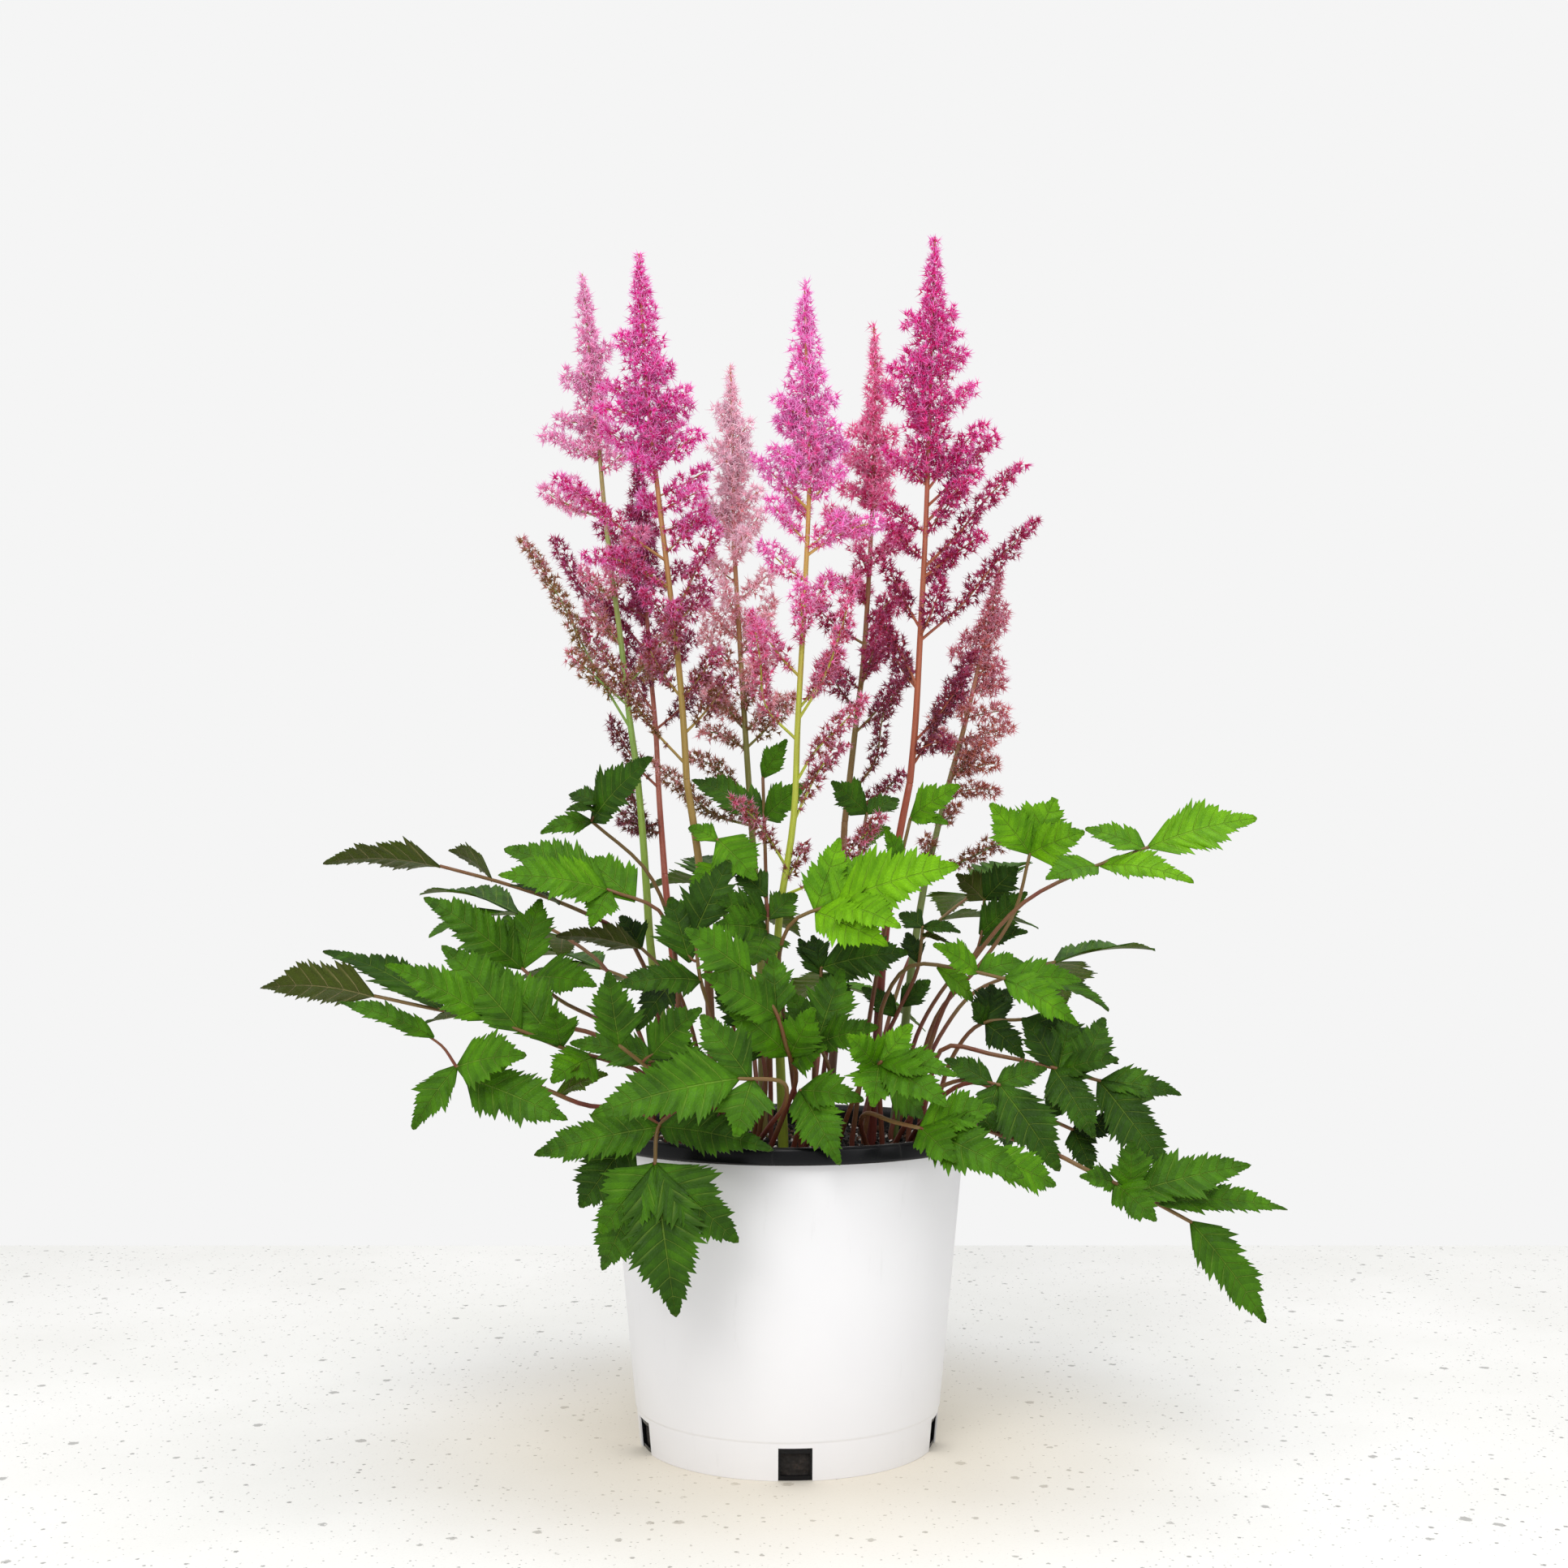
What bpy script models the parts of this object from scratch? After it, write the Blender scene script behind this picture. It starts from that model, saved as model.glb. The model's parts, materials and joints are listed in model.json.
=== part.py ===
"""An astilbe in its nursery pot: eight plumed flower stalks over cut, serrated leaves.

Metres, +Z up. The origin is the middle of the pot's foot, and the front of the plant faces -Y.
"""

import math
import random

import bmesh
import bpy
import numpy as np
from mathutils import Vector
from mathutils.bvhtree import BVHTree

# Pot
POT_HEIGHT = 0.1464
RIM_RADIUS = 0.0890
RIM_BAND = 0.0076
FOOT_RADIUS = 0.0702
SHOULDER_RADIUS = 0.0838
STEP_HEIGHT = 0.0165
STEP_DEPTH = 0.0005
STEP_RISE = 0.0008
OUTER_WALL = 0.0012
LINER_WALL = 0.0011
FLOOR_THICKNESS = 0.0015
RIM_EDGE_IN = 0.0006
RIM_LIP = 0.0009
RIM_TOP_IN = 0.0005
RIM_WIDTH = 0.0042
RIM_DIP = 0.0022
POT_SIDES = 32
NOTCH_COUNT = 5
NOTCH_WIDTH = 0.0150
NOTCH_HEIGHT = 0.0145
NOTCH_FROM = 0.060
NOTCH_TO = 0.090
CUT_PAST = 0.001
NOTCH_TURN = math.radians(2.6)
LINER_SLOT_WIDTH = 0.0130
LINER_SLOT_HEIGHT = 0.0120
SLOT_ABOVE_FLOOR = 0.0006
GAP = 0.0003

# Soil
SOIL_TOP = 0.1370
SOIL_EDGE_DROP = 0.0015
SOIL_FLAT = 0.8
SOIL_SIDES = 24
HOLE_DEPTH = 0.0120
HOLE_SIDES = 4
STEM_CLEAR = 0.004

# Where the photograph was taken from, for the points that are read off it
EYE = Vector((-0.00176, -0.900, 0.254))
EYE_PITCH = math.radians(3.5)
FOCAL_PX = 2298.0
CENTRE_PX = 966.0

# Flower stalks
STALK_SIDES = 5
STALK_RADIUS = 0.0024
STALK_TIP_RADIUS = 0.0011
AXIS_RADIUS = 0.00165
AXIS_POINTS = 30
STEM_POINTS = 7
LAST_PLACE = 0.9999
CANDLE_SIDES = 6
CANDLE_FOOT = 0.5
CANDLE_TOP = 0.2
CORE_SIDES = 3
CORE_STEP = 4
BRANCH_SIDES = 3
LONG_RINGS = 4
SHORT_RINGS = 3
BRANCH_POINTS = 13
BRANCH_RADIUS = 0.0062
SPRAY_RADIUS = 0.0058
SHORTEST_BRANCH = 0.006
BRANCH_PROFILE = (0.18, 0.3, 1.0, 0.92, 0.5)
BRANCH_SWELL = 0.22
BRANCH_FULL_TO = 0.8
THICK_LOW = 1.15
THICK_TOP = 0.9
BARE_SHORT = 0.1
BARE_LONG = 0.22
BRANCH_LIFT_LOW = 52.0
BRANCH_LIFT_TOP = 26.0
BRANCH_SAG = 0.06
PLUME_TAPER = 0.62
RING_START = 0.35
REACH_VARIES = (0.85, 1.1)
LIFT_VARIES = 6.0
TURN_VARIES = 0.3
LONG_SPRAY = 0.034
LEAN_TRIES = (0, -10, 10, -20, 20)
SPRAY_SHARES = (1.0, 0.8)
SPRAY_LAST_SHARE = 0.55
RING_SHARES = (1.0, 0.85, 0.7, 0.55, 0.42)
CUT_KNOTS = 4
BRANCHED = 0.80
CANDLE_SHARE = 0.62
SPIKE_IN = 0.42
SPIKE_LIFT = 0.35
BRUSH_START = 0.0008
BRUSH_END = 0.0025
BRANCH_TURN = math.radians(137.5)
HEAD_CLEAR = 0.0012
CLEAR_FROM = 0.12

# Leaves
LAYOUT_SEED = 11
PETIOLE_SIDES = 3
PETIOLE_RADIUS = 0.0013
PETIOLE_TIP_RADIUS = 0.0008
BLADE_THICKNESS = 0.0012
BLADE_ARCH = 0.07
BLADE_FOLD = 0.18
WIDEST_POWER = 0.72
FULLNESS = 0.85
TOOTH_AT = 0.72
TOOTH_BACK = 0.45
TOOTH_SHARE = 0.9
TOOTH_OUT = 0.12
VALLEY = 0.84
BLADE_MARGIN = 0.0007
GROWN_WIDER = 80.0
SNAP = 0.0030
INTO_LEAFLET = 0.003
INTO_STALK = 0.0002
LONG_LEAFLET = 0.060
SMALL_LEAFLET = 0.028
BETTER_BY = 0.15
# How far a leaf is moved along the line of sight, and its tips and their tilt, until it is clear
DEPTH_TRIES = (0, -5, 5, -10, 10, -16, 16, -24, 24)
TIP_TRIES = ((0, 0), (-8, 0), (8, 0), (0, 14), (0, -14), (-16, 0), (16, 0), (-14, 16), (14, -16),
             (-26, 0), (26, 0))
MM = 0.001
BEND_STEPS = 12

# Colours and roughness
PETAL_ROUGHNESS = 0.6
SMOOTH = 30
FLOWER_SMOOTH = 60
POT_WHITE = ((0.87, 0.87, 0.88), 0.32)
POT_BLACK = ((0.018, 0.019, 0.022), 0.28)
SOIL_BROWN = ((0.045, 0.034, 0.026), 0.95)
LEAF_GREEN = ((0.085, 0.26, 0.035), 0.5)
STEM_GREEN = ((0.30, 0.36, 0.06), 0.5)
STEM_RED = ((0.30, 0.075, 0.045), 0.5)


def seen(px, py, depth_mm):
    """The point that the photograph shows at a pixel, this many millimetres behind the pot's axis."""
    cos_p, sin_p = math.cos(EYE_PITCH), math.sin(EYE_PITCH)
    across = (px - CENTRE_PX) / FOCAL_PX
    rise = (CENTRE_PX - py) / FOCAL_PX
    ray = Vector((across, cos_p - rise * sin_p, sin_p + rise * cos_p))
    return EYE + ray * ((depth_mm * MM - EYE.y) / ray.y)


# Each stalk: its foot on the soil (mm), then pixels with depths (mm) up to its lowest spray, then the
# flower axis up to its tip, the share of the axis below the plume, the longest side branch (mm), how many
# side branches stand round it, the candle's width (mm), and the colours of its flowers and its stalk.
# Its sprays are the side branches that the photograph shows: how far back the tip leans (mm), then pixels
STALKS = {
    "far_left": dict(
        foot=(-50, 26), stem=[(806, 1200, 30), (794, 1050, 38)], bare=0.14,
        axis=[(785, 950, 42), (775, 880, 44), (766, 798, 45), (748, 658, 46), (735, 520, 46),
              (717, 338, 46)],
        reach=30, branches=8, candle=8.0, petals=(0.74, 0.4, 0.58), green=True,
        sprays=[(-8, (740, 568), (700, 548), (667, 534)), (4, (731, 523), (705, 520), (685, 517)),
                (-6, (735, 492), (712, 475), (692, 458)), (6, (728, 455), (742, 436), (752, 426)),
                (10, (746, 640), (700, 622), (666, 602)),
                (12, (776, 900), (740, 838), (697, 750), (642, 662)),
                (-10, (772, 870), (735, 835), (700, 803)), (8, (757, 740), (735, 722), (716, 700))]),
    "left": dict(
        foot=(-34, -14), stem=[(872, 1180, -14), (863, 1074, -15)], bare=0.06,
        axis=[(846, 960, -15), (842, 890, -15), (834, 800, -15), (810, 600, -15), (797, 480, -15),
              (787, 313, -15)],
        reach=34, branches=11, candle=10.5, petals=(0.66, 0.1, 0.36), green=False,
        sprays=[(-6, (795, 440), (776, 428), (761, 412)), (6, (798, 495), (766, 480), (740, 480)),
                (-10, (800, 522), (768, 508), (736, 503)), (8, (803, 562), (770, 545), (740, 525)),
                (-10, (814, 692), (770, 655), (725, 616), (683, 588)),
                (6, (797, 472), (812, 462), (827, 450)), (-6, (800, 508), (828, 492), (848, 478)),
                (10, (803, 535), (830, 512), (852, 494)), (-4, (806, 577), (835, 552), (864, 533)),
                (10, (810, 612), (845, 595), (876, 577)), (-12, (812, 630), (842, 615), (868, 602)),
                (4, (815, 655), (850, 645), (880, 642)),
                (-14, (843, 942), (803, 897), (760, 830), (717, 767)),
                (-14, (823, 724), (770, 692), (718, 686)),
                (-8, (828, 762), (850, 720), (868, 680), (886, 650)),
                (6, (838, 862), (862, 835), (885, 800)), (-10, (832, 790), (812, 750), (790, 728))]),
    "left_back": dict(
        foot=(-44, 10), stem=[(832, 1200, 26)], bare=0.34,
        axis=[(819, 1078, 50), (812, 980, 70), (808, 900, 80), (801, 820, 86), (796, 740, 90),
              (790, 640, 92), (782, 560, 92)],
        reach=38, branches=13, candle=7.5, petals=(0.5, 0.11, 0.28), green=False,
        sprays=[(-16, (799, 808), (763, 763), (713, 717), (682, 662)),
                (-12, (811, 985), (790, 950), (751, 885)), (-18, (817, 1060), (795, 1020), (777, 978)),
                (-24, (814, 1040), (785, 1020), (766, 1003)), (10, (798, 700), (765, 672), (735, 645)),
                (-6, (797, 760), (765, 745), (735, 745))]),
    "middle_left": dict(
        foot=(-12, 32), stem=[(938, 1200, 38), (932, 1100, 41)], bare=0.17,
        axis=[(927, 1030, 43), (920, 927, 45), (912, 800, 46), (904, 657, 47), (903, 560, 47),
              (900, 450, 47)],
        reach=31, branches=17, candle=8.0, petals=(0.78, 0.45, 0.52), green=True,
        sprays=[(4, (903, 532), (892, 515), (881, 503)), (-6, (904, 582), (890, 565), (877, 550)),
                (-8, (904, 645), (880, 628), (858, 612)), (-4, (903, 547), (915, 532), (926, 521)),
                (6, (904, 592), (918, 576), (930, 563)), (-6, (906, 685), (925, 652), (942, 627)),
                (-10, (918, 893), (890, 870), (865, 852)), (-12, (920, 903), (940, 880), (958, 856)),
                (6, (921, 925), (890, 905), (862, 902)),
                (-16, (926, 1018), (887, 1008), (848, 975), (803, 938)),
                (-20, (925, 990), (880, 945), (849, 932)), (-20, (926, 1005), (905, 1000), (893, 985)),
                (-8, (911, 790), (885, 765), (862, 740)), (8, (912, 800), (935, 770), (955, 735))]),
    "middle": dict(
        foot=(-2, -28), stem=[(958, 1190, -30)], bare=0.29,
        axis=[(962, 1112, -30), (978, 1007, -30), (983, 890, -30), (990, 760, -30), (997, 600, -30),
              (994, 480, -30), (992, 348, -30)],
        reach=31, branches=11, candle=9.5, petals=(0.78, 0.2, 0.48), green=True,
        sprays=[(-6, (995, 522), (975, 505), (957, 488)), (8, (996, 548), (975, 530), (955, 516)),
                (-8, (996, 583), (972, 567), (951, 551)), (4, (996, 628), (960, 592), (933, 563)),
                (-10, (996, 670), (970, 642), (946, 615)), (4, (995, 512), (1012, 498), (1027, 487)),
                (-4, (996, 548), (1015, 533), (1032, 521)), (8, (996, 583), (1020, 561), (1042, 546)),
                (-6, (997, 618), (1020, 596), (1041, 575)), (-8, (996, 685), (1040, 655), (1090, 641)),
                (-12, (983, 888), (1013, 840), (1035, 780), (1053, 712)),
                (-14, (980, 912), (947, 880), (938, 820), (926, 752)),
                (-16, (980, 965), (1005, 925), (1040, 890), (1068, 858)),
                (12, (976, 1015), (1010, 948), (1040, 917)), (-16, (966, 1068), (933, 1012), (902, 985)),
                (-14, (963, 1105), (1023, 1075), (1055, 1040), (1088, 1003)),
                (4, (965, 1088), (980, 1065), (992, 1039))]),
    "middle_right": dict(
        foot=(20, 40), stem=[(1036, 1180, 48), (1038, 1080, 50)], bare=0.16,
        axis=[(1041, 1012, 51), (1055, 889, 52), (1065, 800, 53), (1074, 640, 54), (1078, 500, 54),
              (1077, 402, 54)],
        reach=34, branches=15, candle=7.5, petals=(0.72, 0.18, 0.32), green=False,
        sprays=[(-8, (1077, 545), (1060, 532), (1046, 534)), (8, (1075, 625), (1050, 606), (1032, 594)),
                (-8, (1073, 665), (1040, 645), (1015, 627)), (6, (1076, 590), (1056, 574), (1041, 562)),
                (4, (1078, 492), (1090, 478), (1098, 470)), (-6, (1077, 595), (1100, 572), (1120, 556)),
                (-10, (1072, 700), (1095, 672), (1115, 655)), (-10, (1070, 748), (1045, 722), (1022, 716)),
                (6, (1068, 780), (1095, 752), (1115, 742)), (-8, (1060, 850), (1038, 832), (1022, 815)),
                (-20, (1047, 985), (1075, 950), (1088, 880), (1126, 824)),
                (-12, (1043, 1005), (1080, 980), (1115, 953)), (6, (1064, 840), (1085, 805), (1103, 790))]),
    "right": dict(
        foot=(40, -2), stem=[(1088, 1180, -4), (1105, 1050, -6)], bare=0.04,
        axis=[(1121, 965, -8), (1128, 890, -9), (1134, 780, -10), (1141, 640, -10), (1146, 480, -10),
              (1152, 292, -10)],
        reach=36, branches=8, candle=10.0, petals=(0.58, 0.07, 0.24), green=False,
        sprays=[(-6, (1149, 410), (1132, 398), (1115, 391)), (6, (1148, 460), (1130, 447), (1113, 438)),
                (-6, (1147, 478), (1120, 463), (1095, 450)), (4, (1146, 515), (1115, 492), (1091, 477)),
                (-4, (1144, 600), (1115, 572), (1090, 556)), (4, (1149, 402), (1163, 391), (1176, 383)),
                (-6, (1149, 430), (1165, 416), (1178, 406)), (8, (1148, 465), (1170, 449), (1192, 433)),
                (-4, (1146, 512), (1172, 497), (1201, 473)), (-8, (1143, 605), (1175, 562), (1212, 521)),
                (8, (1142, 625), (1185, 583), (1228, 533)), (-14, (1142, 645), (1175, 608), (1205, 581)),
                (0, (1141, 660), (1165, 626), (1191, 599)),
                (6, (1140, 700), (1165, 680), (1205, 625), (1262, 571)),
                (-10, (1141, 712), (1180, 680), (1212, 657)),
                (-6, (1134, 790), (1171, 761), (1206, 719), (1245, 672), (1279, 640)),
                (10, (1126, 946), (1151, 902), (1175, 850), (1201, 801)),
                (-8, (1127, 930), (1150, 915), (1172, 918)), (10, (1134, 775), (1116, 743), (1090, 690)),
                (-8, (1130, 848), (1113, 809), (1082, 758)), (-10, (1140, 690), (1110, 665), (1092, 640))]),
    "far_right": dict(
        foot=(52, 20), stem=[(1125, 1180, 26)], bare=0.26,
        axis=[(1142, 1075, 29), (1168, 970, 32), (1186, 904, 34), (1206, 820, 35), (1222, 750, 36),
              (1232, 700, 36)],
        reach=20, branches=6, candle=6.5, petals=(0.76, 0.42, 0.42), green=True,
        sprays=[(4, (1220, 768), (1232, 758), (1242, 754)), (-6, (1208, 832), (1222, 822), (1236, 819)),
                (6, (1203, 855), (1220, 848), (1238, 843)), (-4, (1195, 886), (1220, 878), (1242, 875)),
                (4, (1190, 915), (1220, 902), (1248, 897)), (-6, (1184, 935), (1205, 922), (1222, 917)),
                (6, (1178, 955), (1205, 944), (1232, 940)), (-4, (1172, 985), (1200, 972), (1232, 975)),
                (4, (1218, 786), (1200, 786), (1185, 788)), (4, (1183, 932), (1175, 922), (1166, 918)),
                (-10, (1150, 1062), (1145, 1045), (1139, 1032)),
                (-12, (1144, 1072), (1195, 1058), (1255, 1020)),
                (-4, (1158, 1020), (1172, 1005), (1180, 990))]),
}


# Each leaf: its foot on the soil (mm), its petiole as pixels with depths (mm), and its leaflets as
# (base pixel, depth), (tip pixel, depth), width over length, and the tilt of the face towards the viewer
LEAVES = {
    "left_top": dict(
        foot=(-58, 2), path=[(806, 1230, -2), (760, 1140, -12), (695, 1115, -18), (608, 1084, -24),
                             (542, 1067, -28)],
        blades=[((542, 1067, -28), (398, 1063, -34), 0.4, -28),
                ((608, 1083, -24), (555, 1046, -6), 0.5, -40),
                ((690, 1113, -18), (628, 1092, -36), 0.36, 25)]),
    "left_bright": dict(
        foot=(-48, -28), path=[(836, 1240, -36), (828, 1150, -40), (801, 1114, -42), (748, 1096, -46)],
        blades=[((748, 1096, -46), (613, 1080, -64), 0.42, 55),
                ((784, 1104, -42), (715, 1056, -30), 0.52, 50),
                ((745, 1094, -46), (621, 1046, -38), 0.42, 50),
                ((752, 1097, -46), (728, 1139, -62), 0.62, 65)]),
    "left_mid": dict(
        foot=(-66, -14), path=[(790, 1290, -24), (720, 1250, -28), (668, 1218, -30), (643, 1193, -30)],
        blades=[((643, 1193, -30), (522, 1106, -38), 0.38, 52),
                ((645, 1192, -30), (666, 1106, -20), 0.55, 62),
                ((642, 1190, -30), (623, 1127, -6), 0.5, 60),
                ((655, 1206, -30), (734, 1214, -52), 0.48, 55)]),
    "left_low": dict(
        foot=(-64, -34), path=[(801, 1305, -42), (701, 1268, -46), (562, 1248, -52), (461, 1227, -56)],
        blades=[((461, 1227, -56), (322, 1213, -62), 0.48, -48),
                ((546, 1245, -53), (398, 1170, -34), 0.27, 25),
                ((594, 1254, -51), (519, 1263, -72), 0.5, -25)]),
    "left_low_front": dict(
        foot=(-54, -46), path=[(800, 1330, -58), (740, 1304, -66), (688, 1290, -72), (642, 1270, -76),
                               (600, 1255, -80)],
        blades=[((600, 1255, -80), (474, 1189, -96), 0.34, 50),
                ((642, 1270, -76), (544, 1165, -74), 0.4, 60),
                ((688, 1290, -72), (595, 1182, -60), 0.38, 60),
                ((692, 1290, -72), (681, 1240, -84), 0.7, 60),
                ((734, 1300, -67), (680, 1330, -88), 0.7, 62)]),
    "left_curled": dict(
        foot=(-44, -56), path=[(790, 1372, -78), (735, 1366, -84), (680, 1345, -90), (620, 1325, -93),
                               (562, 1314, -95)],
        blades=[((535, 1278, -96), (416, 1236, -100), 0.22, 45),
                ((562, 1315, -95), (648, 1300, -112), 0.55, 62),
                ((559, 1318, -95), (509, 1392, -100), 0.42, 60),
                ((575, 1328, -95), (700, 1381, -112), 0.42, 66),
                ((688, 1345, -90), (748, 1323, -74), 0.5, -50)]),
    "left_on_stalk": dict(
        foot=(-36, 22), path=[(838, 1240, 16), (821, 1096, 8), (787, 1066, 4), (729, 1012, 0)],
        blades=[((729, 1011, 0), (805, 933, -24), 0.42, 60), ((740, 990, -4), (701, 978, 2), 0.6, 50),
                ((736, 998, -2), (698, 998, -16), 0.35, 45), ((727, 1014, 0), (666, 1024, -8), 0.42, 55)]),
    "left_grey": dict(
        foot=(-38, -42), path=[(822, 1345, -62), (800, 1318, -76), (763, 1288, -84)],
        blades=[((763, 1288, -84), (749, 1197, -90), 0.55, 75),
                ((800, 1304, -80), (862, 1242, -94), 0.56, 65),
                ((803, 1308, -76), (872, 1305, -104), 0.5, 60),
                ((812, 1309, -74), (702, 1286, -70), 0.38, 45)]),
    "left_inner": dict(
        foot=(-26, -30), path=[(878, 1330, -42), (880, 1270, -48), (864, 1212, -52), (856, 1150, -50)],
        blades=[((862, 1208, -52), (760, 1212, -72), 0.38, 55),
                ((856, 1148, -50), (899, 1059, -46), 0.5, 75),
                ((857, 1160, -50), (824, 1108, -34), 0.55, 70),
                ((850, 1186, -50), (826, 1104, -44), 0.62, 66)]),
    "centre_left": dict(
        foot=(-8, -46), path=[(980, 1334, -60), (973, 1310, -70), (960, 1255, -82), (926, 1202, -86)],
        blades=[((926, 1202, -86), (843, 1144, -90), 0.54, 70),
                ((957, 1252, -82), (866, 1200, -98), 0.42, 70),
                ((958, 1248, -82), (952, 1175, -76), 0.58, 75),
                ((968, 1302, -72), (886, 1228, -92), 0.42, 70),
                ((973, 1302, -71), (1003, 1243, -86), 0.66, 75),
                ((975, 1311, -70), (1018, 1290, -84), 0.7, 65)]),
    "centre_right": dict(
        foot=(8, -40), path=[(1028, 1335, -54), (1016, 1308, -62), (1007, 1283, -68)],
        blades=[((1007, 1283, -68), (1038, 1192, -60), 0.53, 75),
                ((1010, 1285, -68), (1083, 1266, -86), 0.45, 65),
                ((1004, 1280, -68), (972, 1220, -56), 0.5, 70)]),
    "front_long": dict(
        foot=(-16, -56), path=[(975, 1343, -70), (940, 1332, -78), (910, 1329, -84)],
        blades=[((910, 1329, -84), (728, 1374, -112), 0.36, 62),
                ((926, 1331, -81), (906, 1402, -98), 0.72, 72),
                ((924, 1328, -81), (863, 1250, -78), 0.5, 75)]),
    "front_centre": dict(
        foot=(2, -58), path=[(994, 1352, -70), (986, 1343, -76)],
        blades=[((986, 1343, -76), (1034, 1432, -100), 0.46, 72),
                ((988, 1340, -76), (1063, 1354, -90), 0.45, 62)]),
    "right_front": dict(
        foot=(22, -48), path=[(1056, 1345, -62), (1086, 1308, -77)],
        blades=[((1084, 1311, -76), (1178, 1321, -94), 0.38, 48),
                ((1084, 1312, -76), (1168, 1361, -104), 0.38, 66),
                ((1082, 1312, -76), (1076, 1362, -96), 0.7, 70),
                ((1079, 1316, -74), (1046, 1276, -90), 0.6, 68),
                ((1086, 1309, -76), (1124, 1262, -70), 0.5, 70),
                ((1092, 1326, -72), (1138, 1378, -58), 0.5, 66)]),
    "right_rim": dict(
        foot=(36, -46), path=[(1060, 1372, -62), (1092, 1380, -78), (1134, 1390, -92)],
        blades=[((1134, 1390, -92), (1226, 1362, -102), 0.52, 62),
                ((1134, 1391, -92), (1178, 1432, -112), 0.56, 75),
                ((1138, 1390, -92), (1262, 1452, -116), 0.4, 70),
                ((1216, 1424, -108), (1303, 1461, -96), 0.42, 66)]),
    "centre_bright": dict(
        foot=(6, -30), path=[(972, 1290, -44), (962, 1220, -52), (962, 1150, -58), (1004, 1124, -64),
                             (1030, 1113, -66)],
        blades=[((1031, 1113, -66), (1181, 1066, -94), 0.42, 66),
                ((1031, 1115, -66), (1108, 1140, -96), 0.4, 70),
                ((1005, 1124, -64), (1093, 1164, -92), 0.44, 76),
                ((1027, 1112, -66), (1074, 1052, -52), 0.46, 62),
                ((1004, 1122, -64), (1035, 1033, -52), 0.4, 70)]),
    "centre_back": dict(
        foot=(-16, -14), path=[(948, 1300, -24), (944, 1200, -30), (946, 1130, -34)],
        blades=[((946, 1130, -34), (883, 1109, -48), 0.55, 70),
                ((947, 1132, -34), (982, 1100, -24), 0.62, 66),
                ((945, 1146, -34), (879, 1140, -58), 0.5, 75),
                ((946, 1150, -34), (927, 1188, -62), 0.6, 75),
                ((945, 1104, -34), (906, 1070, -28), 0.62, 66)]),
    "centre_young": dict(
        foot=(-30, -4), path=[(905, 1240, -12), (892, 1120, -20), (884, 1034, -24)],
        blades=[((884, 1034, -24), (932, 1084, -44), 0.62, 75),
                ((884, 1036, -24), (848, 1018, -14), 0.5, 60),
                ((887, 1066, -22), (850, 1096, -34), 0.5, 60)]),
    "top_back": dict(
        foot=(-8, 14), path=[(948, 1240, 10), (944, 1100, 8), (942, 1010, 6), (940, 958, 4)],
        blades=[((943, 1008, 6), (992, 966, -10), 0.5, 70), ((940, 958, 4), (969, 911, -2), 0.45, 75),
                ((942, 1006, 6), (852, 958, 16), 0.36, 60)]),
    "top_right_back": dict(
        foot=(14, 14), path=[(1026, 1240, 14), (1050, 1100, 12), (1068, 1002, 8)],
        blades=[((1068, 1002, 8), (1024, 963, 0), 0.6, 70), ((1068, 1000, 8), (1108, 985, 22), 0.5, 55),
                ((1060, 1040, 10), (1096, 1020, -6), 0.5, 60)]),
    "right_small": dict(
        foot=(30, -20), path=[(1072, 1250, -24), (1096, 1120, -26), (1122, 1008, -28)],
        blades=[((1123, 1006, -28), (1183, 968, -40), 0.5, 62),
                ((1123, 1008, -28), (1168, 1014, -44), 0.32, 60),
                ((1106, 1062, -27), (1090, 1020, -34), 0.42, 60)]),
    "right_maple": dict(
        foot=(58, 4), path=[(1150, 1260, 6), (1232, 1160, 6), (1260, 1092, 6), (1269, 1052, 4)],
        blades=[((1269, 1052, 4), (1219, 990, 0), 0.6, 72), ((1269, 1052, 4), (1300, 983, 6), 0.8, 75),
                ((1269, 1052, 4), (1335, 1024, -8), 0.65, 70)]),
    "right_long": dict(
        foot=(62, -12), path=[(1150, 1270, -16), (1232, 1140, -22), (1301, 1088, -26), (1356, 1066, -30),
                              (1415, 1044, -34)],
        blades=[((1415, 1044, -34), (1549, 1009, -42), 0.48, 52),
                ((1410, 1045, -34), (1337, 1022, -22), 0.42, 55),
                ((1356, 1066, -30), (1470, 1083, -56), 0.32, 50),
                ((1352, 1067, -30), (1289, 1083, -48), 0.45, 45)]),
    "right_dark": dict(
        foot=(50, 12), path=[(1140, 1250, 24), (1196, 1184, 26), (1210, 1150, 28), (1213, 1108, 30)],
        blades=[((1211, 1152, 28), (1266, 1099, 22), 0.46, 62),
                ((1209, 1164, 28), (1267, 1149, 8), 0.42, 52),
                ((1213, 1108, 30), (1179, 1077, 38), 0.7, -60),
                ((1213, 1108, 30), (1254, 1068, 24), 0.7, 72)]),
    "right_bright": dict(
        foot=(44, -22), path=[(1082, 1280, -30), (1098, 1212, -36), (1132, 1188, -40), (1205, 1198, -46),
                              (1238, 1206, -48)],
        blades=[((1205, 1198, -46), (1151, 1163, -58), 0.45, 62),
                ((1205, 1197, -46), (1262, 1184, -34), 0.45, 60),
                ((1238, 1206, -48), (1329, 1262, -60), 0.36, 62),
                ((1238, 1205, -48), (1332, 1209, -40), 0.4, 56),
                ((1156, 1189, -42), (1201, 1233, -28), 0.4, 60)]),
    "right_mass": dict(
        foot=(60, -32), path=[(1156, 1300, -42), (1190, 1295, -46), (1267, 1308, -54), (1356, 1332, -60)],
        blades=[((1356, 1332, -60), (1456, 1349, -70), 0.34, 55),
                ((1353, 1333, -60), (1442, 1449, -84), 0.36, 76),
                ((1298, 1315, -56), (1349, 1401, -82), 0.43, 76),
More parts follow.
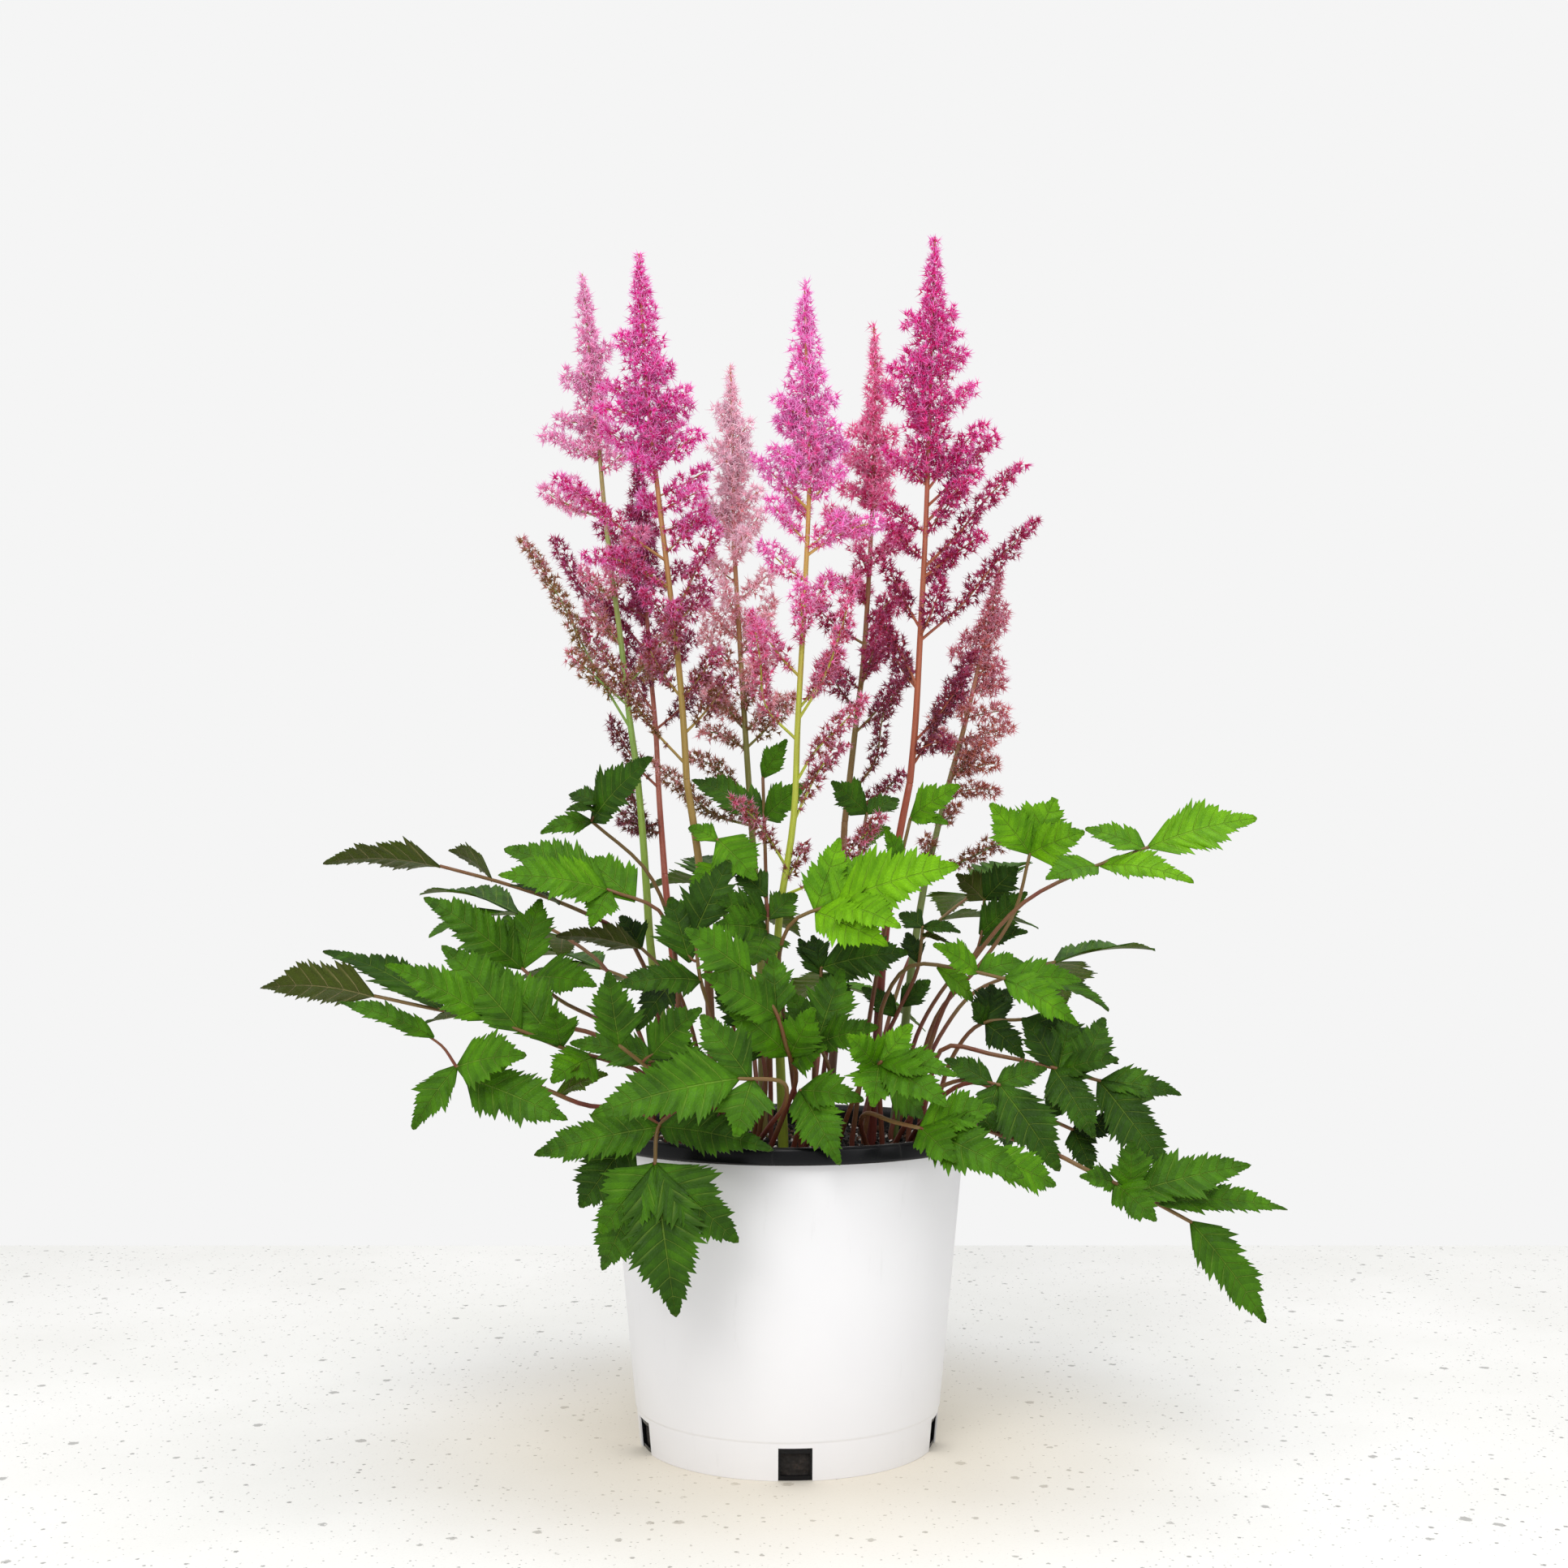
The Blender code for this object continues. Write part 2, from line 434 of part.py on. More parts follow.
                ((1303, 1314, -56), (1260, 1254, -44), 0.46, 70),
                ((1305, 1314, -56), (1318, 1254, -38), 0.5, 75),
                ((1330, 1323, -58), (1362, 1252, -46), 0.45, 70),
                ((1309, 1312, -56), (1378, 1304, -70), 0.4, 55)]),
    "right_mass_back": dict(
        foot=(64, -20), path=[(1180, 1288, -26), (1213, 1260, -30), (1262, 1256, -32)],
        blades=[((1215, 1260, -30), (1262, 1302, -44), 0.5, 72),
                ((1215, 1259, -30), (1222, 1213, -22), 0.8, 75),
                ((1262, 1256, -32), (1379, 1310, -34), 0.3, 60),
                ((1214, 1262, -30), (1246, 1216, -22), 0.5, 62),
                ((1213, 1258, -30), (1197, 1236, -36), 0.6, 60)]),
    "right_mass_front": dict(
        foot=(48, -42), path=[(1140, 1352, -62), (1190, 1330, -74), (1232, 1337, -84)],
        blades=[((1232, 1337, -84), (1306, 1442, -100), 0.46, 76),
                ((1229, 1337, -84), (1208, 1400, -92), 0.6, 76),
                ((1228, 1335, -83), (1290, 1316, -78), 0.42, 62),
                ((1222, 1336, -82), (1164, 1306, -70), 0.42, 60),
                ((1232, 1340, -84), (1244, 1418, -72), 0.44, 74)]),
    "right_lowest": dict(
        foot=(54, -40), path=[(1152, 1370, -60), (1192, 1385, -76), (1311, 1425, -92), (1368, 1458, -98),
                              (1425, 1481, -102), (1468, 1506, -104)],
        blades=[((1398, 1468, -100), (1542, 1437, -106), 0.36, 56),
                ((1392, 1466, -100), (1394, 1404, -104), 0.7, 75),
                ((1372, 1460, -98), (1332, 1449, -108), 0.5, 60),
                ((1372, 1461, -98), (1424, 1504, -116), 0.6, 75),
                ((1425, 1481, -102), (1587, 1486, -110), 0.24, 42),
                ((1468, 1506, -104), (1562, 1630, -112), 0.34, 68)]),
    "front_hanging": dict(
        foot=(-30, -58), path=[(852, 1372, -78), (814, 1384, -96), (807, 1434, -110)],
        blades=[((807, 1436, -110), (833, 1623, -118), 0.46, 82),
                ((805, 1436, -110), (738, 1520, -116), 0.58, 82),
                ((809, 1436, -110), (910, 1531, -116), 0.48, 82),
                ((800, 1440, -108), (740, 1568, -100), 0.42, 80),
                ((808, 1388, -98), (658, 1425, -110), 0.34, 62),
                ((780, 1398, -100), (713, 1489, -98), 0.56, 80),
                ((814, 1388, -98), (951, 1414, -118), 0.32, 62)]),
    "left_shade": dict(
        foot=(-34, 4), path=[(858, 1290, -2), (836, 1220, -6), (806, 1180, -8), (790, 1168, -8)],
        blades=[((789, 1168, -8), (685, 1154, -16), 0.4, -35), ((791, 1164, -8), (764, 1128, -2), 0.6, 55),
                ((828, 1210, -7), (784, 1268, -22), 0.42, 62)]),
    "centre_shade": dict(
        foot=(-14, -36), path=[(944, 1330, -48), (936, 1290, -52), (924, 1262, -54)],
        blades=[((924, 1262, -54), (880, 1212, -60), 0.56, 66),
                ((926, 1264, -54), (938, 1206, -50), 0.5, 70),
                ((936, 1292, -52), (972, 1256, -60), 0.6, 66),
                ((938, 1300, -51), (890, 1286, -62), 0.5, 58)]),
    "centre_dark": dict(
        foot=(12, -22), path=[(1004, 1300, -32), (1010, 1240, -36), (1012, 1192, -38)],
        blades=[((1013, 1192, -38), (1119, 1172, -44), 0.56, 60),
                ((1012, 1194, -38), (1001, 1152, -34), 0.7, 66),
                ((1011, 1200, -38), (984, 1156, -34), 0.5, 66),
                ((1012, 1202, -38), (1048, 1238, -48), 0.6, 66)]),
    "right_inner": dict(
        foot=(36, -8), path=[(1086, 1290, -12), (1110, 1240, -14), (1132, 1190, -16), (1137, 1142, -18)],
        blades=[((1137, 1142, -18), (1183, 1147, -28), 0.36, 50),
                ((1137, 1141, -18), (1108, 1126, -10), 0.6, 60),
                ((1137, 1152, -18), (1174, 1166, -26), 0.32, -30),
                ((1133, 1186, -16), (1117, 1148, -8), 0.5, 62),
                ((1111, 1240, -14), (1146, 1208, -8), 0.5, 58),
                ((1104, 1252, -13), (1062, 1216, -6), 0.46, 56)]),
    "right_low_back": dict(
        foot=(58, -22), path=[(1180, 1332, -40), (1256, 1362, -52), (1322, 1392, -62)],
        blades=[((1323, 1390, -62), (1390, 1386, -72), 0.46, 58),
                ((1322, 1394, -62), (1346, 1444, -74), 0.52, 70),
                ((1290, 1378, -57), (1318, 1336, -50), 0.5, 60)]),
}


# Leaves behind the plant, which the photograph doesn't show: foot (mm), heading, reach (mm), tip height (mm)
BACK_LEAVES = {
    "back_1": dict(foot=(54, 34), heading=24, reach=150, rise=35),
    "back_2": dict(foot=(38, 54), heading=50, reach=160, rise=70),
    "back_3": dict(foot=(12, 62), heading=78, reach=160, rise=25),
    "back_4": dict(foot=(-14, 58), heading=104, reach=150, rise=75),
    "back_5": dict(foot=(-36, 50), heading=132, reach=160, rise=30),
    "back_6": dict(foot=(-56, 34), heading=158, reach=145, rise=60),
}
BACK_LEAFLET = 0.056
BACK_LEAFLET_WIDE = 0.50
BACK_POINTS = 6
BACK_END = (0.62, 0.045, 1.0)
BACK_KNEE = (0.26, 0.040, 0.6)
BACK_DROOP = 0.012
BACK_VARIES = (0.6, 1.4)
BACK_TILT = 12
# Where a back leaf's leaflets stand on its stalk, how far they spread, and their size
BACK_SPREADS = ((-1, 0.0, 1.15), (-1, 0.9, 0.9), (-2, -1.0, 0.95))
BACK_LIFTS = (0, 0.008, -0.008, 0.016, -0.016, 0.026)


def bent(points, count):
    """A smooth curve through the points, as this many evenly spread points."""
    knots = [Vector(p) for p in points]
    knots = [knots[0] * 2 - knots[1]] + knots + [knots[-1] * 2 - knots[-2]]
    curve = []
    for a, b, c, d in zip(knots, knots[1:], knots[2:], knots[3:]):
        for step in range(BEND_STEPS):
            t = step / BEND_STEPS
            curve.append(0.5 * ((2 * b) + (c - a) * t + (2 * a - 5 * b + 4 * c - d) * t ** 2
                                + (3 * b - a - 3 * c + d) * t ** 3))
    curve.append(knots[-2])
    runs = [0.0]
    for a, b in zip(curve, curve[1:]):
        runs.append(runs[-1] + (b - a).length)
    spread = np.linspace(0.0, runs[-1], count)
    tracks = [[point[axis] for point in curve] for axis in range(3)]
    return [Vector([float(np.interp(s, runs, track)) for track in tracks]) for s in spread]


def across(direction):
    """A unit vector square to a direction."""
    helper = Vector((0, 1, 0)) if abs(direction.normalized().y) < 0.9 else Vector((1, 0, 0))
    return direction.cross(helper).normalized()


def ring_solid(rings, start, end):
    """Vertices and faces of a closed skin over rings of points, from one end point to the other."""
    verts = [start]
    for ring in rings:
        verts.extend(ring)
    verts.append(end)
    sides = len(rings[0])
    last = len(verts) - 1
    faces = []
    for k in range(sides):
        nxt = (k + 1) % sides
        faces.append((0, 1 + nxt, 1 + k))
        for r in range(len(rings) - 1):
            low, high = 1 + r * sides, 1 + (r + 1) * sides
            faces.append((low + k, low + nxt, high + nxt))
            faces.append((low + k, high + nxt, high + k))
        top = 1 + (len(rings) - 1) * sides
        faces.append((last, top + k, top + nxt))
    return verts, faces


def tube(path, radii, sides):
    """A closed round stem along a path."""
    side = across(path[-1] - path[0])
    rings = []
    for i, centre in enumerate(path):
        along = (path[min(i + 1, len(path) - 1)] - path[max(i - 1, 0)]).normalized()
        u = (side - along * side.dot(along)).normalized()
        v = along.cross(u)
        turns = [2 * math.pi * k / sides for k in range(sides)]
        rings.append([centre + (u * math.cos(a) + v * math.sin(a)) * radii[i] for a in turns])
    return ring_solid(rings, path[0], path[-1])


def brush(path, radii, sides):
    """A stem set with spikes: every other point of each ring stands out, and turns by one each ring."""
    side = across(path[-1] - path[0])
    rings = []
    for i, centre in enumerate(path):
        along = (path[min(i + 1, len(path) - 1)] - path[max(i - 1, 0)]).normalized()
        u = (side - along * side.dot(along)).normalized()
        v = along.cross(u)
        ring = []
        for k in range(sides):
            a = 2 * math.pi * k / sides
            out = radii[i] if (k + i) % 2 else radii[i] * SPIKE_IN
            lift = along * (radii[i] * SPIKE_LIFT if (k + i) % 2 else 0.0)
            ring.append(centre + (u * math.cos(a) + v * math.sin(a)) * out + lift)
        rings.append(ring)
    start = path[0] - (path[1] - path[0]).normalized() * BRUSH_START
    end = path[-1] + (path[-1] - path[-2]).normalized() * BRUSH_END
    return ring_solid(rings, start, end)


def half_width(u):
    """How wide a leaflet is along its rib, from 0 at its base to 0 at its drawn-out tip."""
    return math.sin(math.pi * u ** WIDEST_POWER) ** FULLNESS


def blade(base, tip, wide, tilt, teeth, thickness=BLADE_THICKNESS):
    """A thin arched leaflet with forward teeth: sharp at each tooth, thick along its rib."""
    length = (tip - base).length
    along = (tip - base).normalized()
    lean = math.radians(tilt)
    up = Vector((0, -math.sin(lean), math.cos(lean)))
    up = (up - along * up.dot(along)).normalized()
    side = along.cross(up)

    def point(u, reach, lift):
        rib = base + along * (length * u) + up * (length * BLADE_ARCH * 4 * u * (1 - u))
        return rib + side * reach + up * (abs(reach) * BLADE_FOLD + lift)

    verts = [base, tip]
    ribs, valleys, tips = {0: (0, 0), teeth: (1, 1)}, {}, {}
    for k in range(1, teeth):
        u = k / teeth
        ribs[k] = (len(verts), len(verts) + 1)
        verts += [point(u, 0, thickness / 2), point(u, 0, -thickness / 2)]
    for hand in (-1, 1):
        reach = hand * wide * length / 2
        for k in range(1, teeth):
            valleys[hand, k] = len(verts)
            verts.append(point(k / teeth, reach * half_width(k / teeth) * VALLEY, 0))
        for k in range(teeth):
            u = (k + TOOTH_AT) / teeth
            tips[hand, k] = len(verts)
            verts.append(point(u, reach * (half_width(u - TOOTH_BACK / teeth) * TOOTH_SHARE + TOOTH_OUT), 0))
    faces = []
    for hand, face in ((-1, 0), (-1, 1), (1, 0), (1, 1)):
        patch = [(ribs[k][face], tips[hand, k], ribs[k + 1][face]) for k in range(teeth)]
        for k in range(1, teeth):
            patch.append((ribs[k][face], tips[hand, k - 1], valleys[hand, k]))
            patch.append((ribs[k][face], valleys[hand, k], tips[hand, k]))
        faces += patch if (hand > 0) == (face == 0) else [corner[::-1] for corner in patch]
    return verts, faces


class Room:
    """What is already placed, so that each new piece can be kept clear of the other nodes."""

    def __init__(self):
        self.placed = []

    @staticmethod
    def bounds(verts):
        """The lowest and highest corner round some points."""
        array = np.array([tuple(v) for v in verts])
        return array.min(axis=0), array.max(axis=0)

    def add(self, node, piece):
        """Keep a piece as part of a node."""
        verts, faces = piece
        self.placed.append((node, self.bounds(verts), BVHTree.FromPolygons(verts, faces)))

    def hits(self, node, piece):
        """Whether a piece would cross what another node holds."""
        verts, faces = piece
        low, high = self.bounds(verts)
        tree = BVHTree.FromPolygons(verts, faces)
        for other, (other_low, other_high), other_tree in self.placed:
            if other == node or np.any(low > other_high) or np.any(high < other_low):
                continue
            if tree.overlap(other_tree):
                return True
        return False


def foot_of(foot):
    """The stem's lowest point in its hole, and where it leaves the soil."""
    x, y = foot[0] * MM, foot[1] * MM
    return Vector((x, y, SOIL_TOP - HOLE_DEPTH + GAP)), Vector((x, y, SOIL_TOP + STEM_CLEAR))


def stem_path(foot, marks, count):
    """A stem's path: straight in its hole, then a smooth bend through the points seen."""
    low, high = foot_of(foot)
    return [low] + bent([high] + [seen(*mark) for mark in marks], count)


def taper(first, last, count):
    """Radii from one to another in even steps."""
    return [first + (last - first) * i / (count - 1) for i in range(count)]


def nearest(path, point):
    """The point on a path nearest to another point."""
    best = None
    for a, b in zip(path, path[1:]):
        span = b - a
        t = min(1.0, max(0.0, (point - a).dot(span) / span.length_squared))
        spot = a + span * t
        if best is None or (spot - point).length < (best - point).length:
            best = spot
    return best


def stalk_pieces(stalk):
    """A stalk's stem up to its lowest spray, and the flower axis above it."""
    marks = stalk["stem"] + stalk["axis"][:1]
    stem = stem_path(stalk["foot"], marks, STEM_POINTS)
    axis = bent([seen(*mark) for mark in stalk["axis"]], AXIS_POINTS)
    stem[-1] = axis[0] - (axis[1] - axis[0]).normalized() * GAP
    return stem, axis


def place_on(axis, share):
    """The point this share of the way up an axis."""
    place = min(share, LAST_PLACE) * (len(axis) - 1)
    return axis[int(place)].lerp(axis[int(place) + 1], place % 1.0)


def ring_branches(stalk, axis, rng):
    """Side branches all round the plume: upswept, and shorter towards the top, as (path knots, thickness)."""
    branches = []
    for k in range(stalk["branches"]):
        t = (k + RING_START) / stalk["branches"]
        start = place_on(axis, stalk["bare"] + (1 - stalk["bare"]) * t * BRANCHED)
        turn = k * BRANCH_TURN + rng.uniform(-TURN_VARIES, TURN_VARIES)
        lift = math.radians(BRANCH_LIFT_LOW + (BRANCH_LIFT_TOP - BRANCH_LIFT_LOW) * t
                            + rng.uniform(-LIFT_VARIES, LIFT_VARIES))
        reach = stalk["reach"] * MM * (1.0 - t) ** PLUME_TAPER * rng.uniform(*REACH_VARIES) + SHORTEST_BRANCH
        out = Vector((math.cos(turn), math.sin(turn), 0)) * math.cos(lift)
        tip = start + (out + Vector((0, 0, math.sin(lift)))) * reach
        sag = Vector((0, 0, reach * BRANCH_SAG))
        thick = BRANCH_RADIUS * (THICK_LOW + (THICK_TOP - THICK_LOW) * t)
        branches.append(([start, start.lerp(tip, 0.5) - sag, tip], thick))
    return branches


def spray_knots(axis, back, pixels):
    """The knots of a side branch that the photograph shows, from the flower axis to its tip."""
    start = nearest(axis, seen(*pixels[0], axis[len(axis) // 2].y / MM))
    depth, last = start.y / MM, len(pixels) - 1
    return [start] + [seen(*pixels[k], depth + back * k / last) for k in range(1, last + 1)]


def run_of(path):
    """The length of a path."""
    return sum((b - a).length for a, b in zip(path, path[1:]))


def branch_piece(knots, thick, from_share=0.0):
    """A branch crowded with florets: bare at its foot, full along its middle, slimmer at its tip."""
    long = run_of(knots) > LONG_SPRAY
    bare = BARE_LONG if long else BARE_SHORT
    stations = (0.0, bare, bare + BRANCH_SWELL, BRANCH_FULL_TO, 1.0)
    shares = np.linspace(from_share, 1.0, LONG_RINGS if long else SHORT_RINGS)
    path = bent(knots, BRANCH_POINTS)
    radii = [thick * float(np.interp(share, stations, BRANCH_PROFILE)) for share in shares]
    return brush([place_on(path, share) for share in shares], radii, BRANCH_SIDES)


def candle_piece(stalk, axis):
    """The dense spire at the top of the flower axis."""
    first = round((stalk["bare"] + (1 - stalk["bare"]) * CANDLE_SHARE) * (len(axis) - 1))
    path = axis[first::2] if (len(axis) - first) % 2 else axis[first::2] + axis[-1:]
    wide = stalk["candle"] * MM
    radii = taper(wide, wide * CANDLE_TOP, len(path))
    radii[0] = wide * CANDLE_FOOT
    return brush(path, radii, CANDLE_SIDES)


def cut_short(knots, share):
    """The first share of a branch's knots."""
    path = bent(knots, BRANCH_POINTS)
    return [place_on(path, float(place)) for place in np.linspace(0.0, share, CUT_KNOTS)]


def wanted_branches(stalk, axis, rng):
    """Each side branch as the shapes it may take, best first, with its thickness."""
    wanted = []
    for back, *pixels in stalk["sprays"]:
        leans = [spray_knots(axis, back + more, pixels) for more in LEAN_TRIES]
        tries = [(knots, share) for share in SPRAY_SHARES for knots in leans]
        wanted.append((tries + [(leans[0], SPRAY_LAST_SHARE)], SPRAY_RADIUS))
    for knots, thick in ring_branches(stalk, axis, rng):
        wanted.append(([(knots, share) for share in RING_SHARES], thick))
    return wanted


def kept_branches(node, stalk, axis, rng, room):
    """The side branches that clear every other node, leaned or shortened where they have to be."""
    kept = []
    for tries, thick in wanted_branches(stalk, axis, rng):
        for knots, share in tries:
            knots = cut_short(knots, share)
            if not room.hits(node, branch_piece(knots, thick + HEAD_CLEAR, CLEAR_FROM)):
                kept.append((knots, thick))
                room.add(node, branch_piece(knots, thick))
                break
    return kept


def shift(mark, by):
    """A pixel mark moved along the line of sight."""
    return (mark[0], mark[1], mark[2] + by)


def teeth_of(length):
    """How many teeth a leaflet of this length has on each side."""
    return 4 if length > LONG_LEAFLET else 3 if length > SMALL_LEAFLET else 2


def leaflet_piece(row, by, tip_by, tilt_by, grown=0.0):
    """A leaflet of a leaf that is moved along the line of sight, and its tip more so."""
    base, tip = seen(*shift(row[0], by)), seen(*shift(row[1], by + tip_by))
    start = base + (tip - base).normalized() * grown * 2
    return (start, tip, row[2] * (1 + grown * GROWN_WIDER), row[3] + tilt_by, teeth_of((tip - base).length),
            BLADE_THICKNESS + 2 * grown)


def petiole(leaf, by, extra=0.0):
    """A leaf's stalk, moved along the line of sight."""
    marks = [shift(mark, by) for mark in leaf["path"]]
    count = 2 + len(marks)
    path = stem_path(leaf["foot"], marks, count)
    radii = [r + extra for r in taper(PETIOLE_RADIUS, PETIOLE_TIP_RADIUS, len(path))]
    return path, radii


def lay_leaf(name, leaf, room):
    """The leaf's stalk and its leaflets where they clear every other node, as the plans of its pieces."""
    best = None
    for by in DEPTH_TRIES:
        path, radii = petiole(leaf, by, BLADE_MARGIN)
        if room.hits(name, tube(path[1:], radii[1:], PETIOLE_SIDES)):
            continue
        clear = 0
        for row in leaf["blades"]:
            clear += not room.hits(name, blade(*leaflet_piece(row, by, 0, 0, BLADE_MARGIN)))
        if best is None or clear > best[0] + BETTER_BY:
            best = (clear, by)
        if clear == len(leaf["blades"]):
            break
    by = best[1] if best else 0
    path, radii = petiole(leaf, by)
    blades = []
    for row in leaf["blades"]:
        for tip_by, tilt_by in TIP_TRIES:
            if not room.hits(name, blade(*leaflet_piece(row, by, tip_by, tilt_by, BLADE_MARGIN))):
                blades.append(leaflet_piece(row, by, tip_by, tilt_by))
                break
    return path, radii, blades


def back_leaf(plan, rng):
    """A leaf behind the plant: a stalk that arches outwards, with three leaflets."""
    turn = math.radians(plan["heading"])
    out = Vector((math.cos(turn), math.sin(turn), 0))
    side = Vector((-out.y, out.x, 0))
    low, high = foot_of(plan["foot"])
    reach, rise = plan["reach"] * MM, plan["rise"] * MM
    knee, end = (high + out * reach * far + Vector((0, 0, up + rise * share))
                 for far, up, share in (BACK_KNEE, BACK_END))
    path = [low] + bent([high, knee, end], BACK_POINTS)
    along = (path[-1] - path[-2]).normalized()
    blades = []
    for place, spread, scale in BACK_SPREADS:
        heading = along * math.cos(spread) + side * math.sin(spread)
        droop = BACK_DROOP * (1 + abs(spread)) * rng.uniform(*BACK_VARIES)
        tip = path[place] + heading * BACK_LEAFLET * scale - Vector((0, 0, droop))
        teeth = teeth_of((tip - path[place]).length)
        blades.append((path[place], tip, BACK_LEAFLET_WIDE, rng.uniform(-BACK_TILT, BACK_TILT), teeth,
                       BLADE_THICKNESS))
    return path, taper(PETIOLE_RADIUS, PETIOLE_TIP_RADIUS, len(path)), blades


def lay_back_leaf(name, plan, room, rng):
    """A leaf behind the plant, without the leaflets that would cross another node."""
    path, radii, blades = back_leaf(plan, rng)
    kept = []
    for start, tip, wide, tilt, teeth, thickness in blades:
        for lift in BACK_LIFTS:
            moved = tip + Vector((0, 0, lift))
            inner = start + (moved - start).normalized() * BLADE_MARGIN * 2
            grown = blade(inner, moved, wide * (1 + BLADE_MARGIN * GROWN_WIDER), tilt, teeth,
                          thickness + 2 * BLADE_MARGIN)
            if not room.hits(name, grown):
                kept.append((start, moved, wide, tilt, teeth, thickness))
                break
    return path, radii, kept


def lay_out():
    """Where everything grows: stems and flower axes, leaves, side branches, and the stems' feet."""
    room = Room()
    stems, axes, leaves, branches, feet = {}, {}, {}, {}, []
    for name, stalk in STALKS.items():
        stem, axis = stalk_pieces(stalk)
        stems[name], axes[name] = stem, axis
        feet.append((stalk["foot"], STALK_RADIUS))
        wide = [r + BLADE_MARGIN for r in taper(STALK_RADIUS, STALK_TIP_RADIUS, len(stem) + len(axis))]
        room.add("stalk_" + name, tube(stem[1:], wide[1:len(stem)], STALK_SIDES))
        room.add("flowers_" + name, tube(axis, wide[len(stem):], STALK_SIDES))
        room.add("flowers_" + name, candle_piece(stalk, axis))
    rng = random.Random(LAYOUT_SEED)
    for name, plan in {**LEAVES, **BACK_LEAVES}.items():
        node = "leaf_" + name
        if "heading" in plan:
            leaves[node] = lay_back_leaf(node, plan, room, rng)
        else:
            leaves[node] = lay_leaf(node, plan, room)
        feet.append((plan["foot"], PETIOLE_RADIUS))
        path, radii, blades = leaves[node]
        room.add(node, tube(path[1:], radii[1:], PETIOLE_SIDES))
        for blade_plan in blades:
            room.add(node, blade(*blade_plan))
    for name, stalk in STALKS.items():
        branches[name] = kept_branches("flowers_" + name, stalk, axes[name], random.Random(name), room)
    return stems, axes, leaves, branches, feet


def leaf_pieces(path, radii, blades):
    """The solids of a leaf: its stalk, its leaflets and the short stalks that carry them."""
    pieces = [tube(path, radii, PETIOLE_SIDES)]
    for base, tip, *shape in blades:
        spot = nearest(path, base)
        along = (tip - base).normalized()
        if (spot - base).length > SNAP:
            pieces.append(tube([spot, base + along * INTO_LEAFLET], [PETIOLE_TIP_RADIUS] * 2, PETIOLE_SIDES))
            pieces.append(blade(base, tip, *shape))
        else:
            pieces.append(blade(spot - along * INTO_STALK, tip, *shape))
    return pieces


def solid_mesh(name, verts, faces):
    """A mesh from vertices and faces, with its faces turned outwards."""
    mesh = bpy.data.meshes.new(name)
    mesh.from_pydata([tuple(v) for v in verts], [], faces)
    work = bmesh.new()
    work.from_mesh(mesh)
    bmesh.ops.recalc_face_normals(work, faces=work.faces)
    if work.calc_volume(signed=True) < 0:
        bmesh.ops.reverse_faces(work, faces=work.faces)
    work.to_mesh(mesh)
    work.free()
    return mesh


def finish(name, mesh, look, smooth_angle=SMOOTH):
    """One named object with its own material."""
    colour, roughness = look
    material = bpy.data.materials.new(name)
    material.use_nodes = True
    shader = material.node_tree.nodes["Principled BSDF"]
    shader.inputs["Base Color"].default_value = (*colour, 1.0)
    shader.inputs["Roughness"].default_value = roughness
    shader.inputs["Metallic"].default_value = 0.0
    mesh.materials.clear()
    mesh.materials.append(material)
    mesh.shade_smooth()
    mesh.set_sharp_from_angle(angle=math.radians(smooth_angle))
    thing = bpy.data.objects.new(name, mesh)
    bpy.context.scene.collection.objects.link(thing)
    return thing


def evaluated(thing):
    """The mesh that an object's modifiers give, as a mesh of its own."""
    graph = bpy.context.evaluated_depsgraph_get()
    return bpy.data.meshes.new_from_object(thing.evaluated_get(graph), depsgraph=graph)


def bodies_in(work):
    """A work mesh's separate bodies, as lists of faces."""
    unseen = set(work.faces)
    groups = []
    while unseen:
        front = [unseen.pop()]
        group = list(front)
        while front:
            for edge in front.pop().edges:
                for face in edge.link_faces:
                    if face in unseen:
                        unseen.remove(face)
                        front.append(face)
                        group.append(face)
        groups.append(group)
    return groups


def keep_largest(mesh):
    """Drop loose scraps, so that one body stays."""
    work = bmesh.new()
    work.from_mesh(mesh)
    scraps = sorted(bodies_in(work), key=len)[:-1]
    bmesh.ops.delete(work, geom=[face for group in scraps for face in group], context="FACES")
    work.to_mesh(mesh)
    work.free()


def fuse(name, pieces):
    """All the pieces of a node joined in one body by a single union."""
    meshes = [solid_mesh(name, verts, faces) for verts, faces in pieces]
    if len(meshes) == 1:
        return meshes[0]
    body = bpy.data.objects.new(name + "_body", meshes[0])
    bpy.context.scene.collection.objects.link(body)
    group = bpy.data.collections.new(name + "_pieces")
    bpy.context.scene.collection.children.link(group)
    for mesh in meshes[1:]:
        group.objects.link(bpy.data.objects.new(name + "_piece", mesh))
    union = body.modifiers.new("union", "BOOLEAN")
    union.operation = "UNION"
    union.operand_type = "COLLECTION"
    union.collection = group
    union.solver = "MANIFOLD"
    joined = evaluated(body)
    for piece in list(group.objects):
        bpy.data.objects.remove(piece)
    bpy.data.collections.remove(group)
    bpy.data.objects.remove(body)
    keep_largest(joined)
    return joined


def wall_radius(z):
    """The white skin's outer radius at a height."""
    return FOOT_RADIUS + (SHOULDER_RADIUS - FOOT_RADIUS) * z / (POT_HEIGHT - RIM_BAND)


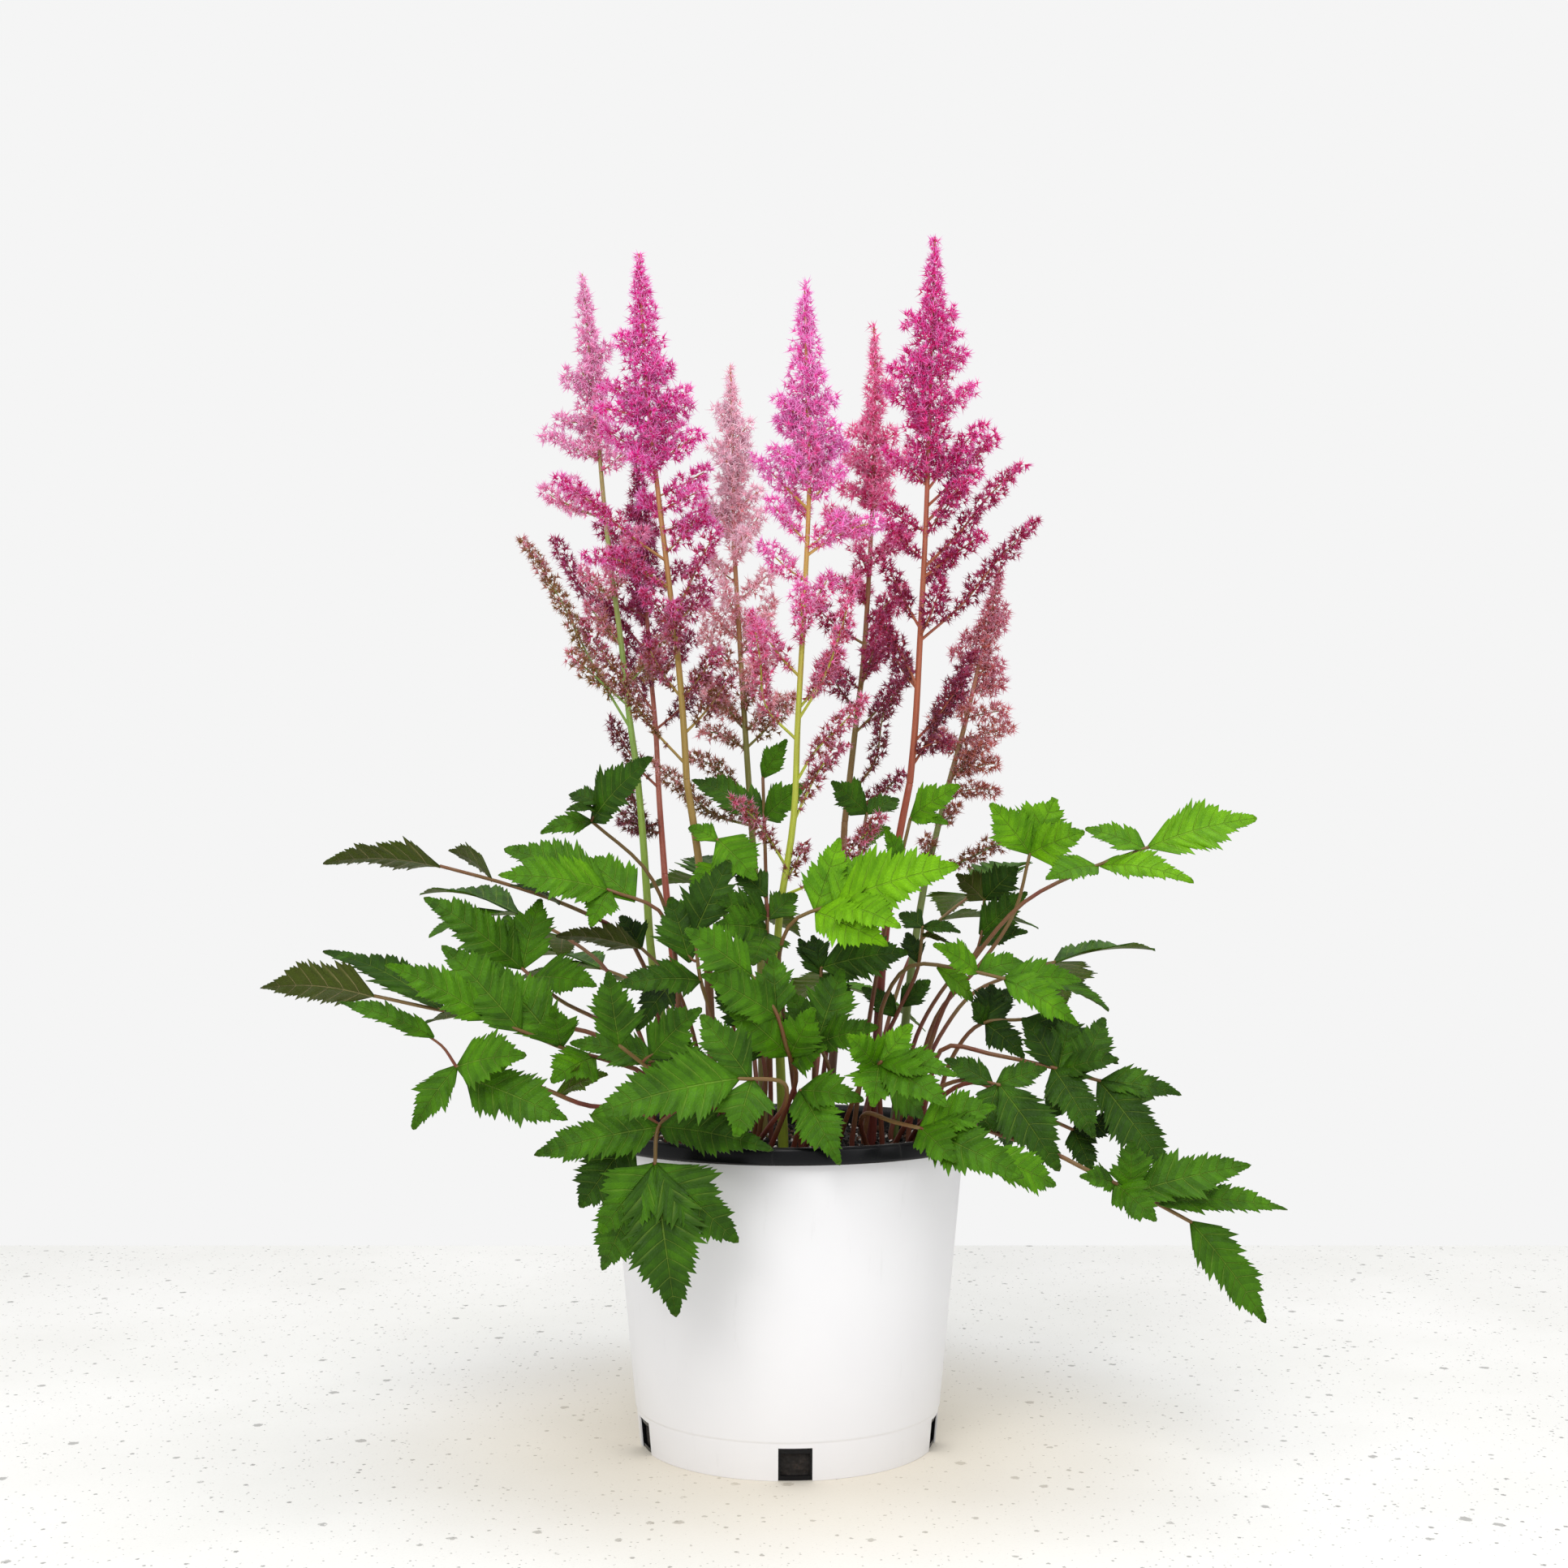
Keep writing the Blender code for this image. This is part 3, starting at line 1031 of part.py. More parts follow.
def turned(name, profile, sides):
    """A closed solid turned round the pot's axis from an outline of (radius, height) points."""
    verts, faces, rows = [], [], []
    for radius, z in profile:
        if radius == 0.0:
            rows.append([len(verts)])
            verts.append(Vector((0, 0, z)))
        else:
            rows.append(list(range(len(verts), len(verts) + sides)))
            for k in range(sides):
                a = 2 * math.pi * k / sides
                verts.append(Vector((radius * math.cos(a), radius * math.sin(a), z)))
    for low, high in zip(rows, rows[1:] + rows[:1]):
        if len(low) == 1 and len(high) == 1:
            continue
        for k in range(sides):
            nxt = (k + 1) % sides
            if len(low) == 1:
                faces.append((low[0], high[nxt], high[k]))
            elif len(high) == 1:
                faces.append((low[k], low[nxt], high[0]))
            else:
                faces.append((low[k], low[nxt], high[nxt], high[k]))
    return solid_mesh(name, verts, faces)


def box(low, high, turn):
    """A box from its corners, turned about the pot's axis."""
    corners = [(x, y, z) for x in (low[0], high[0]) for y in (low[1], high[1]) for z in (low[2], high[2])]
    cos_t, sin_t = math.cos(turn), math.sin(turn)
    verts = [Vector((x * cos_t - y * sin_t, x * sin_t + y * cos_t, z)) for x, y, z in corners]
    faces = [(0, 1, 3, 2), (4, 6, 7, 5), (0, 4, 5, 1), (2, 3, 7, 6), (0, 2, 6, 4), (1, 5, 7, 3)]
    return verts, faces


def cut(mesh, cutters):
    """A mesh with the cutters' space taken out of it."""
    body = bpy.data.objects.new("body", mesh)
    bpy.context.scene.collection.objects.link(body)
    group = bpy.data.collections.new("cutters")
    bpy.context.scene.collection.children.link(group)
    for verts, faces in cutters:
        cutter = bpy.data.objects.new("cutter", solid_mesh("cutter", verts, faces))
        cutter.hide_render = True
        cutter.display_type = "WIRE"
        group.objects.link(cutter)
    taken = body.modifiers.new("cut", "BOOLEAN")
    taken.operation = "DIFFERENCE"
    taken.operand_type = "COLLECTION"
    taken.collection = group
    taken.solver = "EXACT"
    result = evaluated(body)
    for cutter in list(group.objects):
        bpy.data.objects.remove(cutter)
    bpy.data.collections.remove(group)
    bpy.data.objects.remove(body)
    return result


def notches(width, low, high):
    """The drain notches' cutters, round the pot's foot."""
    front = -math.pi / 2 + NOTCH_TURN
    turns = [front + 2 * math.pi * k / NOTCH_COUNT for k in range(NOTCH_COUNT)]
    return [box((NOTCH_FROM, -width / 2, low), (NOTCH_TO, width / 2, high), turn) for turn in turns]


def make_skin():
    """The white outer skin, with a faint step near its foot and the drain notches."""
    top = POT_HEIGHT - RIM_BAND - GAP
    profile = [(FOOT_RADIUS - OUTER_WALL, 0.0), (FOOT_RADIUS - STEP_DEPTH, 0.0),
               (wall_radius(STEP_HEIGHT) - STEP_DEPTH, STEP_HEIGHT),
               (wall_radius(STEP_HEIGHT), STEP_HEIGHT + STEP_RISE),
               (wall_radius(top), top), (wall_radius(top) - OUTER_WALL, top)]
    mesh = cut(turned("pot_skin", profile, POT_SIDES), notches(NOTCH_WIDTH, -CUT_PAST, NOTCH_HEIGHT))
    return finish("pot_skin", mesh, POT_WHITE)


def liner_radius(z):
    """The black liner's outer radius at a height."""
    return wall_radius(z) - OUTER_WALL - GAP


def make_liner():
    """The black liner: a flat floor, the wall inside the skin, and the glossy rim band that laps over it."""
    under = POT_HEIGHT - RIM_BAND
    profile = [(0.0, 0.0), (liner_radius(0.0), 0.0), (liner_radius(under), under),
               (RIM_RADIUS - RIM_EDGE_IN, under), (RIM_RADIUS, under + RIM_LIP),
               (RIM_RADIUS - RIM_TOP_IN, POT_HEIGHT), (RIM_RADIUS - RIM_WIDTH, POT_HEIGHT),
               (liner_radius(under) - LINER_WALL, POT_HEIGHT - RIM_DIP),
               (liner_radius(0.0) - LINER_WALL, FLOOR_THICKNESS), (0.0, FLOOR_THICKNESS)]
    slots = notches(LINER_SLOT_WIDTH, FLOOR_THICKNESS + SLOT_ABOVE_FLOOR, LINER_SLOT_HEIGHT)
    mesh = cut(turned("pot_liner", profile, POT_SIDES), slots)
    return finish("pot_liner", mesh, POT_BLACK)


def hole(foot, radius):
    """The cutter of a plain hole round a stem's foot."""
    reach = (radius + GAP) / math.cos(math.pi / HOLE_SIDES)
    verts = []
    for z in (SOIL_TOP - HOLE_DEPTH, SOIL_TOP + HOLE_DEPTH):
        for k in range(HOLE_SIDES):
            turn = 2 * math.pi * k / HOLE_SIDES
            out = Vector((math.cos(turn), math.sin(turn), 0)) * reach
            verts.append(Vector((foot[0] * MM, foot[1] * MM, z)) + out)
    ring = range(HOLE_SIDES)
    walls = [(k, (k + 1) % HOLE_SIDES, (k + 1) % HOLE_SIDES + HOLE_SIDES, k + HOLE_SIDES) for k in ring]
    return verts, walls + [tuple(ring)[::-1], tuple(k + HOLE_SIDES for k in ring)]


def make_soil(feet):
    """The soil, uneven on top, with a plain hole for each stem."""
    edge = math.cos(math.pi / SOIL_SIDES)
    top_radius = (liner_radius(SOIL_TOP) - LINER_WALL) * edge - GAP
    low_radius = (liner_radius(FLOOR_THICKNESS) - LINER_WALL) * edge - GAP
    profile = [(0.0, FLOOR_THICKNESS + GAP), (low_radius, FLOOR_THICKNESS + GAP),
               (top_radius, SOIL_TOP - SOIL_EDGE_DROP), (top_radius * SOIL_FLAT, SOIL_TOP), (0.0, SOIL_TOP)]
    holes = [hole(foot, radius) for foot, radius in feet]
    mesh = cut(turned("soil", profile, SOIL_SIDES), holes)
    return finish("soil", mesh, SOIL_BROWN)


def clear_scene():
    """Remove what the file starts with."""
    for thing in list(bpy.data.objects):
        bpy.data.objects.remove(thing)


def make_flowers(name, stalk, axis, branches):
    """A flower head: its slim axis, the candle at its top and the side branches."""
    radii = taper(AXIS_RADIUS, STALK_TIP_RADIUS, len(axis))
    core = slice(0, len(axis) - CORE_STEP, CORE_STEP)
    pieces = [tube(axis[core], radii[core], CORE_SIDES), candle_piece(stalk, axis)]
    pieces += [branch_piece(*branch) for branch in branches]
    look = (stalk["petals"], PETAL_ROUGHNESS)
    finish("flowers_" + name, fuse("flowers_" + name, pieces), look, FLOWER_SMOOTH)


def make_stem(name, stalk, stem):
    """A stalk's stem, from its hole in the soil up to its flowers."""
    radii = taper(STALK_RADIUS, AXIS_RADIUS, len(stem))
    verts, faces = tube(stem, radii, STALK_SIDES)
    look = STEM_GREEN if stalk["green"] else STEM_RED
    finish("stalk_" + name, solid_mesh("stalk_" + name, verts, faces), look)


def main():
    """Lay out the whole plant, then build each piece."""
    clear_scene()
    stems, axes, leaves, branches, feet = lay_out()
    make_skin()
    make_liner()
    make_soil(feet)
    for name, stalk in STALKS.items():
        make_stem(name, stalk, stems[name])
        make_flowers(name, stalk, axes[name], branches[name])
    for node, (path, radii, blades) in leaves.items():
        finish(node, fuse(node, leaf_pieces(path, radii, blades)), LEAF_GREEN)


main()
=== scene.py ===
"""The looks of the potted astilbe: fine leaves, florets, stems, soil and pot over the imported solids."""

import json
import math
import random

import bpy
import numpy as np
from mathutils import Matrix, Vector
from mathutils.bvhtree import BVHTree

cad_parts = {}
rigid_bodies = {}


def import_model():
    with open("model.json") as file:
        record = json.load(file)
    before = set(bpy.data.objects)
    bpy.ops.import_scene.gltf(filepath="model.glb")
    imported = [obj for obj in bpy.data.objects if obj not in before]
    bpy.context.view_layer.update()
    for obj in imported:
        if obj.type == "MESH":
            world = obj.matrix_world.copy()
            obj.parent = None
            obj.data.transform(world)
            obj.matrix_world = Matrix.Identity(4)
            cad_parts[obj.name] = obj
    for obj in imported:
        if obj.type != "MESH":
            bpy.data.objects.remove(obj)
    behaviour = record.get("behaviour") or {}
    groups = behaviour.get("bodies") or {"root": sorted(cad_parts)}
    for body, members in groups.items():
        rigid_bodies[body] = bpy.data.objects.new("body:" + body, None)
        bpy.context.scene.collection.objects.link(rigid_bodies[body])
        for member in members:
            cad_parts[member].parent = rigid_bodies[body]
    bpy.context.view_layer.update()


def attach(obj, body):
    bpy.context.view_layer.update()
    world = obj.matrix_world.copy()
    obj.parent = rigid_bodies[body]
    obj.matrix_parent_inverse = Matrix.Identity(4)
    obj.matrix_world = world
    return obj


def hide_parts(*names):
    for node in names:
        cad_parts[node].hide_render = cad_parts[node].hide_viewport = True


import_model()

# Pot
POT_HEIGHT = 0.1464
RIM_RADIUS = 0.0890
RIM_BAND = 0.0076
FOOT_RADIUS = 0.0702
SHOULDER_RADIUS = 0.0838
STEP_HEIGHT = 0.0165
STEP_DEPTH = 0.0005
STEP_RISE = 0.0008
OUTER_WALL = 0.0012
LINER_WALL = 0.0011
FLOOR_THICKNESS = 0.0015
RIM_EDGE_IN = 0.0006
RIM_LIP = 0.0009
RIM_TOP_IN = 0.0005
RIM_WIDTH = 0.0042
RIM_DIP = 0.0022
NOTCH_COUNT = 5
NOTCH_WIDTH = 0.0150
NOTCH_HEIGHT = 0.0145
NOTCH_FROM = 0.060
NOTCH_TO = 0.090
CUT_PAST = 0.001
NOTCH_TURN = math.radians(2.6)
LINER_SLOT_WIDTH = 0.0130
LINER_SLOT_HEIGHT = 0.0120
SLOT_ABOVE_FLOOR = 0.0006
GAP = 0.0003

# Soil
SOIL_TOP = 0.1370
HOLE_DEPTH = 0.0120
STEM_CLEAR = 0.004

# Where the photograph was taken from, for the points that are read off it
EYE = Vector((-0.00176, -0.900, 0.254))
EYE_PITCH = math.radians(3.5)
FOCAL_PX = 2298.0
CENTRE_PX = 966.0

# Flower stalks
STALK_SIDES = 5
STALK_RADIUS = 0.0024
STALK_TIP_RADIUS = 0.0011
AXIS_RADIUS = 0.00165
AXIS_POINTS = 30
STEM_POINTS = 7
LAST_PLACE = 0.9999
CANDLE_SIDES = 6
CANDLE_FOOT = 0.5
CANDLE_TOP = 0.2
BRANCH_SIDES = 3
LONG_RINGS = 4
SHORT_RINGS = 3
BRANCH_POINTS = 13
BRANCH_RADIUS = 0.0062
SPRAY_RADIUS = 0.0058
SHORTEST_BRANCH = 0.006
BRANCH_PROFILE = (0.18, 0.3, 1.0, 0.92, 0.5)
BRANCH_SWELL = 0.22
BRANCH_FULL_TO = 0.8
THICK_LOW = 1.15
THICK_TOP = 0.9
BARE_SHORT = 0.1
BARE_LONG = 0.22
BRANCH_LIFT_LOW = 52.0
BRANCH_LIFT_TOP = 26.0
BRANCH_SAG = 0.06
PLUME_TAPER = 0.62
RING_START = 0.35
REACH_VARIES = (0.85, 1.1)
LIFT_VARIES = 6.0
TURN_VARIES = 0.3
LONG_SPRAY = 0.034
LEAN_TRIES = (0, -10, 10, -20, 20)
SPRAY_SHARES = (1.0, 0.8)
SPRAY_LAST_SHARE = 0.55
RING_SHARES = (1.0, 0.85, 0.7, 0.55, 0.42)
CUT_KNOTS = 4
BRANCHED = 0.80
CANDLE_SHARE = 0.62
SPIKE_IN = 0.42
SPIKE_LIFT = 0.35
BRUSH_START = 0.0008
BRUSH_END = 0.0025
BRANCH_TURN = math.radians(137.5)
HEAD_CLEAR = 0.0012
CLEAR_FROM = 0.12

# Leaves
LAYOUT_SEED = 11
PETIOLE_SIDES = 3
PETIOLE_RADIUS = 0.0013
PETIOLE_TIP_RADIUS = 0.0008
BLADE_THICKNESS = 0.0012
BLADE_ARCH = 0.07
BLADE_FOLD = 0.18
WIDEST_POWER = 0.72
FULLNESS = 0.85
TOOTH_AT = 0.72
TOOTH_BACK = 0.45
TOOTH_SHARE = 0.9
TOOTH_OUT = 0.12
VALLEY = 0.84
BLADE_MARGIN = 0.0007
GROWN_WIDER = 80.0
SNAP = 0.0030
INTO_STALK = 0.0002
LONG_LEAFLET = 0.060
SMALL_LEAFLET = 0.028
BETTER_BY = 0.15
# How far a leaf is moved along the line of sight, and its tips and their tilt, until it is clear
DEPTH_TRIES = (0, -5, 5, -10, 10, -16, 16, -24, 24)
TIP_TRIES = ((0, 0), (-8, 0), (8, 0), (0, 14), (0, -14), (-16, 0), (16, 0), (-14, 16), (14, -16),
             (-26, 0), (26, 0))
MM = 0.001
BEND_STEPS = 12

# How bright each leaf is, from 0, deep green, to 1, yellow green: partly the leaf's own green, partly painted
# shade, as leaves deep inside the foliage are given dark tones for the shade they sit in
TONES = {
    "left_top": 0.18, "left_bright": 0.50, "left_mid": 0.42, "left_low": 0.20, "left_low_front": 0.50,
    "left_curled": 0.50, "left_on_stalk": 0.36, "left_grey": 0.44, "left_inner": 0.30, "centre_left": 0.46,
    "centre_right": 0.46, "front_long": 0.46, "front_centre": 0.48, "right_front": 0.55, "right_rim": 0.52,
    "centre_bright": 0.80, "centre_back": 0.34, "centre_young": 0.66, "top_back": 0.40,
    "top_right_back": 0.40,
    "right_small": 0.56, "right_maple": 0.80, "right_long": 0.74, "right_dark": 0.22, "right_bright": 0.62,
    "right_mass": 0.24, "right_mass_back": 0.20, "right_mass_front": 0.26, "right_lowest": 0.46,
    "front_hanging": 0.36, "left_shade": 0.10, "centre_shade": 0.16, "centre_dark": 0.20, "right_inner": 0.18,
    "right_low_back": 0.14,
}


def seen(px, py, depth_mm):
    """The point that the photograph shows at a pixel, this many millimetres behind the pot's axis."""
    cos_p, sin_p = math.cos(EYE_PITCH), math.sin(EYE_PITCH)
    across = (px - CENTRE_PX) / FOCAL_PX
    rise = (CENTRE_PX - py) / FOCAL_PX
    ray = Vector((across, cos_p - rise * sin_p, sin_p + rise * cos_p))
    return EYE + ray * ((depth_mm * MM - EYE.y) / ray.y)

# Each stalk: its foot on the soil (mm), then pixels with depths (mm) up to its lowest spray, then the
# flower axis up to its tip, the share of the axis below the plume, the longest side branch (mm), how many
# side branches stand round it, the candle's width (mm), and whether its stalk is green.
# Its sprays are the side branches that the photograph shows: how far back the tip leans (mm), then pixels
STALKS = {
    "far_left": dict(
        foot=(-50, 26), stem=[(806, 1200, 30), (794, 1050, 38)], bare=0.14,
        axis=[(785, 950, 42), (775, 880, 44), (766, 798, 45), (748, 658, 46), (735, 520, 46),
              (717, 338, 46)],
        reach=30, branches=8, candle=8.0, green=True,
        sprays=[(-8, (740, 568), (700, 548), (667, 534)), (4, (731, 523), (705, 520), (685, 517)),
                (-6, (735, 492), (712, 475), (692, 458)), (6, (728, 455), (742, 436), (752, 426)),
                (10, (746, 640), (700, 622), (666, 602)),
                (12, (776, 900), (740, 838), (697, 750), (642, 662)),
                (-10, (772, 870), (735, 835), (700, 803)), (8, (757, 740), (735, 722), (716, 700))]),
    "left": dict(
        foot=(-34, -14), stem=[(872, 1180, -14), (863, 1074, -15)], bare=0.06,
        axis=[(846, 960, -15), (842, 890, -15), (834, 800, -15), (810, 600, -15), (797, 480, -15),
              (787, 313, -15)],
        reach=34, branches=11, candle=10.5, green=False,
        sprays=[(-6, (795, 440), (776, 428), (761, 412)), (6, (798, 495), (766, 480), (740, 480)),
                (-10, (800, 522), (768, 508), (736, 503)), (8, (803, 562), (770, 545), (740, 525)),
                (-10, (814, 692), (770, 655), (725, 616), (683, 588)),
                (6, (797, 472), (812, 462), (827, 450)), (-6, (800, 508), (828, 492), (848, 478)),
                (10, (803, 535), (830, 512), (852, 494)), (-4, (806, 577), (835, 552), (864, 533)),
                (10, (810, 612), (845, 595), (876, 577)), (-12, (812, 630), (842, 615), (868, 602)),
                (4, (815, 655), (850, 645), (880, 642)),
                (-14, (843, 942), (803, 897), (760, 830), (717, 767)),
                (-14, (823, 724), (770, 692), (718, 686)),
                (-8, (828, 762), (850, 720), (868, 680), (886, 650)),
                (6, (838, 862), (862, 835), (885, 800)), (-10, (832, 790), (812, 750), (790, 728))]),
    "left_back": dict(
        foot=(-44, 10), stem=[(832, 1200, 26)], bare=0.34,
        axis=[(819, 1078, 50), (812, 980, 70), (808, 900, 80), (801, 820, 86), (796, 740, 90),
              (790, 640, 92), (782, 560, 92)],
        reach=38, branches=13, candle=7.5, green=False,
        sprays=[(-16, (799, 808), (763, 763), (713, 717), (682, 662)),
                (-12, (811, 985), (790, 950), (751, 885)), (-18, (817, 1060), (795, 1020), (777, 978)),
                (-24, (814, 1040), (785, 1020), (766, 1003)), (10, (798, 700), (765, 672), (735, 645)),
                (-6, (797, 760), (765, 745), (735, 745))]),
    "middle_left": dict(
        foot=(-12, 32), stem=[(938, 1200, 38), (932, 1100, 41)], bare=0.17,
        axis=[(927, 1030, 43), (920, 927, 45), (912, 800, 46), (904, 657, 47), (903, 560, 47),
              (900, 450, 47)],
        reach=31, branches=17, candle=8.0, green=True,
        sprays=[(4, (903, 532), (892, 515), (881, 503)), (-6, (904, 582), (890, 565), (877, 550)),
                (-8, (904, 645), (880, 628), (858, 612)), (-4, (903, 547), (915, 532), (926, 521)),
                (6, (904, 592), (918, 576), (930, 563)), (-6, (906, 685), (925, 652), (942, 627)),
                (-10, (918, 893), (890, 870), (865, 852)), (-12, (920, 903), (940, 880), (958, 856)),
                (6, (921, 925), (890, 905), (862, 902)),
                (-16, (926, 1018), (887, 1008), (848, 975), (803, 938)),
                (-20, (925, 990), (880, 945), (849, 932)), (-20, (926, 1005), (905, 1000), (893, 985)),
                (-8, (911, 790), (885, 765), (862, 740)), (8, (912, 800), (935, 770), (955, 735))]),
    "middle": dict(
        foot=(-2, -28), stem=[(958, 1190, -30)], bare=0.29,
        axis=[(962, 1112, -30), (978, 1007, -30), (983, 890, -30), (990, 760, -30), (997, 600, -30),
              (994, 480, -30), (992, 348, -30)],
        reach=31, branches=11, candle=9.5, green=True,
        sprays=[(-6, (995, 522), (975, 505), (957, 488)), (8, (996, 548), (975, 530), (955, 516)),
                (-8, (996, 583), (972, 567), (951, 551)), (4, (996, 628), (960, 592), (933, 563)),
                (-10, (996, 670), (970, 642), (946, 615)), (4, (995, 512), (1012, 498), (1027, 487)),
                (-4, (996, 548), (1015, 533), (1032, 521)), (8, (996, 583), (1020, 561), (1042, 546)),
                (-6, (997, 618), (1020, 596), (1041, 575)), (-8, (996, 685), (1040, 655), (1090, 641)),
                (-12, (983, 888), (1013, 840), (1035, 780), (1053, 712)),
                (-14, (980, 912), (947, 880), (938, 820), (926, 752)),
                (-16, (980, 965), (1005, 925), (1040, 890), (1068, 858)),
                (12, (976, 1015), (1010, 948), (1040, 917)), (-16, (966, 1068), (933, 1012), (902, 985)),
                (-14, (963, 1105), (1023, 1075), (1055, 1040), (1088, 1003)),
                (4, (965, 1088), (980, 1065), (992, 1039))]),
    "middle_right": dict(
        foot=(20, 40), stem=[(1036, 1180, 48), (1038, 1080, 50)], bare=0.16,
        axis=[(1041, 1012, 51), (1055, 889, 52), (1065, 800, 53), (1074, 640, 54), (1078, 500, 54),
              (1077, 402, 54)],
        reach=34, branches=15, candle=7.5, green=False,
        sprays=[(-8, (1077, 545), (1060, 532), (1046, 534)), (8, (1075, 625), (1050, 606), (1032, 594)),
                (-8, (1073, 665), (1040, 645), (1015, 627)), (6, (1076, 590), (1056, 574), (1041, 562)),
                (4, (1078, 492), (1090, 478), (1098, 470)), (-6, (1077, 595), (1100, 572), (1120, 556)),
                (-10, (1072, 700), (1095, 672), (1115, 655)), (-10, (1070, 748), (1045, 722), (1022, 716)),
                (6, (1068, 780), (1095, 752), (1115, 742)), (-8, (1060, 850), (1038, 832), (1022, 815)),
                (-20, (1047, 985), (1075, 950), (1088, 880), (1126, 824)),
                (-12, (1043, 1005), (1080, 980), (1115, 953)), (6, (1064, 840), (1085, 805), (1103, 790))]),
    "right": dict(
        foot=(40, -2), stem=[(1088, 1180, -4), (1105, 1050, -6)], bare=0.04,
        axis=[(1121, 965, -8), (1128, 890, -9), (1134, 780, -10), (1141, 640, -10), (1146, 480, -10),
              (1152, 292, -10)],
        reach=36, branches=8, candle=10.0, green=False,
        sprays=[(-6, (1149, 410), (1132, 398), (1115, 391)), (6, (1148, 460), (1130, 447), (1113, 438)),
                (-6, (1147, 478), (1120, 463), (1095, 450)), (4, (1146, 515), (1115, 492), (1091, 477)),
                (-4, (1144, 600), (1115, 572), (1090, 556)), (4, (1149, 402), (1163, 391), (1176, 383)),
                (-6, (1149, 430), (1165, 416), (1178, 406)), (8, (1148, 465), (1170, 449), (1192, 433)),
                (-4, (1146, 512), (1172, 497), (1201, 473)), (-8, (1143, 605), (1175, 562), (1212, 521)),
                (8, (1142, 625), (1185, 583), (1228, 533)), (-14, (1142, 645), (1175, 608), (1205, 581)),
                (0, (1141, 660), (1165, 626), (1191, 599)),
                (6, (1140, 700), (1165, 680), (1205, 625), (1262, 571)),
                (-10, (1141, 712), (1180, 680), (1212, 657)),
                (-6, (1134, 790), (1171, 761), (1206, 719), (1245, 672), (1279, 640)),
                (10, (1126, 946), (1151, 902), (1175, 850), (1201, 801)),
                (-8, (1127, 930), (1150, 915), (1172, 918)), (10, (1134, 775), (1116, 743), (1090, 690)),
                (-8, (1130, 848), (1113, 809), (1082, 758)), (-10, (1140, 690), (1110, 665), (1092, 640))]),
    "far_right": dict(
        foot=(52, 20), stem=[(1125, 1180, 26)], bare=0.26,
        axis=[(1142, 1075, 29), (1168, 970, 32), (1186, 904, 34), (1206, 820, 35), (1222, 750, 36),
              (1232, 700, 36)],
        reach=20, branches=6, candle=6.5, green=True,
        sprays=[(4, (1220, 768), (1232, 758), (1242, 754)), (-6, (1208, 832), (1222, 822), (1236, 819)),
                (6, (1203, 855), (1220, 848), (1238, 843)), (-4, (1195, 886), (1220, 878), (1242, 875)),
                (4, (1190, 915), (1220, 902), (1248, 897)), (-6, (1184, 935), (1205, 922), (1222, 917)),
                (6, (1178, 955), (1205, 944), (1232, 940)), (-4, (1172, 985), (1200, 972), (1232, 975)),
                (4, (1218, 786), (1200, 786), (1185, 788)), (4, (1183, 932), (1175, 922), (1166, 918)),
                (-10, (1150, 1062), (1145, 1045), (1139, 1032)),
                (-12, (1144, 1072), (1195, 1058), (1255, 1020)),
                (-4, (1158, 1020), (1172, 1005), (1180, 990))]),
}
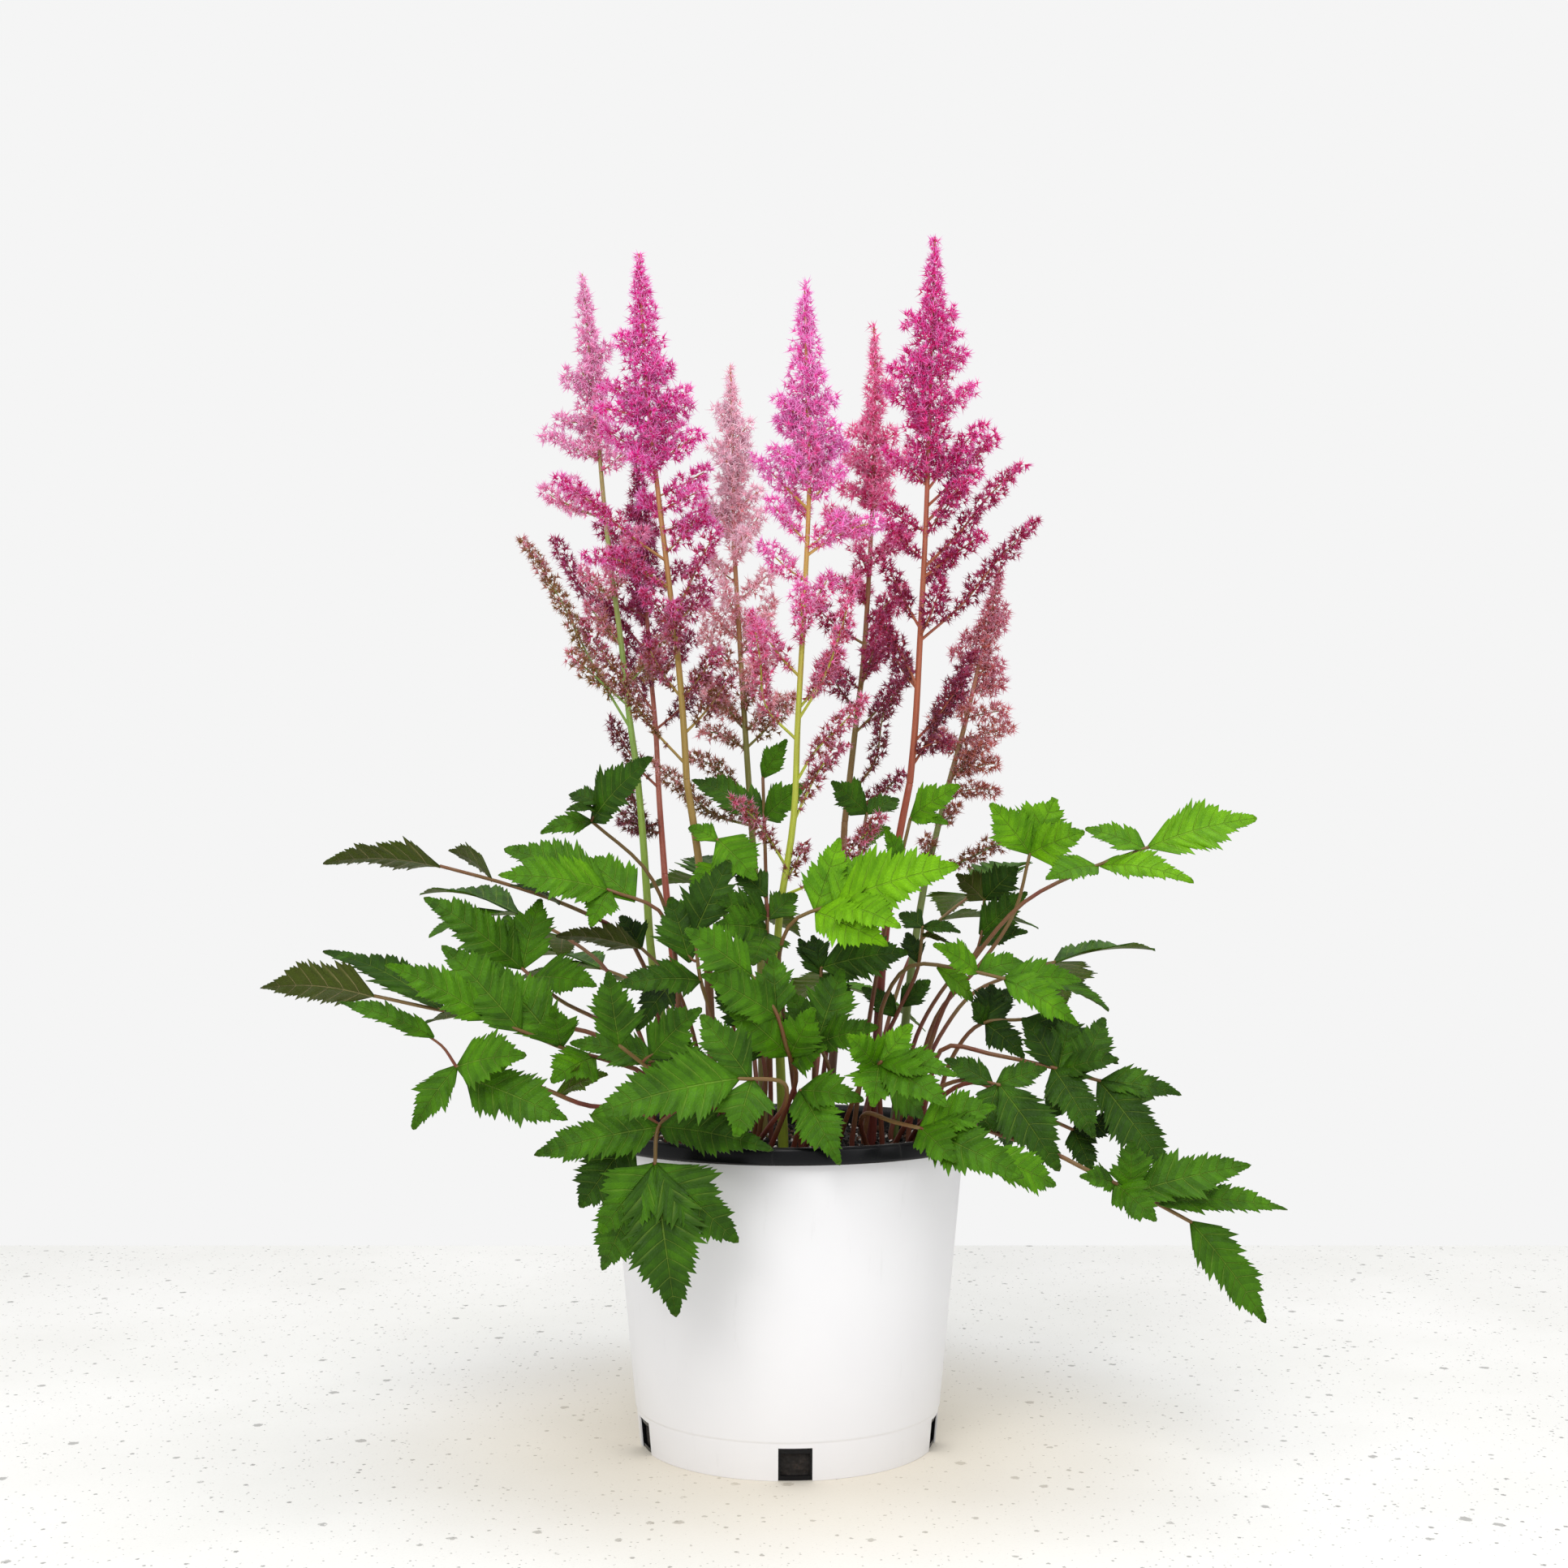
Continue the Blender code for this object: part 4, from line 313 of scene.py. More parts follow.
# Each leaf: its foot on the soil (mm), its petiole as pixels with depths (mm), and its leaflets as
# (base pixel, depth), (tip pixel, depth), width over length, and the tilt of the face towards the viewer
LEAVES = {
    "left_top": dict(
        foot=(-58, 2), path=[(806, 1230, -2), (760, 1140, -12), (695, 1115, -18), (608, 1084, -24),
                             (542, 1067, -28)],
        blades=[((542, 1067, -28), (398, 1063, -34), 0.4, -28),
                ((608, 1083, -24), (555, 1046, -6), 0.5, -40),
                ((690, 1113, -18), (628, 1092, -36), 0.36, 25)]),
    "left_bright": dict(
        foot=(-48, -28), path=[(836, 1240, -36), (828, 1150, -40), (801, 1114, -42), (748, 1096, -46)],
        blades=[((748, 1096, -46), (613, 1080, -64), 0.42, 55),
                ((784, 1104, -42), (715, 1056, -30), 0.52, 50),
                ((745, 1094, -46), (621, 1046, -38), 0.42, 50),
                ((752, 1097, -46), (728, 1139, -62), 0.62, 65)]),
    "left_mid": dict(
        foot=(-66, -14), path=[(790, 1290, -24), (720, 1250, -28), (668, 1218, -30), (643, 1193, -30)],
        blades=[((643, 1193, -30), (522, 1106, -38), 0.38, 52),
                ((645, 1192, -30), (666, 1106, -20), 0.55, 62),
                ((642, 1190, -30), (623, 1127, -6), 0.5, 60),
                ((655, 1206, -30), (734, 1214, -52), 0.48, 55)]),
    "left_low": dict(
        foot=(-64, -34), path=[(801, 1305, -42), (701, 1268, -46), (562, 1248, -52), (461, 1227, -56)],
        blades=[((461, 1227, -56), (322, 1213, -62), 0.48, -48),
                ((546, 1245, -53), (398, 1170, -34), 0.27, 25),
                ((594, 1254, -51), (519, 1263, -72), 0.5, -25)]),
    "left_low_front": dict(
        foot=(-54, -46), path=[(800, 1330, -58), (740, 1304, -66), (688, 1290, -72), (642, 1270, -76),
                               (600, 1255, -80)],
        blades=[((600, 1255, -80), (474, 1189, -96), 0.34, 50),
                ((642, 1270, -76), (544, 1165, -74), 0.4, 60),
                ((688, 1290, -72), (595, 1182, -60), 0.38, 60),
                ((692, 1290, -72), (681, 1240, -84), 0.7, 60),
                ((734, 1300, -67), (680, 1330, -88), 0.7, 62)]),
    "left_curled": dict(
        foot=(-44, -56), path=[(790, 1372, -78), (735, 1366, -84), (680, 1345, -90), (620, 1325, -93),
                               (562, 1314, -95)],
        blades=[((535, 1278, -96), (416, 1236, -100), 0.22, 45),
                ((562, 1315, -95), (648, 1300, -112), 0.55, 62),
                ((559, 1318, -95), (509, 1392, -100), 0.42, 60),
                ((575, 1328, -95), (700, 1381, -112), 0.42, 66),
                ((688, 1345, -90), (748, 1323, -74), 0.5, -50)]),
    "left_on_stalk": dict(
        foot=(-36, 22), path=[(838, 1240, 16), (821, 1096, 8), (787, 1066, 4), (729, 1012, 0)],
        blades=[((729, 1011, 0), (805, 933, -24), 0.42, 60), ((740, 990, -4), (701, 978, 2), 0.6, 50),
                ((736, 998, -2), (698, 998, -16), 0.35, 45), ((727, 1014, 0), (666, 1024, -8), 0.42, 55)]),
    "left_grey": dict(
        foot=(-38, -42), path=[(822, 1345, -62), (800, 1318, -76), (763, 1288, -84)],
        blades=[((763, 1288, -84), (749, 1197, -90), 0.55, 75),
                ((800, 1304, -80), (862, 1242, -94), 0.56, 65),
                ((803, 1308, -76), (872, 1305, -104), 0.5, 60),
                ((812, 1309, -74), (702, 1286, -70), 0.38, 45)]),
    "left_inner": dict(
        foot=(-26, -30), path=[(878, 1330, -42), (880, 1270, -48), (864, 1212, -52), (856, 1150, -50)],
        blades=[((862, 1208, -52), (760, 1212, -72), 0.38, 55),
                ((856, 1148, -50), (899, 1059, -46), 0.5, 75),
                ((857, 1160, -50), (824, 1108, -34), 0.55, 70),
                ((850, 1186, -50), (826, 1104, -44), 0.62, 66)]),
    "centre_left": dict(
        foot=(-8, -46), path=[(980, 1334, -60), (973, 1310, -70), (960, 1255, -82), (926, 1202, -86)],
        blades=[((926, 1202, -86), (843, 1144, -90), 0.54, 70),
                ((957, 1252, -82), (866, 1200, -98), 0.42, 70),
                ((958, 1248, -82), (952, 1175, -76), 0.58, 75),
                ((968, 1302, -72), (886, 1228, -92), 0.42, 70),
                ((973, 1302, -71), (1003, 1243, -86), 0.66, 75),
                ((975, 1311, -70), (1018, 1290, -84), 0.7, 65)]),
    "centre_right": dict(
        foot=(8, -40), path=[(1028, 1335, -54), (1016, 1308, -62), (1007, 1283, -68)],
        blades=[((1007, 1283, -68), (1038, 1192, -60), 0.53, 75),
                ((1010, 1285, -68), (1083, 1266, -86), 0.45, 65),
                ((1004, 1280, -68), (972, 1220, -56), 0.5, 70)]),
    "front_long": dict(
        foot=(-16, -56), path=[(975, 1343, -70), (940, 1332, -78), (910, 1329, -84)],
        blades=[((910, 1329, -84), (728, 1374, -112), 0.36, 62),
                ((926, 1331, -81), (906, 1402, -98), 0.72, 72),
                ((924, 1328, -81), (863, 1250, -78), 0.5, 75)]),
    "front_centre": dict(
        foot=(2, -58), path=[(994, 1352, -70), (986, 1343, -76)],
        blades=[((986, 1343, -76), (1034, 1432, -100), 0.46, 72),
                ((988, 1340, -76), (1063, 1354, -90), 0.45, 62)]),
    "right_front": dict(
        foot=(22, -48), path=[(1056, 1345, -62), (1086, 1308, -77)],
        blades=[((1084, 1311, -76), (1178, 1321, -94), 0.38, 48),
                ((1084, 1312, -76), (1168, 1361, -104), 0.38, 66),
                ((1082, 1312, -76), (1076, 1362, -96), 0.7, 70),
                ((1079, 1316, -74), (1046, 1276, -90), 0.6, 68),
                ((1086, 1309, -76), (1124, 1262, -70), 0.5, 70),
                ((1092, 1326, -72), (1138, 1378, -58), 0.5, 66)]),
    "right_rim": dict(
        foot=(36, -46), path=[(1060, 1372, -62), (1092, 1380, -78), (1134, 1390, -92)],
        blades=[((1134, 1390, -92), (1226, 1362, -102), 0.52, 62),
                ((1134, 1391, -92), (1178, 1432, -112), 0.56, 75),
                ((1138, 1390, -92), (1262, 1452, -116), 0.4, 70),
                ((1216, 1424, -108), (1303, 1461, -96), 0.42, 66)]),
    "centre_bright": dict(
        foot=(6, -30), path=[(972, 1290, -44), (962, 1220, -52), (962, 1150, -58), (1004, 1124, -64),
                             (1030, 1113, -66)],
        blades=[((1031, 1113, -66), (1181, 1066, -94), 0.42, 66),
                ((1031, 1115, -66), (1108, 1140, -96), 0.4, 70),
                ((1005, 1124, -64), (1093, 1164, -92), 0.44, 76),
                ((1027, 1112, -66), (1074, 1052, -52), 0.46, 62),
                ((1004, 1122, -64), (1035, 1033, -52), 0.4, 70)]),
    "centre_back": dict(
        foot=(-16, -14), path=[(948, 1300, -24), (944, 1200, -30), (946, 1130, -34)],
        blades=[((946, 1130, -34), (883, 1109, -48), 0.55, 70),
                ((947, 1132, -34), (982, 1100, -24), 0.62, 66),
                ((945, 1146, -34), (879, 1140, -58), 0.5, 75),
                ((946, 1150, -34), (927, 1188, -62), 0.6, 75),
                ((945, 1104, -34), (906, 1070, -28), 0.62, 66)]),
    "centre_young": dict(
        foot=(-30, -4), path=[(905, 1240, -12), (892, 1120, -20), (884, 1034, -24)],
        blades=[((884, 1034, -24), (932, 1084, -44), 0.62, 75),
                ((884, 1036, -24), (848, 1018, -14), 0.5, 60),
                ((887, 1066, -22), (850, 1096, -34), 0.5, 60)]),
    "top_back": dict(
        foot=(-8, 14), path=[(948, 1240, 10), (944, 1100, 8), (942, 1010, 6), (940, 958, 4)],
        blades=[((943, 1008, 6), (992, 966, -10), 0.5, 70), ((940, 958, 4), (969, 911, -2), 0.45, 75),
                ((942, 1006, 6), (852, 958, 16), 0.36, 60)]),
    "top_right_back": dict(
        foot=(14, 14), path=[(1026, 1240, 14), (1050, 1100, 12), (1068, 1002, 8)],
        blades=[((1068, 1002, 8), (1024, 963, 0), 0.6, 70), ((1068, 1000, 8), (1108, 985, 22), 0.5, 55),
                ((1060, 1040, 10), (1096, 1020, -6), 0.5, 60)]),
    "right_small": dict(
        foot=(30, -20), path=[(1072, 1250, -24), (1096, 1120, -26), (1122, 1008, -28)],
        blades=[((1123, 1006, -28), (1183, 968, -40), 0.5, 62),
                ((1123, 1008, -28), (1168, 1014, -44), 0.32, 60),
                ((1106, 1062, -27), (1090, 1020, -34), 0.42, 60)]),
    "right_maple": dict(
        foot=(58, 4), path=[(1150, 1260, 6), (1232, 1160, 6), (1260, 1092, 6), (1269, 1052, 4)],
        blades=[((1269, 1052, 4), (1219, 990, 0), 0.6, 72), ((1269, 1052, 4), (1300, 983, 6), 0.8, 75),
                ((1269, 1052, 4), (1335, 1024, -8), 0.65, 70)]),
    "right_long": dict(
        foot=(62, -12), path=[(1150, 1270, -16), (1232, 1140, -22), (1301, 1088, -26), (1356, 1066, -30),
                              (1415, 1044, -34)],
        blades=[((1415, 1044, -34), (1549, 1009, -42), 0.48, 52),
                ((1410, 1045, -34), (1337, 1022, -22), 0.42, 55),
                ((1356, 1066, -30), (1470, 1083, -56), 0.32, 50),
                ((1352, 1067, -30), (1289, 1083, -48), 0.45, 45)]),
    "right_dark": dict(
        foot=(50, 12), path=[(1140, 1250, 24), (1196, 1184, 26), (1210, 1150, 28), (1213, 1108, 30)],
        blades=[((1211, 1152, 28), (1266, 1099, 22), 0.46, 62),
                ((1209, 1164, 28), (1267, 1149, 8), 0.42, 52),
                ((1213, 1108, 30), (1179, 1077, 38), 0.7, -60),
                ((1213, 1108, 30), (1254, 1068, 24), 0.7, 72)]),
    "right_bright": dict(
        foot=(44, -22), path=[(1082, 1280, -30), (1098, 1212, -36), (1132, 1188, -40), (1205, 1198, -46),
                              (1238, 1206, -48)],
        blades=[((1205, 1198, -46), (1151, 1163, -58), 0.45, 62),
                ((1205, 1197, -46), (1262, 1184, -34), 0.45, 60),
                ((1238, 1206, -48), (1329, 1262, -60), 0.36, 62),
                ((1238, 1205, -48), (1332, 1209, -40), 0.4, 56),
                ((1156, 1189, -42), (1201, 1233, -28), 0.4, 60)]),
    "right_mass": dict(
        foot=(60, -32), path=[(1156, 1300, -42), (1190, 1295, -46), (1267, 1308, -54), (1356, 1332, -60)],
        blades=[((1356, 1332, -60), (1456, 1349, -70), 0.34, 55),
                ((1353, 1333, -60), (1442, 1449, -84), 0.36, 76),
                ((1298, 1315, -56), (1349, 1401, -82), 0.43, 76),
                ((1303, 1314, -56), (1260, 1254, -44), 0.46, 70),
                ((1305, 1314, -56), (1318, 1254, -38), 0.5, 75),
                ((1330, 1323, -58), (1362, 1252, -46), 0.45, 70),
                ((1309, 1312, -56), (1378, 1304, -70), 0.4, 55)]),
    "right_mass_back": dict(
        foot=(64, -20), path=[(1180, 1288, -26), (1213, 1260, -30), (1262, 1256, -32)],
        blades=[((1215, 1260, -30), (1262, 1302, -44), 0.5, 72),
                ((1215, 1259, -30), (1222, 1213, -22), 0.8, 75),
                ((1262, 1256, -32), (1379, 1310, -34), 0.3, 60),
                ((1214, 1262, -30), (1246, 1216, -22), 0.5, 62),
                ((1213, 1258, -30), (1197, 1236, -36), 0.6, 60)]),
    "right_mass_front": dict(
        foot=(48, -42), path=[(1140, 1352, -62), (1190, 1330, -74), (1232, 1337, -84)],
        blades=[((1232, 1337, -84), (1306, 1442, -100), 0.46, 76),
                ((1229, 1337, -84), (1208, 1400, -92), 0.6, 76),
                ((1228, 1335, -83), (1290, 1316, -78), 0.42, 62),
                ((1222, 1336, -82), (1164, 1306, -70), 0.42, 60),
                ((1232, 1340, -84), (1244, 1418, -72), 0.44, 74)]),
    "right_lowest": dict(
        foot=(54, -40), path=[(1152, 1370, -60), (1192, 1385, -76), (1311, 1425, -92), (1368, 1458, -98),
                              (1425, 1481, -102), (1468, 1506, -104)],
        blades=[((1398, 1468, -100), (1542, 1437, -106), 0.36, 56),
                ((1392, 1466, -100), (1394, 1404, -104), 0.7, 75),
                ((1372, 1460, -98), (1332, 1449, -108), 0.5, 60),
                ((1372, 1461, -98), (1424, 1504, -116), 0.6, 75),
                ((1425, 1481, -102), (1587, 1486, -110), 0.24, 42),
                ((1468, 1506, -104), (1562, 1630, -112), 0.34, 68)]),
    "front_hanging": dict(
        foot=(-30, -58), path=[(852, 1372, -78), (814, 1384, -96), (807, 1434, -110)],
        blades=[((807, 1436, -110), (833, 1623, -118), 0.46, 82),
                ((805, 1436, -110), (738, 1520, -116), 0.58, 82),
                ((809, 1436, -110), (910, 1531, -116), 0.48, 82),
                ((800, 1440, -108), (740, 1568, -100), 0.42, 80),
                ((808, 1388, -98), (658, 1425, -110), 0.34, 62),
                ((780, 1398, -100), (713, 1489, -98), 0.56, 80),
                ((814, 1388, -98), (951, 1414, -118), 0.32, 62)]),
    "left_shade": dict(
        foot=(-34, 4), path=[(858, 1290, -2), (836, 1220, -6), (806, 1180, -8), (790, 1168, -8)],
        blades=[((789, 1168, -8), (685, 1154, -16), 0.4, -35), ((791, 1164, -8), (764, 1128, -2), 0.6, 55),
                ((828, 1210, -7), (784, 1268, -22), 0.42, 62)]),
    "centre_shade": dict(
        foot=(-14, -36), path=[(944, 1330, -48), (936, 1290, -52), (924, 1262, -54)],
        blades=[((924, 1262, -54), (880, 1212, -60), 0.56, 66),
                ((926, 1264, -54), (938, 1206, -50), 0.5, 70),
                ((936, 1292, -52), (972, 1256, -60), 0.6, 66),
                ((938, 1300, -51), (890, 1286, -62), 0.5, 58)]),
    "centre_dark": dict(
        foot=(12, -22), path=[(1004, 1300, -32), (1010, 1240, -36), (1012, 1192, -38)],
        blades=[((1013, 1192, -38), (1119, 1172, -44), 0.56, 60),
                ((1012, 1194, -38), (1001, 1152, -34), 0.7, 66),
                ((1011, 1200, -38), (984, 1156, -34), 0.5, 66),
                ((1012, 1202, -38), (1048, 1238, -48), 0.6, 66)]),
    "right_inner": dict(
        foot=(36, -8), path=[(1086, 1290, -12), (1110, 1240, -14), (1132, 1190, -16), (1137, 1142, -18)],
        blades=[((1137, 1142, -18), (1183, 1147, -28), 0.36, 50),
                ((1137, 1141, -18), (1108, 1126, -10), 0.6, 60),
                ((1137, 1152, -18), (1174, 1166, -26), 0.32, -30),
                ((1133, 1186, -16), (1117, 1148, -8), 0.5, 62),
                ((1111, 1240, -14), (1146, 1208, -8), 0.5, 58),
                ((1104, 1252, -13), (1062, 1216, -6), 0.46, 56)]),
    "right_low_back": dict(
        foot=(58, -22), path=[(1180, 1332, -40), (1256, 1362, -52), (1322, 1392, -62)],
        blades=[((1323, 1390, -62), (1390, 1386, -72), 0.46, 58),
                ((1322, 1394, -62), (1346, 1444, -74), 0.52, 70),
                ((1290, 1378, -57), (1318, 1336, -50), 0.5, 60)]),
}
# Leaves behind the plant, which the photograph doesn't show: foot (mm), heading, reach (mm), tip height (mm)
BACK_LEAVES = {
    "back_1": dict(foot=(54, 34), heading=24, reach=150, rise=35),
    "back_2": dict(foot=(38, 54), heading=50, reach=160, rise=70),
    "back_3": dict(foot=(12, 62), heading=78, reach=160, rise=25),
    "back_4": dict(foot=(-14, 58), heading=104, reach=150, rise=75),
    "back_5": dict(foot=(-36, 50), heading=132, reach=160, rise=30),
    "back_6": dict(foot=(-56, 34), heading=158, reach=145, rise=60),
}
BACK_LEAFLET = 0.056
BACK_LEAFLET_WIDE = 0.50
BACK_POINTS = 6
BACK_END = (0.62, 0.045, 1.0)
BACK_KNEE = (0.26, 0.040, 0.6)
BACK_DROOP = 0.012
BACK_VARIES = (0.6, 1.4)
BACK_TILT = 12
# Where a back leaf's leaflets stand on its stalk, how far they spread, and their size
BACK_SPREADS = ((-1, 0.0, 1.15), (-1, 0.9, 0.9), (-2, -1.0, 0.95))
BACK_LIFTS = (0, 0.008, -0.008, 0.016, -0.016, 0.026)

def bent(points, count):
    """A smooth curve through the points, as this many evenly spread points."""
    knots = [Vector(p) for p in points]
    knots = [knots[0] * 2 - knots[1]] + knots + [knots[-1] * 2 - knots[-2]]
    curve = []
    for a, b, c, d in zip(knots, knots[1:], knots[2:], knots[3:]):
        for step in range(BEND_STEPS):
            t = step / BEND_STEPS
            curve.append(0.5 * ((2 * b) + (c - a) * t + (2 * a - 5 * b + 4 * c - d) * t ** 2
                                + (3 * b - a - 3 * c + d) * t ** 3))
    curve.append(knots[-2])
    runs = [0.0]
    for a, b in zip(curve, curve[1:]):
        runs.append(runs[-1] + (b - a).length)
    spread = np.linspace(0.0, runs[-1], count)
    tracks = [[point[axis] for point in curve] for axis in range(3)]
    return [Vector([float(np.interp(s, runs, track)) for track in tracks]) for s in spread]


def across(direction):
    """A unit vector square to a direction."""
    helper = Vector((0, 1, 0)) if abs(direction.normalized().y) < 0.9 else Vector((1, 0, 0))
    return direction.cross(helper).normalized()


def ring_solid(rings, start, end):
    """Vertices and faces of a closed skin over rings of points, from one end point to the other."""
    verts = [start]
    for ring in rings:
        verts.extend(ring)
    verts.append(end)
    sides = len(rings[0])
    last = len(verts) - 1
    faces = []
    for k in range(sides):
        nxt = (k + 1) % sides
        faces.append((0, 1 + nxt, 1 + k))
        for r in range(len(rings) - 1):
            low, high = 1 + r * sides, 1 + (r + 1) * sides
            faces.append((low + k, low + nxt, high + nxt))
            faces.append((low + k, high + nxt, high + k))
        top = 1 + (len(rings) - 1) * sides
        faces.append((last, top + k, top + nxt))
    return verts, faces


def tube(path, radii, sides):
    """A closed round stem along a path."""
    side = across(path[-1] - path[0])
    rings = []
    for i, centre in enumerate(path):
        along = (path[min(i + 1, len(path) - 1)] - path[max(i - 1, 0)]).normalized()
        u = (side - along * side.dot(along)).normalized()
        v = along.cross(u)
        turns = [2 * math.pi * k / sides for k in range(sides)]
        rings.append([centre + (u * math.cos(a) + v * math.sin(a)) * radii[i] for a in turns])
    return ring_solid(rings, path[0], path[-1])


def brush(path, radii, sides):
    """A stem set with spikes: every other point of each ring stands out, and turns by one each ring."""
    side = across(path[-1] - path[0])
    rings = []
    for i, centre in enumerate(path):
        along = (path[min(i + 1, len(path) - 1)] - path[max(i - 1, 0)]).normalized()
        u = (side - along * side.dot(along)).normalized()
        v = along.cross(u)
        ring = []
        for k in range(sides):
            a = 2 * math.pi * k / sides
            out = radii[i] if (k + i) % 2 else radii[i] * SPIKE_IN
            lift = along * (radii[i] * SPIKE_LIFT if (k + i) % 2 else 0.0)
            ring.append(centre + (u * math.cos(a) + v * math.sin(a)) * out + lift)
        rings.append(ring)
    start = path[0] - (path[1] - path[0]).normalized() * BRUSH_START
    end = path[-1] + (path[-1] - path[-2]).normalized() * BRUSH_END
    return ring_solid(rings, start, end)


def half_width(u):
    """How wide a leaflet is along its rib, from 0 at its base to 0 at its drawn-out tip."""
    return math.sin(math.pi * u ** WIDEST_POWER) ** FULLNESS


def blade(base, tip, wide, tilt, teeth, thickness=BLADE_THICKNESS):
    """A thin arched leaflet with forward teeth: sharp at each tooth, thick along its rib."""
    length = (tip - base).length
    along = (tip - base).normalized()
    lean = math.radians(tilt)
    up = Vector((0, -math.sin(lean), math.cos(lean)))
    up = (up - along * up.dot(along)).normalized()
    side = along.cross(up)

    def point(u, reach, lift):
        rib = base + along * (length * u) + up * (length * BLADE_ARCH * 4 * u * (1 - u))
        return rib + side * reach + up * (abs(reach) * BLADE_FOLD + lift)

    verts = [base, tip]
    ribs, valleys, tips = {0: (0, 0), teeth: (1, 1)}, {}, {}
    for k in range(1, teeth):
        u = k / teeth
        ribs[k] = (len(verts), len(verts) + 1)
        verts += [point(u, 0, thickness / 2), point(u, 0, -thickness / 2)]
    for hand in (-1, 1):
        reach = hand * wide * length / 2
        for k in range(1, teeth):
            valleys[hand, k] = len(verts)
            verts.append(point(k / teeth, reach * half_width(k / teeth) * VALLEY, 0))
        for k in range(teeth):
            u = (k + TOOTH_AT) / teeth
            tips[hand, k] = len(verts)
            verts.append(point(u, reach * (half_width(u - TOOTH_BACK / teeth) * TOOTH_SHARE + TOOTH_OUT), 0))
    faces = []
    for hand, face in ((-1, 0), (-1, 1), (1, 0), (1, 1)):
        patch = [(ribs[k][face], tips[hand, k], ribs[k + 1][face]) for k in range(teeth)]
        for k in range(1, teeth):
            patch.append((ribs[k][face], tips[hand, k - 1], valleys[hand, k]))
            patch.append((ribs[k][face], valleys[hand, k], tips[hand, k]))
        faces += patch if (hand > 0) == (face == 0) else [corner[::-1] for corner in patch]
    return verts, faces


class Room:
    """What is already placed, so that each new piece can be kept clear of the other nodes."""

    def __init__(self):
        self.placed = []

    @staticmethod
    def bounds(verts):
        """The lowest and highest corner round some points."""
        array = np.array([tuple(v) for v in verts])
        return array.min(axis=0), array.max(axis=0)

    def add(self, node, piece):
        """Keep a piece as part of a node."""
        verts, faces = piece
        self.placed.append((node, self.bounds(verts), BVHTree.FromPolygons(verts, faces)))

    def hits(self, node, piece):
        """Whether a piece would cross what another node holds."""
        verts, faces = piece
        low, high = self.bounds(verts)
        tree = BVHTree.FromPolygons(verts, faces)
        for other, (other_low, other_high), other_tree in self.placed:
            if other == node or np.any(low > other_high) or np.any(high < other_low):
                continue
            if tree.overlap(other_tree):
                return True
        return False


def foot_of(foot):
    """The stem's lowest point in its hole, and where it leaves the soil."""
    x, y = foot[0] * MM, foot[1] * MM
    return Vector((x, y, SOIL_TOP - HOLE_DEPTH + GAP)), Vector((x, y, SOIL_TOP + STEM_CLEAR))


def stem_path(foot, marks, count):
    """A stem's path: straight in its hole, then a smooth bend through the points seen."""
    low, high = foot_of(foot)
    return [low] + bent([high] + [seen(*mark) for mark in marks], count)


def taper(first, last, count):
    """Radii from one to another in even steps."""
    return [first + (last - first) * i / (count - 1) for i in range(count)]


def nearest(path, point):
    """The point on a path nearest to another point."""
    best = None
    for a, b in zip(path, path[1:]):
        span = b - a
        t = min(1.0, max(0.0, (point - a).dot(span) / span.length_squared))
        spot = a + span * t
        if best is None or (spot - point).length < (best - point).length:
            best = spot
    return best


def stalk_pieces(stalk):
    """A stalk's stem up to its lowest spray, and the flower axis above it."""
    marks = stalk["stem"] + stalk["axis"][:1]
    stem = stem_path(stalk["foot"], marks, STEM_POINTS)
    axis = bent([seen(*mark) for mark in stalk["axis"]], AXIS_POINTS)
    stem[-1] = axis[0] - (axis[1] - axis[0]).normalized() * GAP
    return stem, axis


def place_on(axis, share):
    """The point this share of the way up an axis."""
    place = min(share, LAST_PLACE) * (len(axis) - 1)
    return axis[int(place)].lerp(axis[int(place) + 1], place % 1.0)


def ring_branches(stalk, axis, rng):
    """Side branches all round the plume: upswept, and shorter towards the top, as (path knots, thickness)."""
    branches = []
    for k in range(stalk["branches"]):
        t = (k + RING_START) / stalk["branches"]
        start = place_on(axis, stalk["bare"] + (1 - stalk["bare"]) * t * BRANCHED)
        turn = k * BRANCH_TURN + rng.uniform(-TURN_VARIES, TURN_VARIES)
        lift = math.radians(BRANCH_LIFT_LOW + (BRANCH_LIFT_TOP - BRANCH_LIFT_LOW) * t
                            + rng.uniform(-LIFT_VARIES, LIFT_VARIES))
        reach = stalk["reach"] * MM * (1.0 - t) ** PLUME_TAPER * rng.uniform(*REACH_VARIES) + SHORTEST_BRANCH
        out = Vector((math.cos(turn), math.sin(turn), 0)) * math.cos(lift)
        tip = start + (out + Vector((0, 0, math.sin(lift)))) * reach
        sag = Vector((0, 0, reach * BRANCH_SAG))
        thick = BRANCH_RADIUS * (THICK_LOW + (THICK_TOP - THICK_LOW) * t)
        branches.append(([start, start.lerp(tip, 0.5) - sag, tip], thick))
    return branches


def spray_knots(axis, back, pixels):
    """The knots of a side branch that the photograph shows, from the flower axis to its tip."""
    start = nearest(axis, seen(*pixels[0], axis[len(axis) // 2].y / MM))
    depth, last = start.y / MM, len(pixels) - 1
    return [start] + [seen(*pixels[k], depth + back * k / last) for k in range(1, last + 1)]


def run_of(path):
    """The length of a path."""
    return sum((b - a).length for a, b in zip(path, path[1:]))


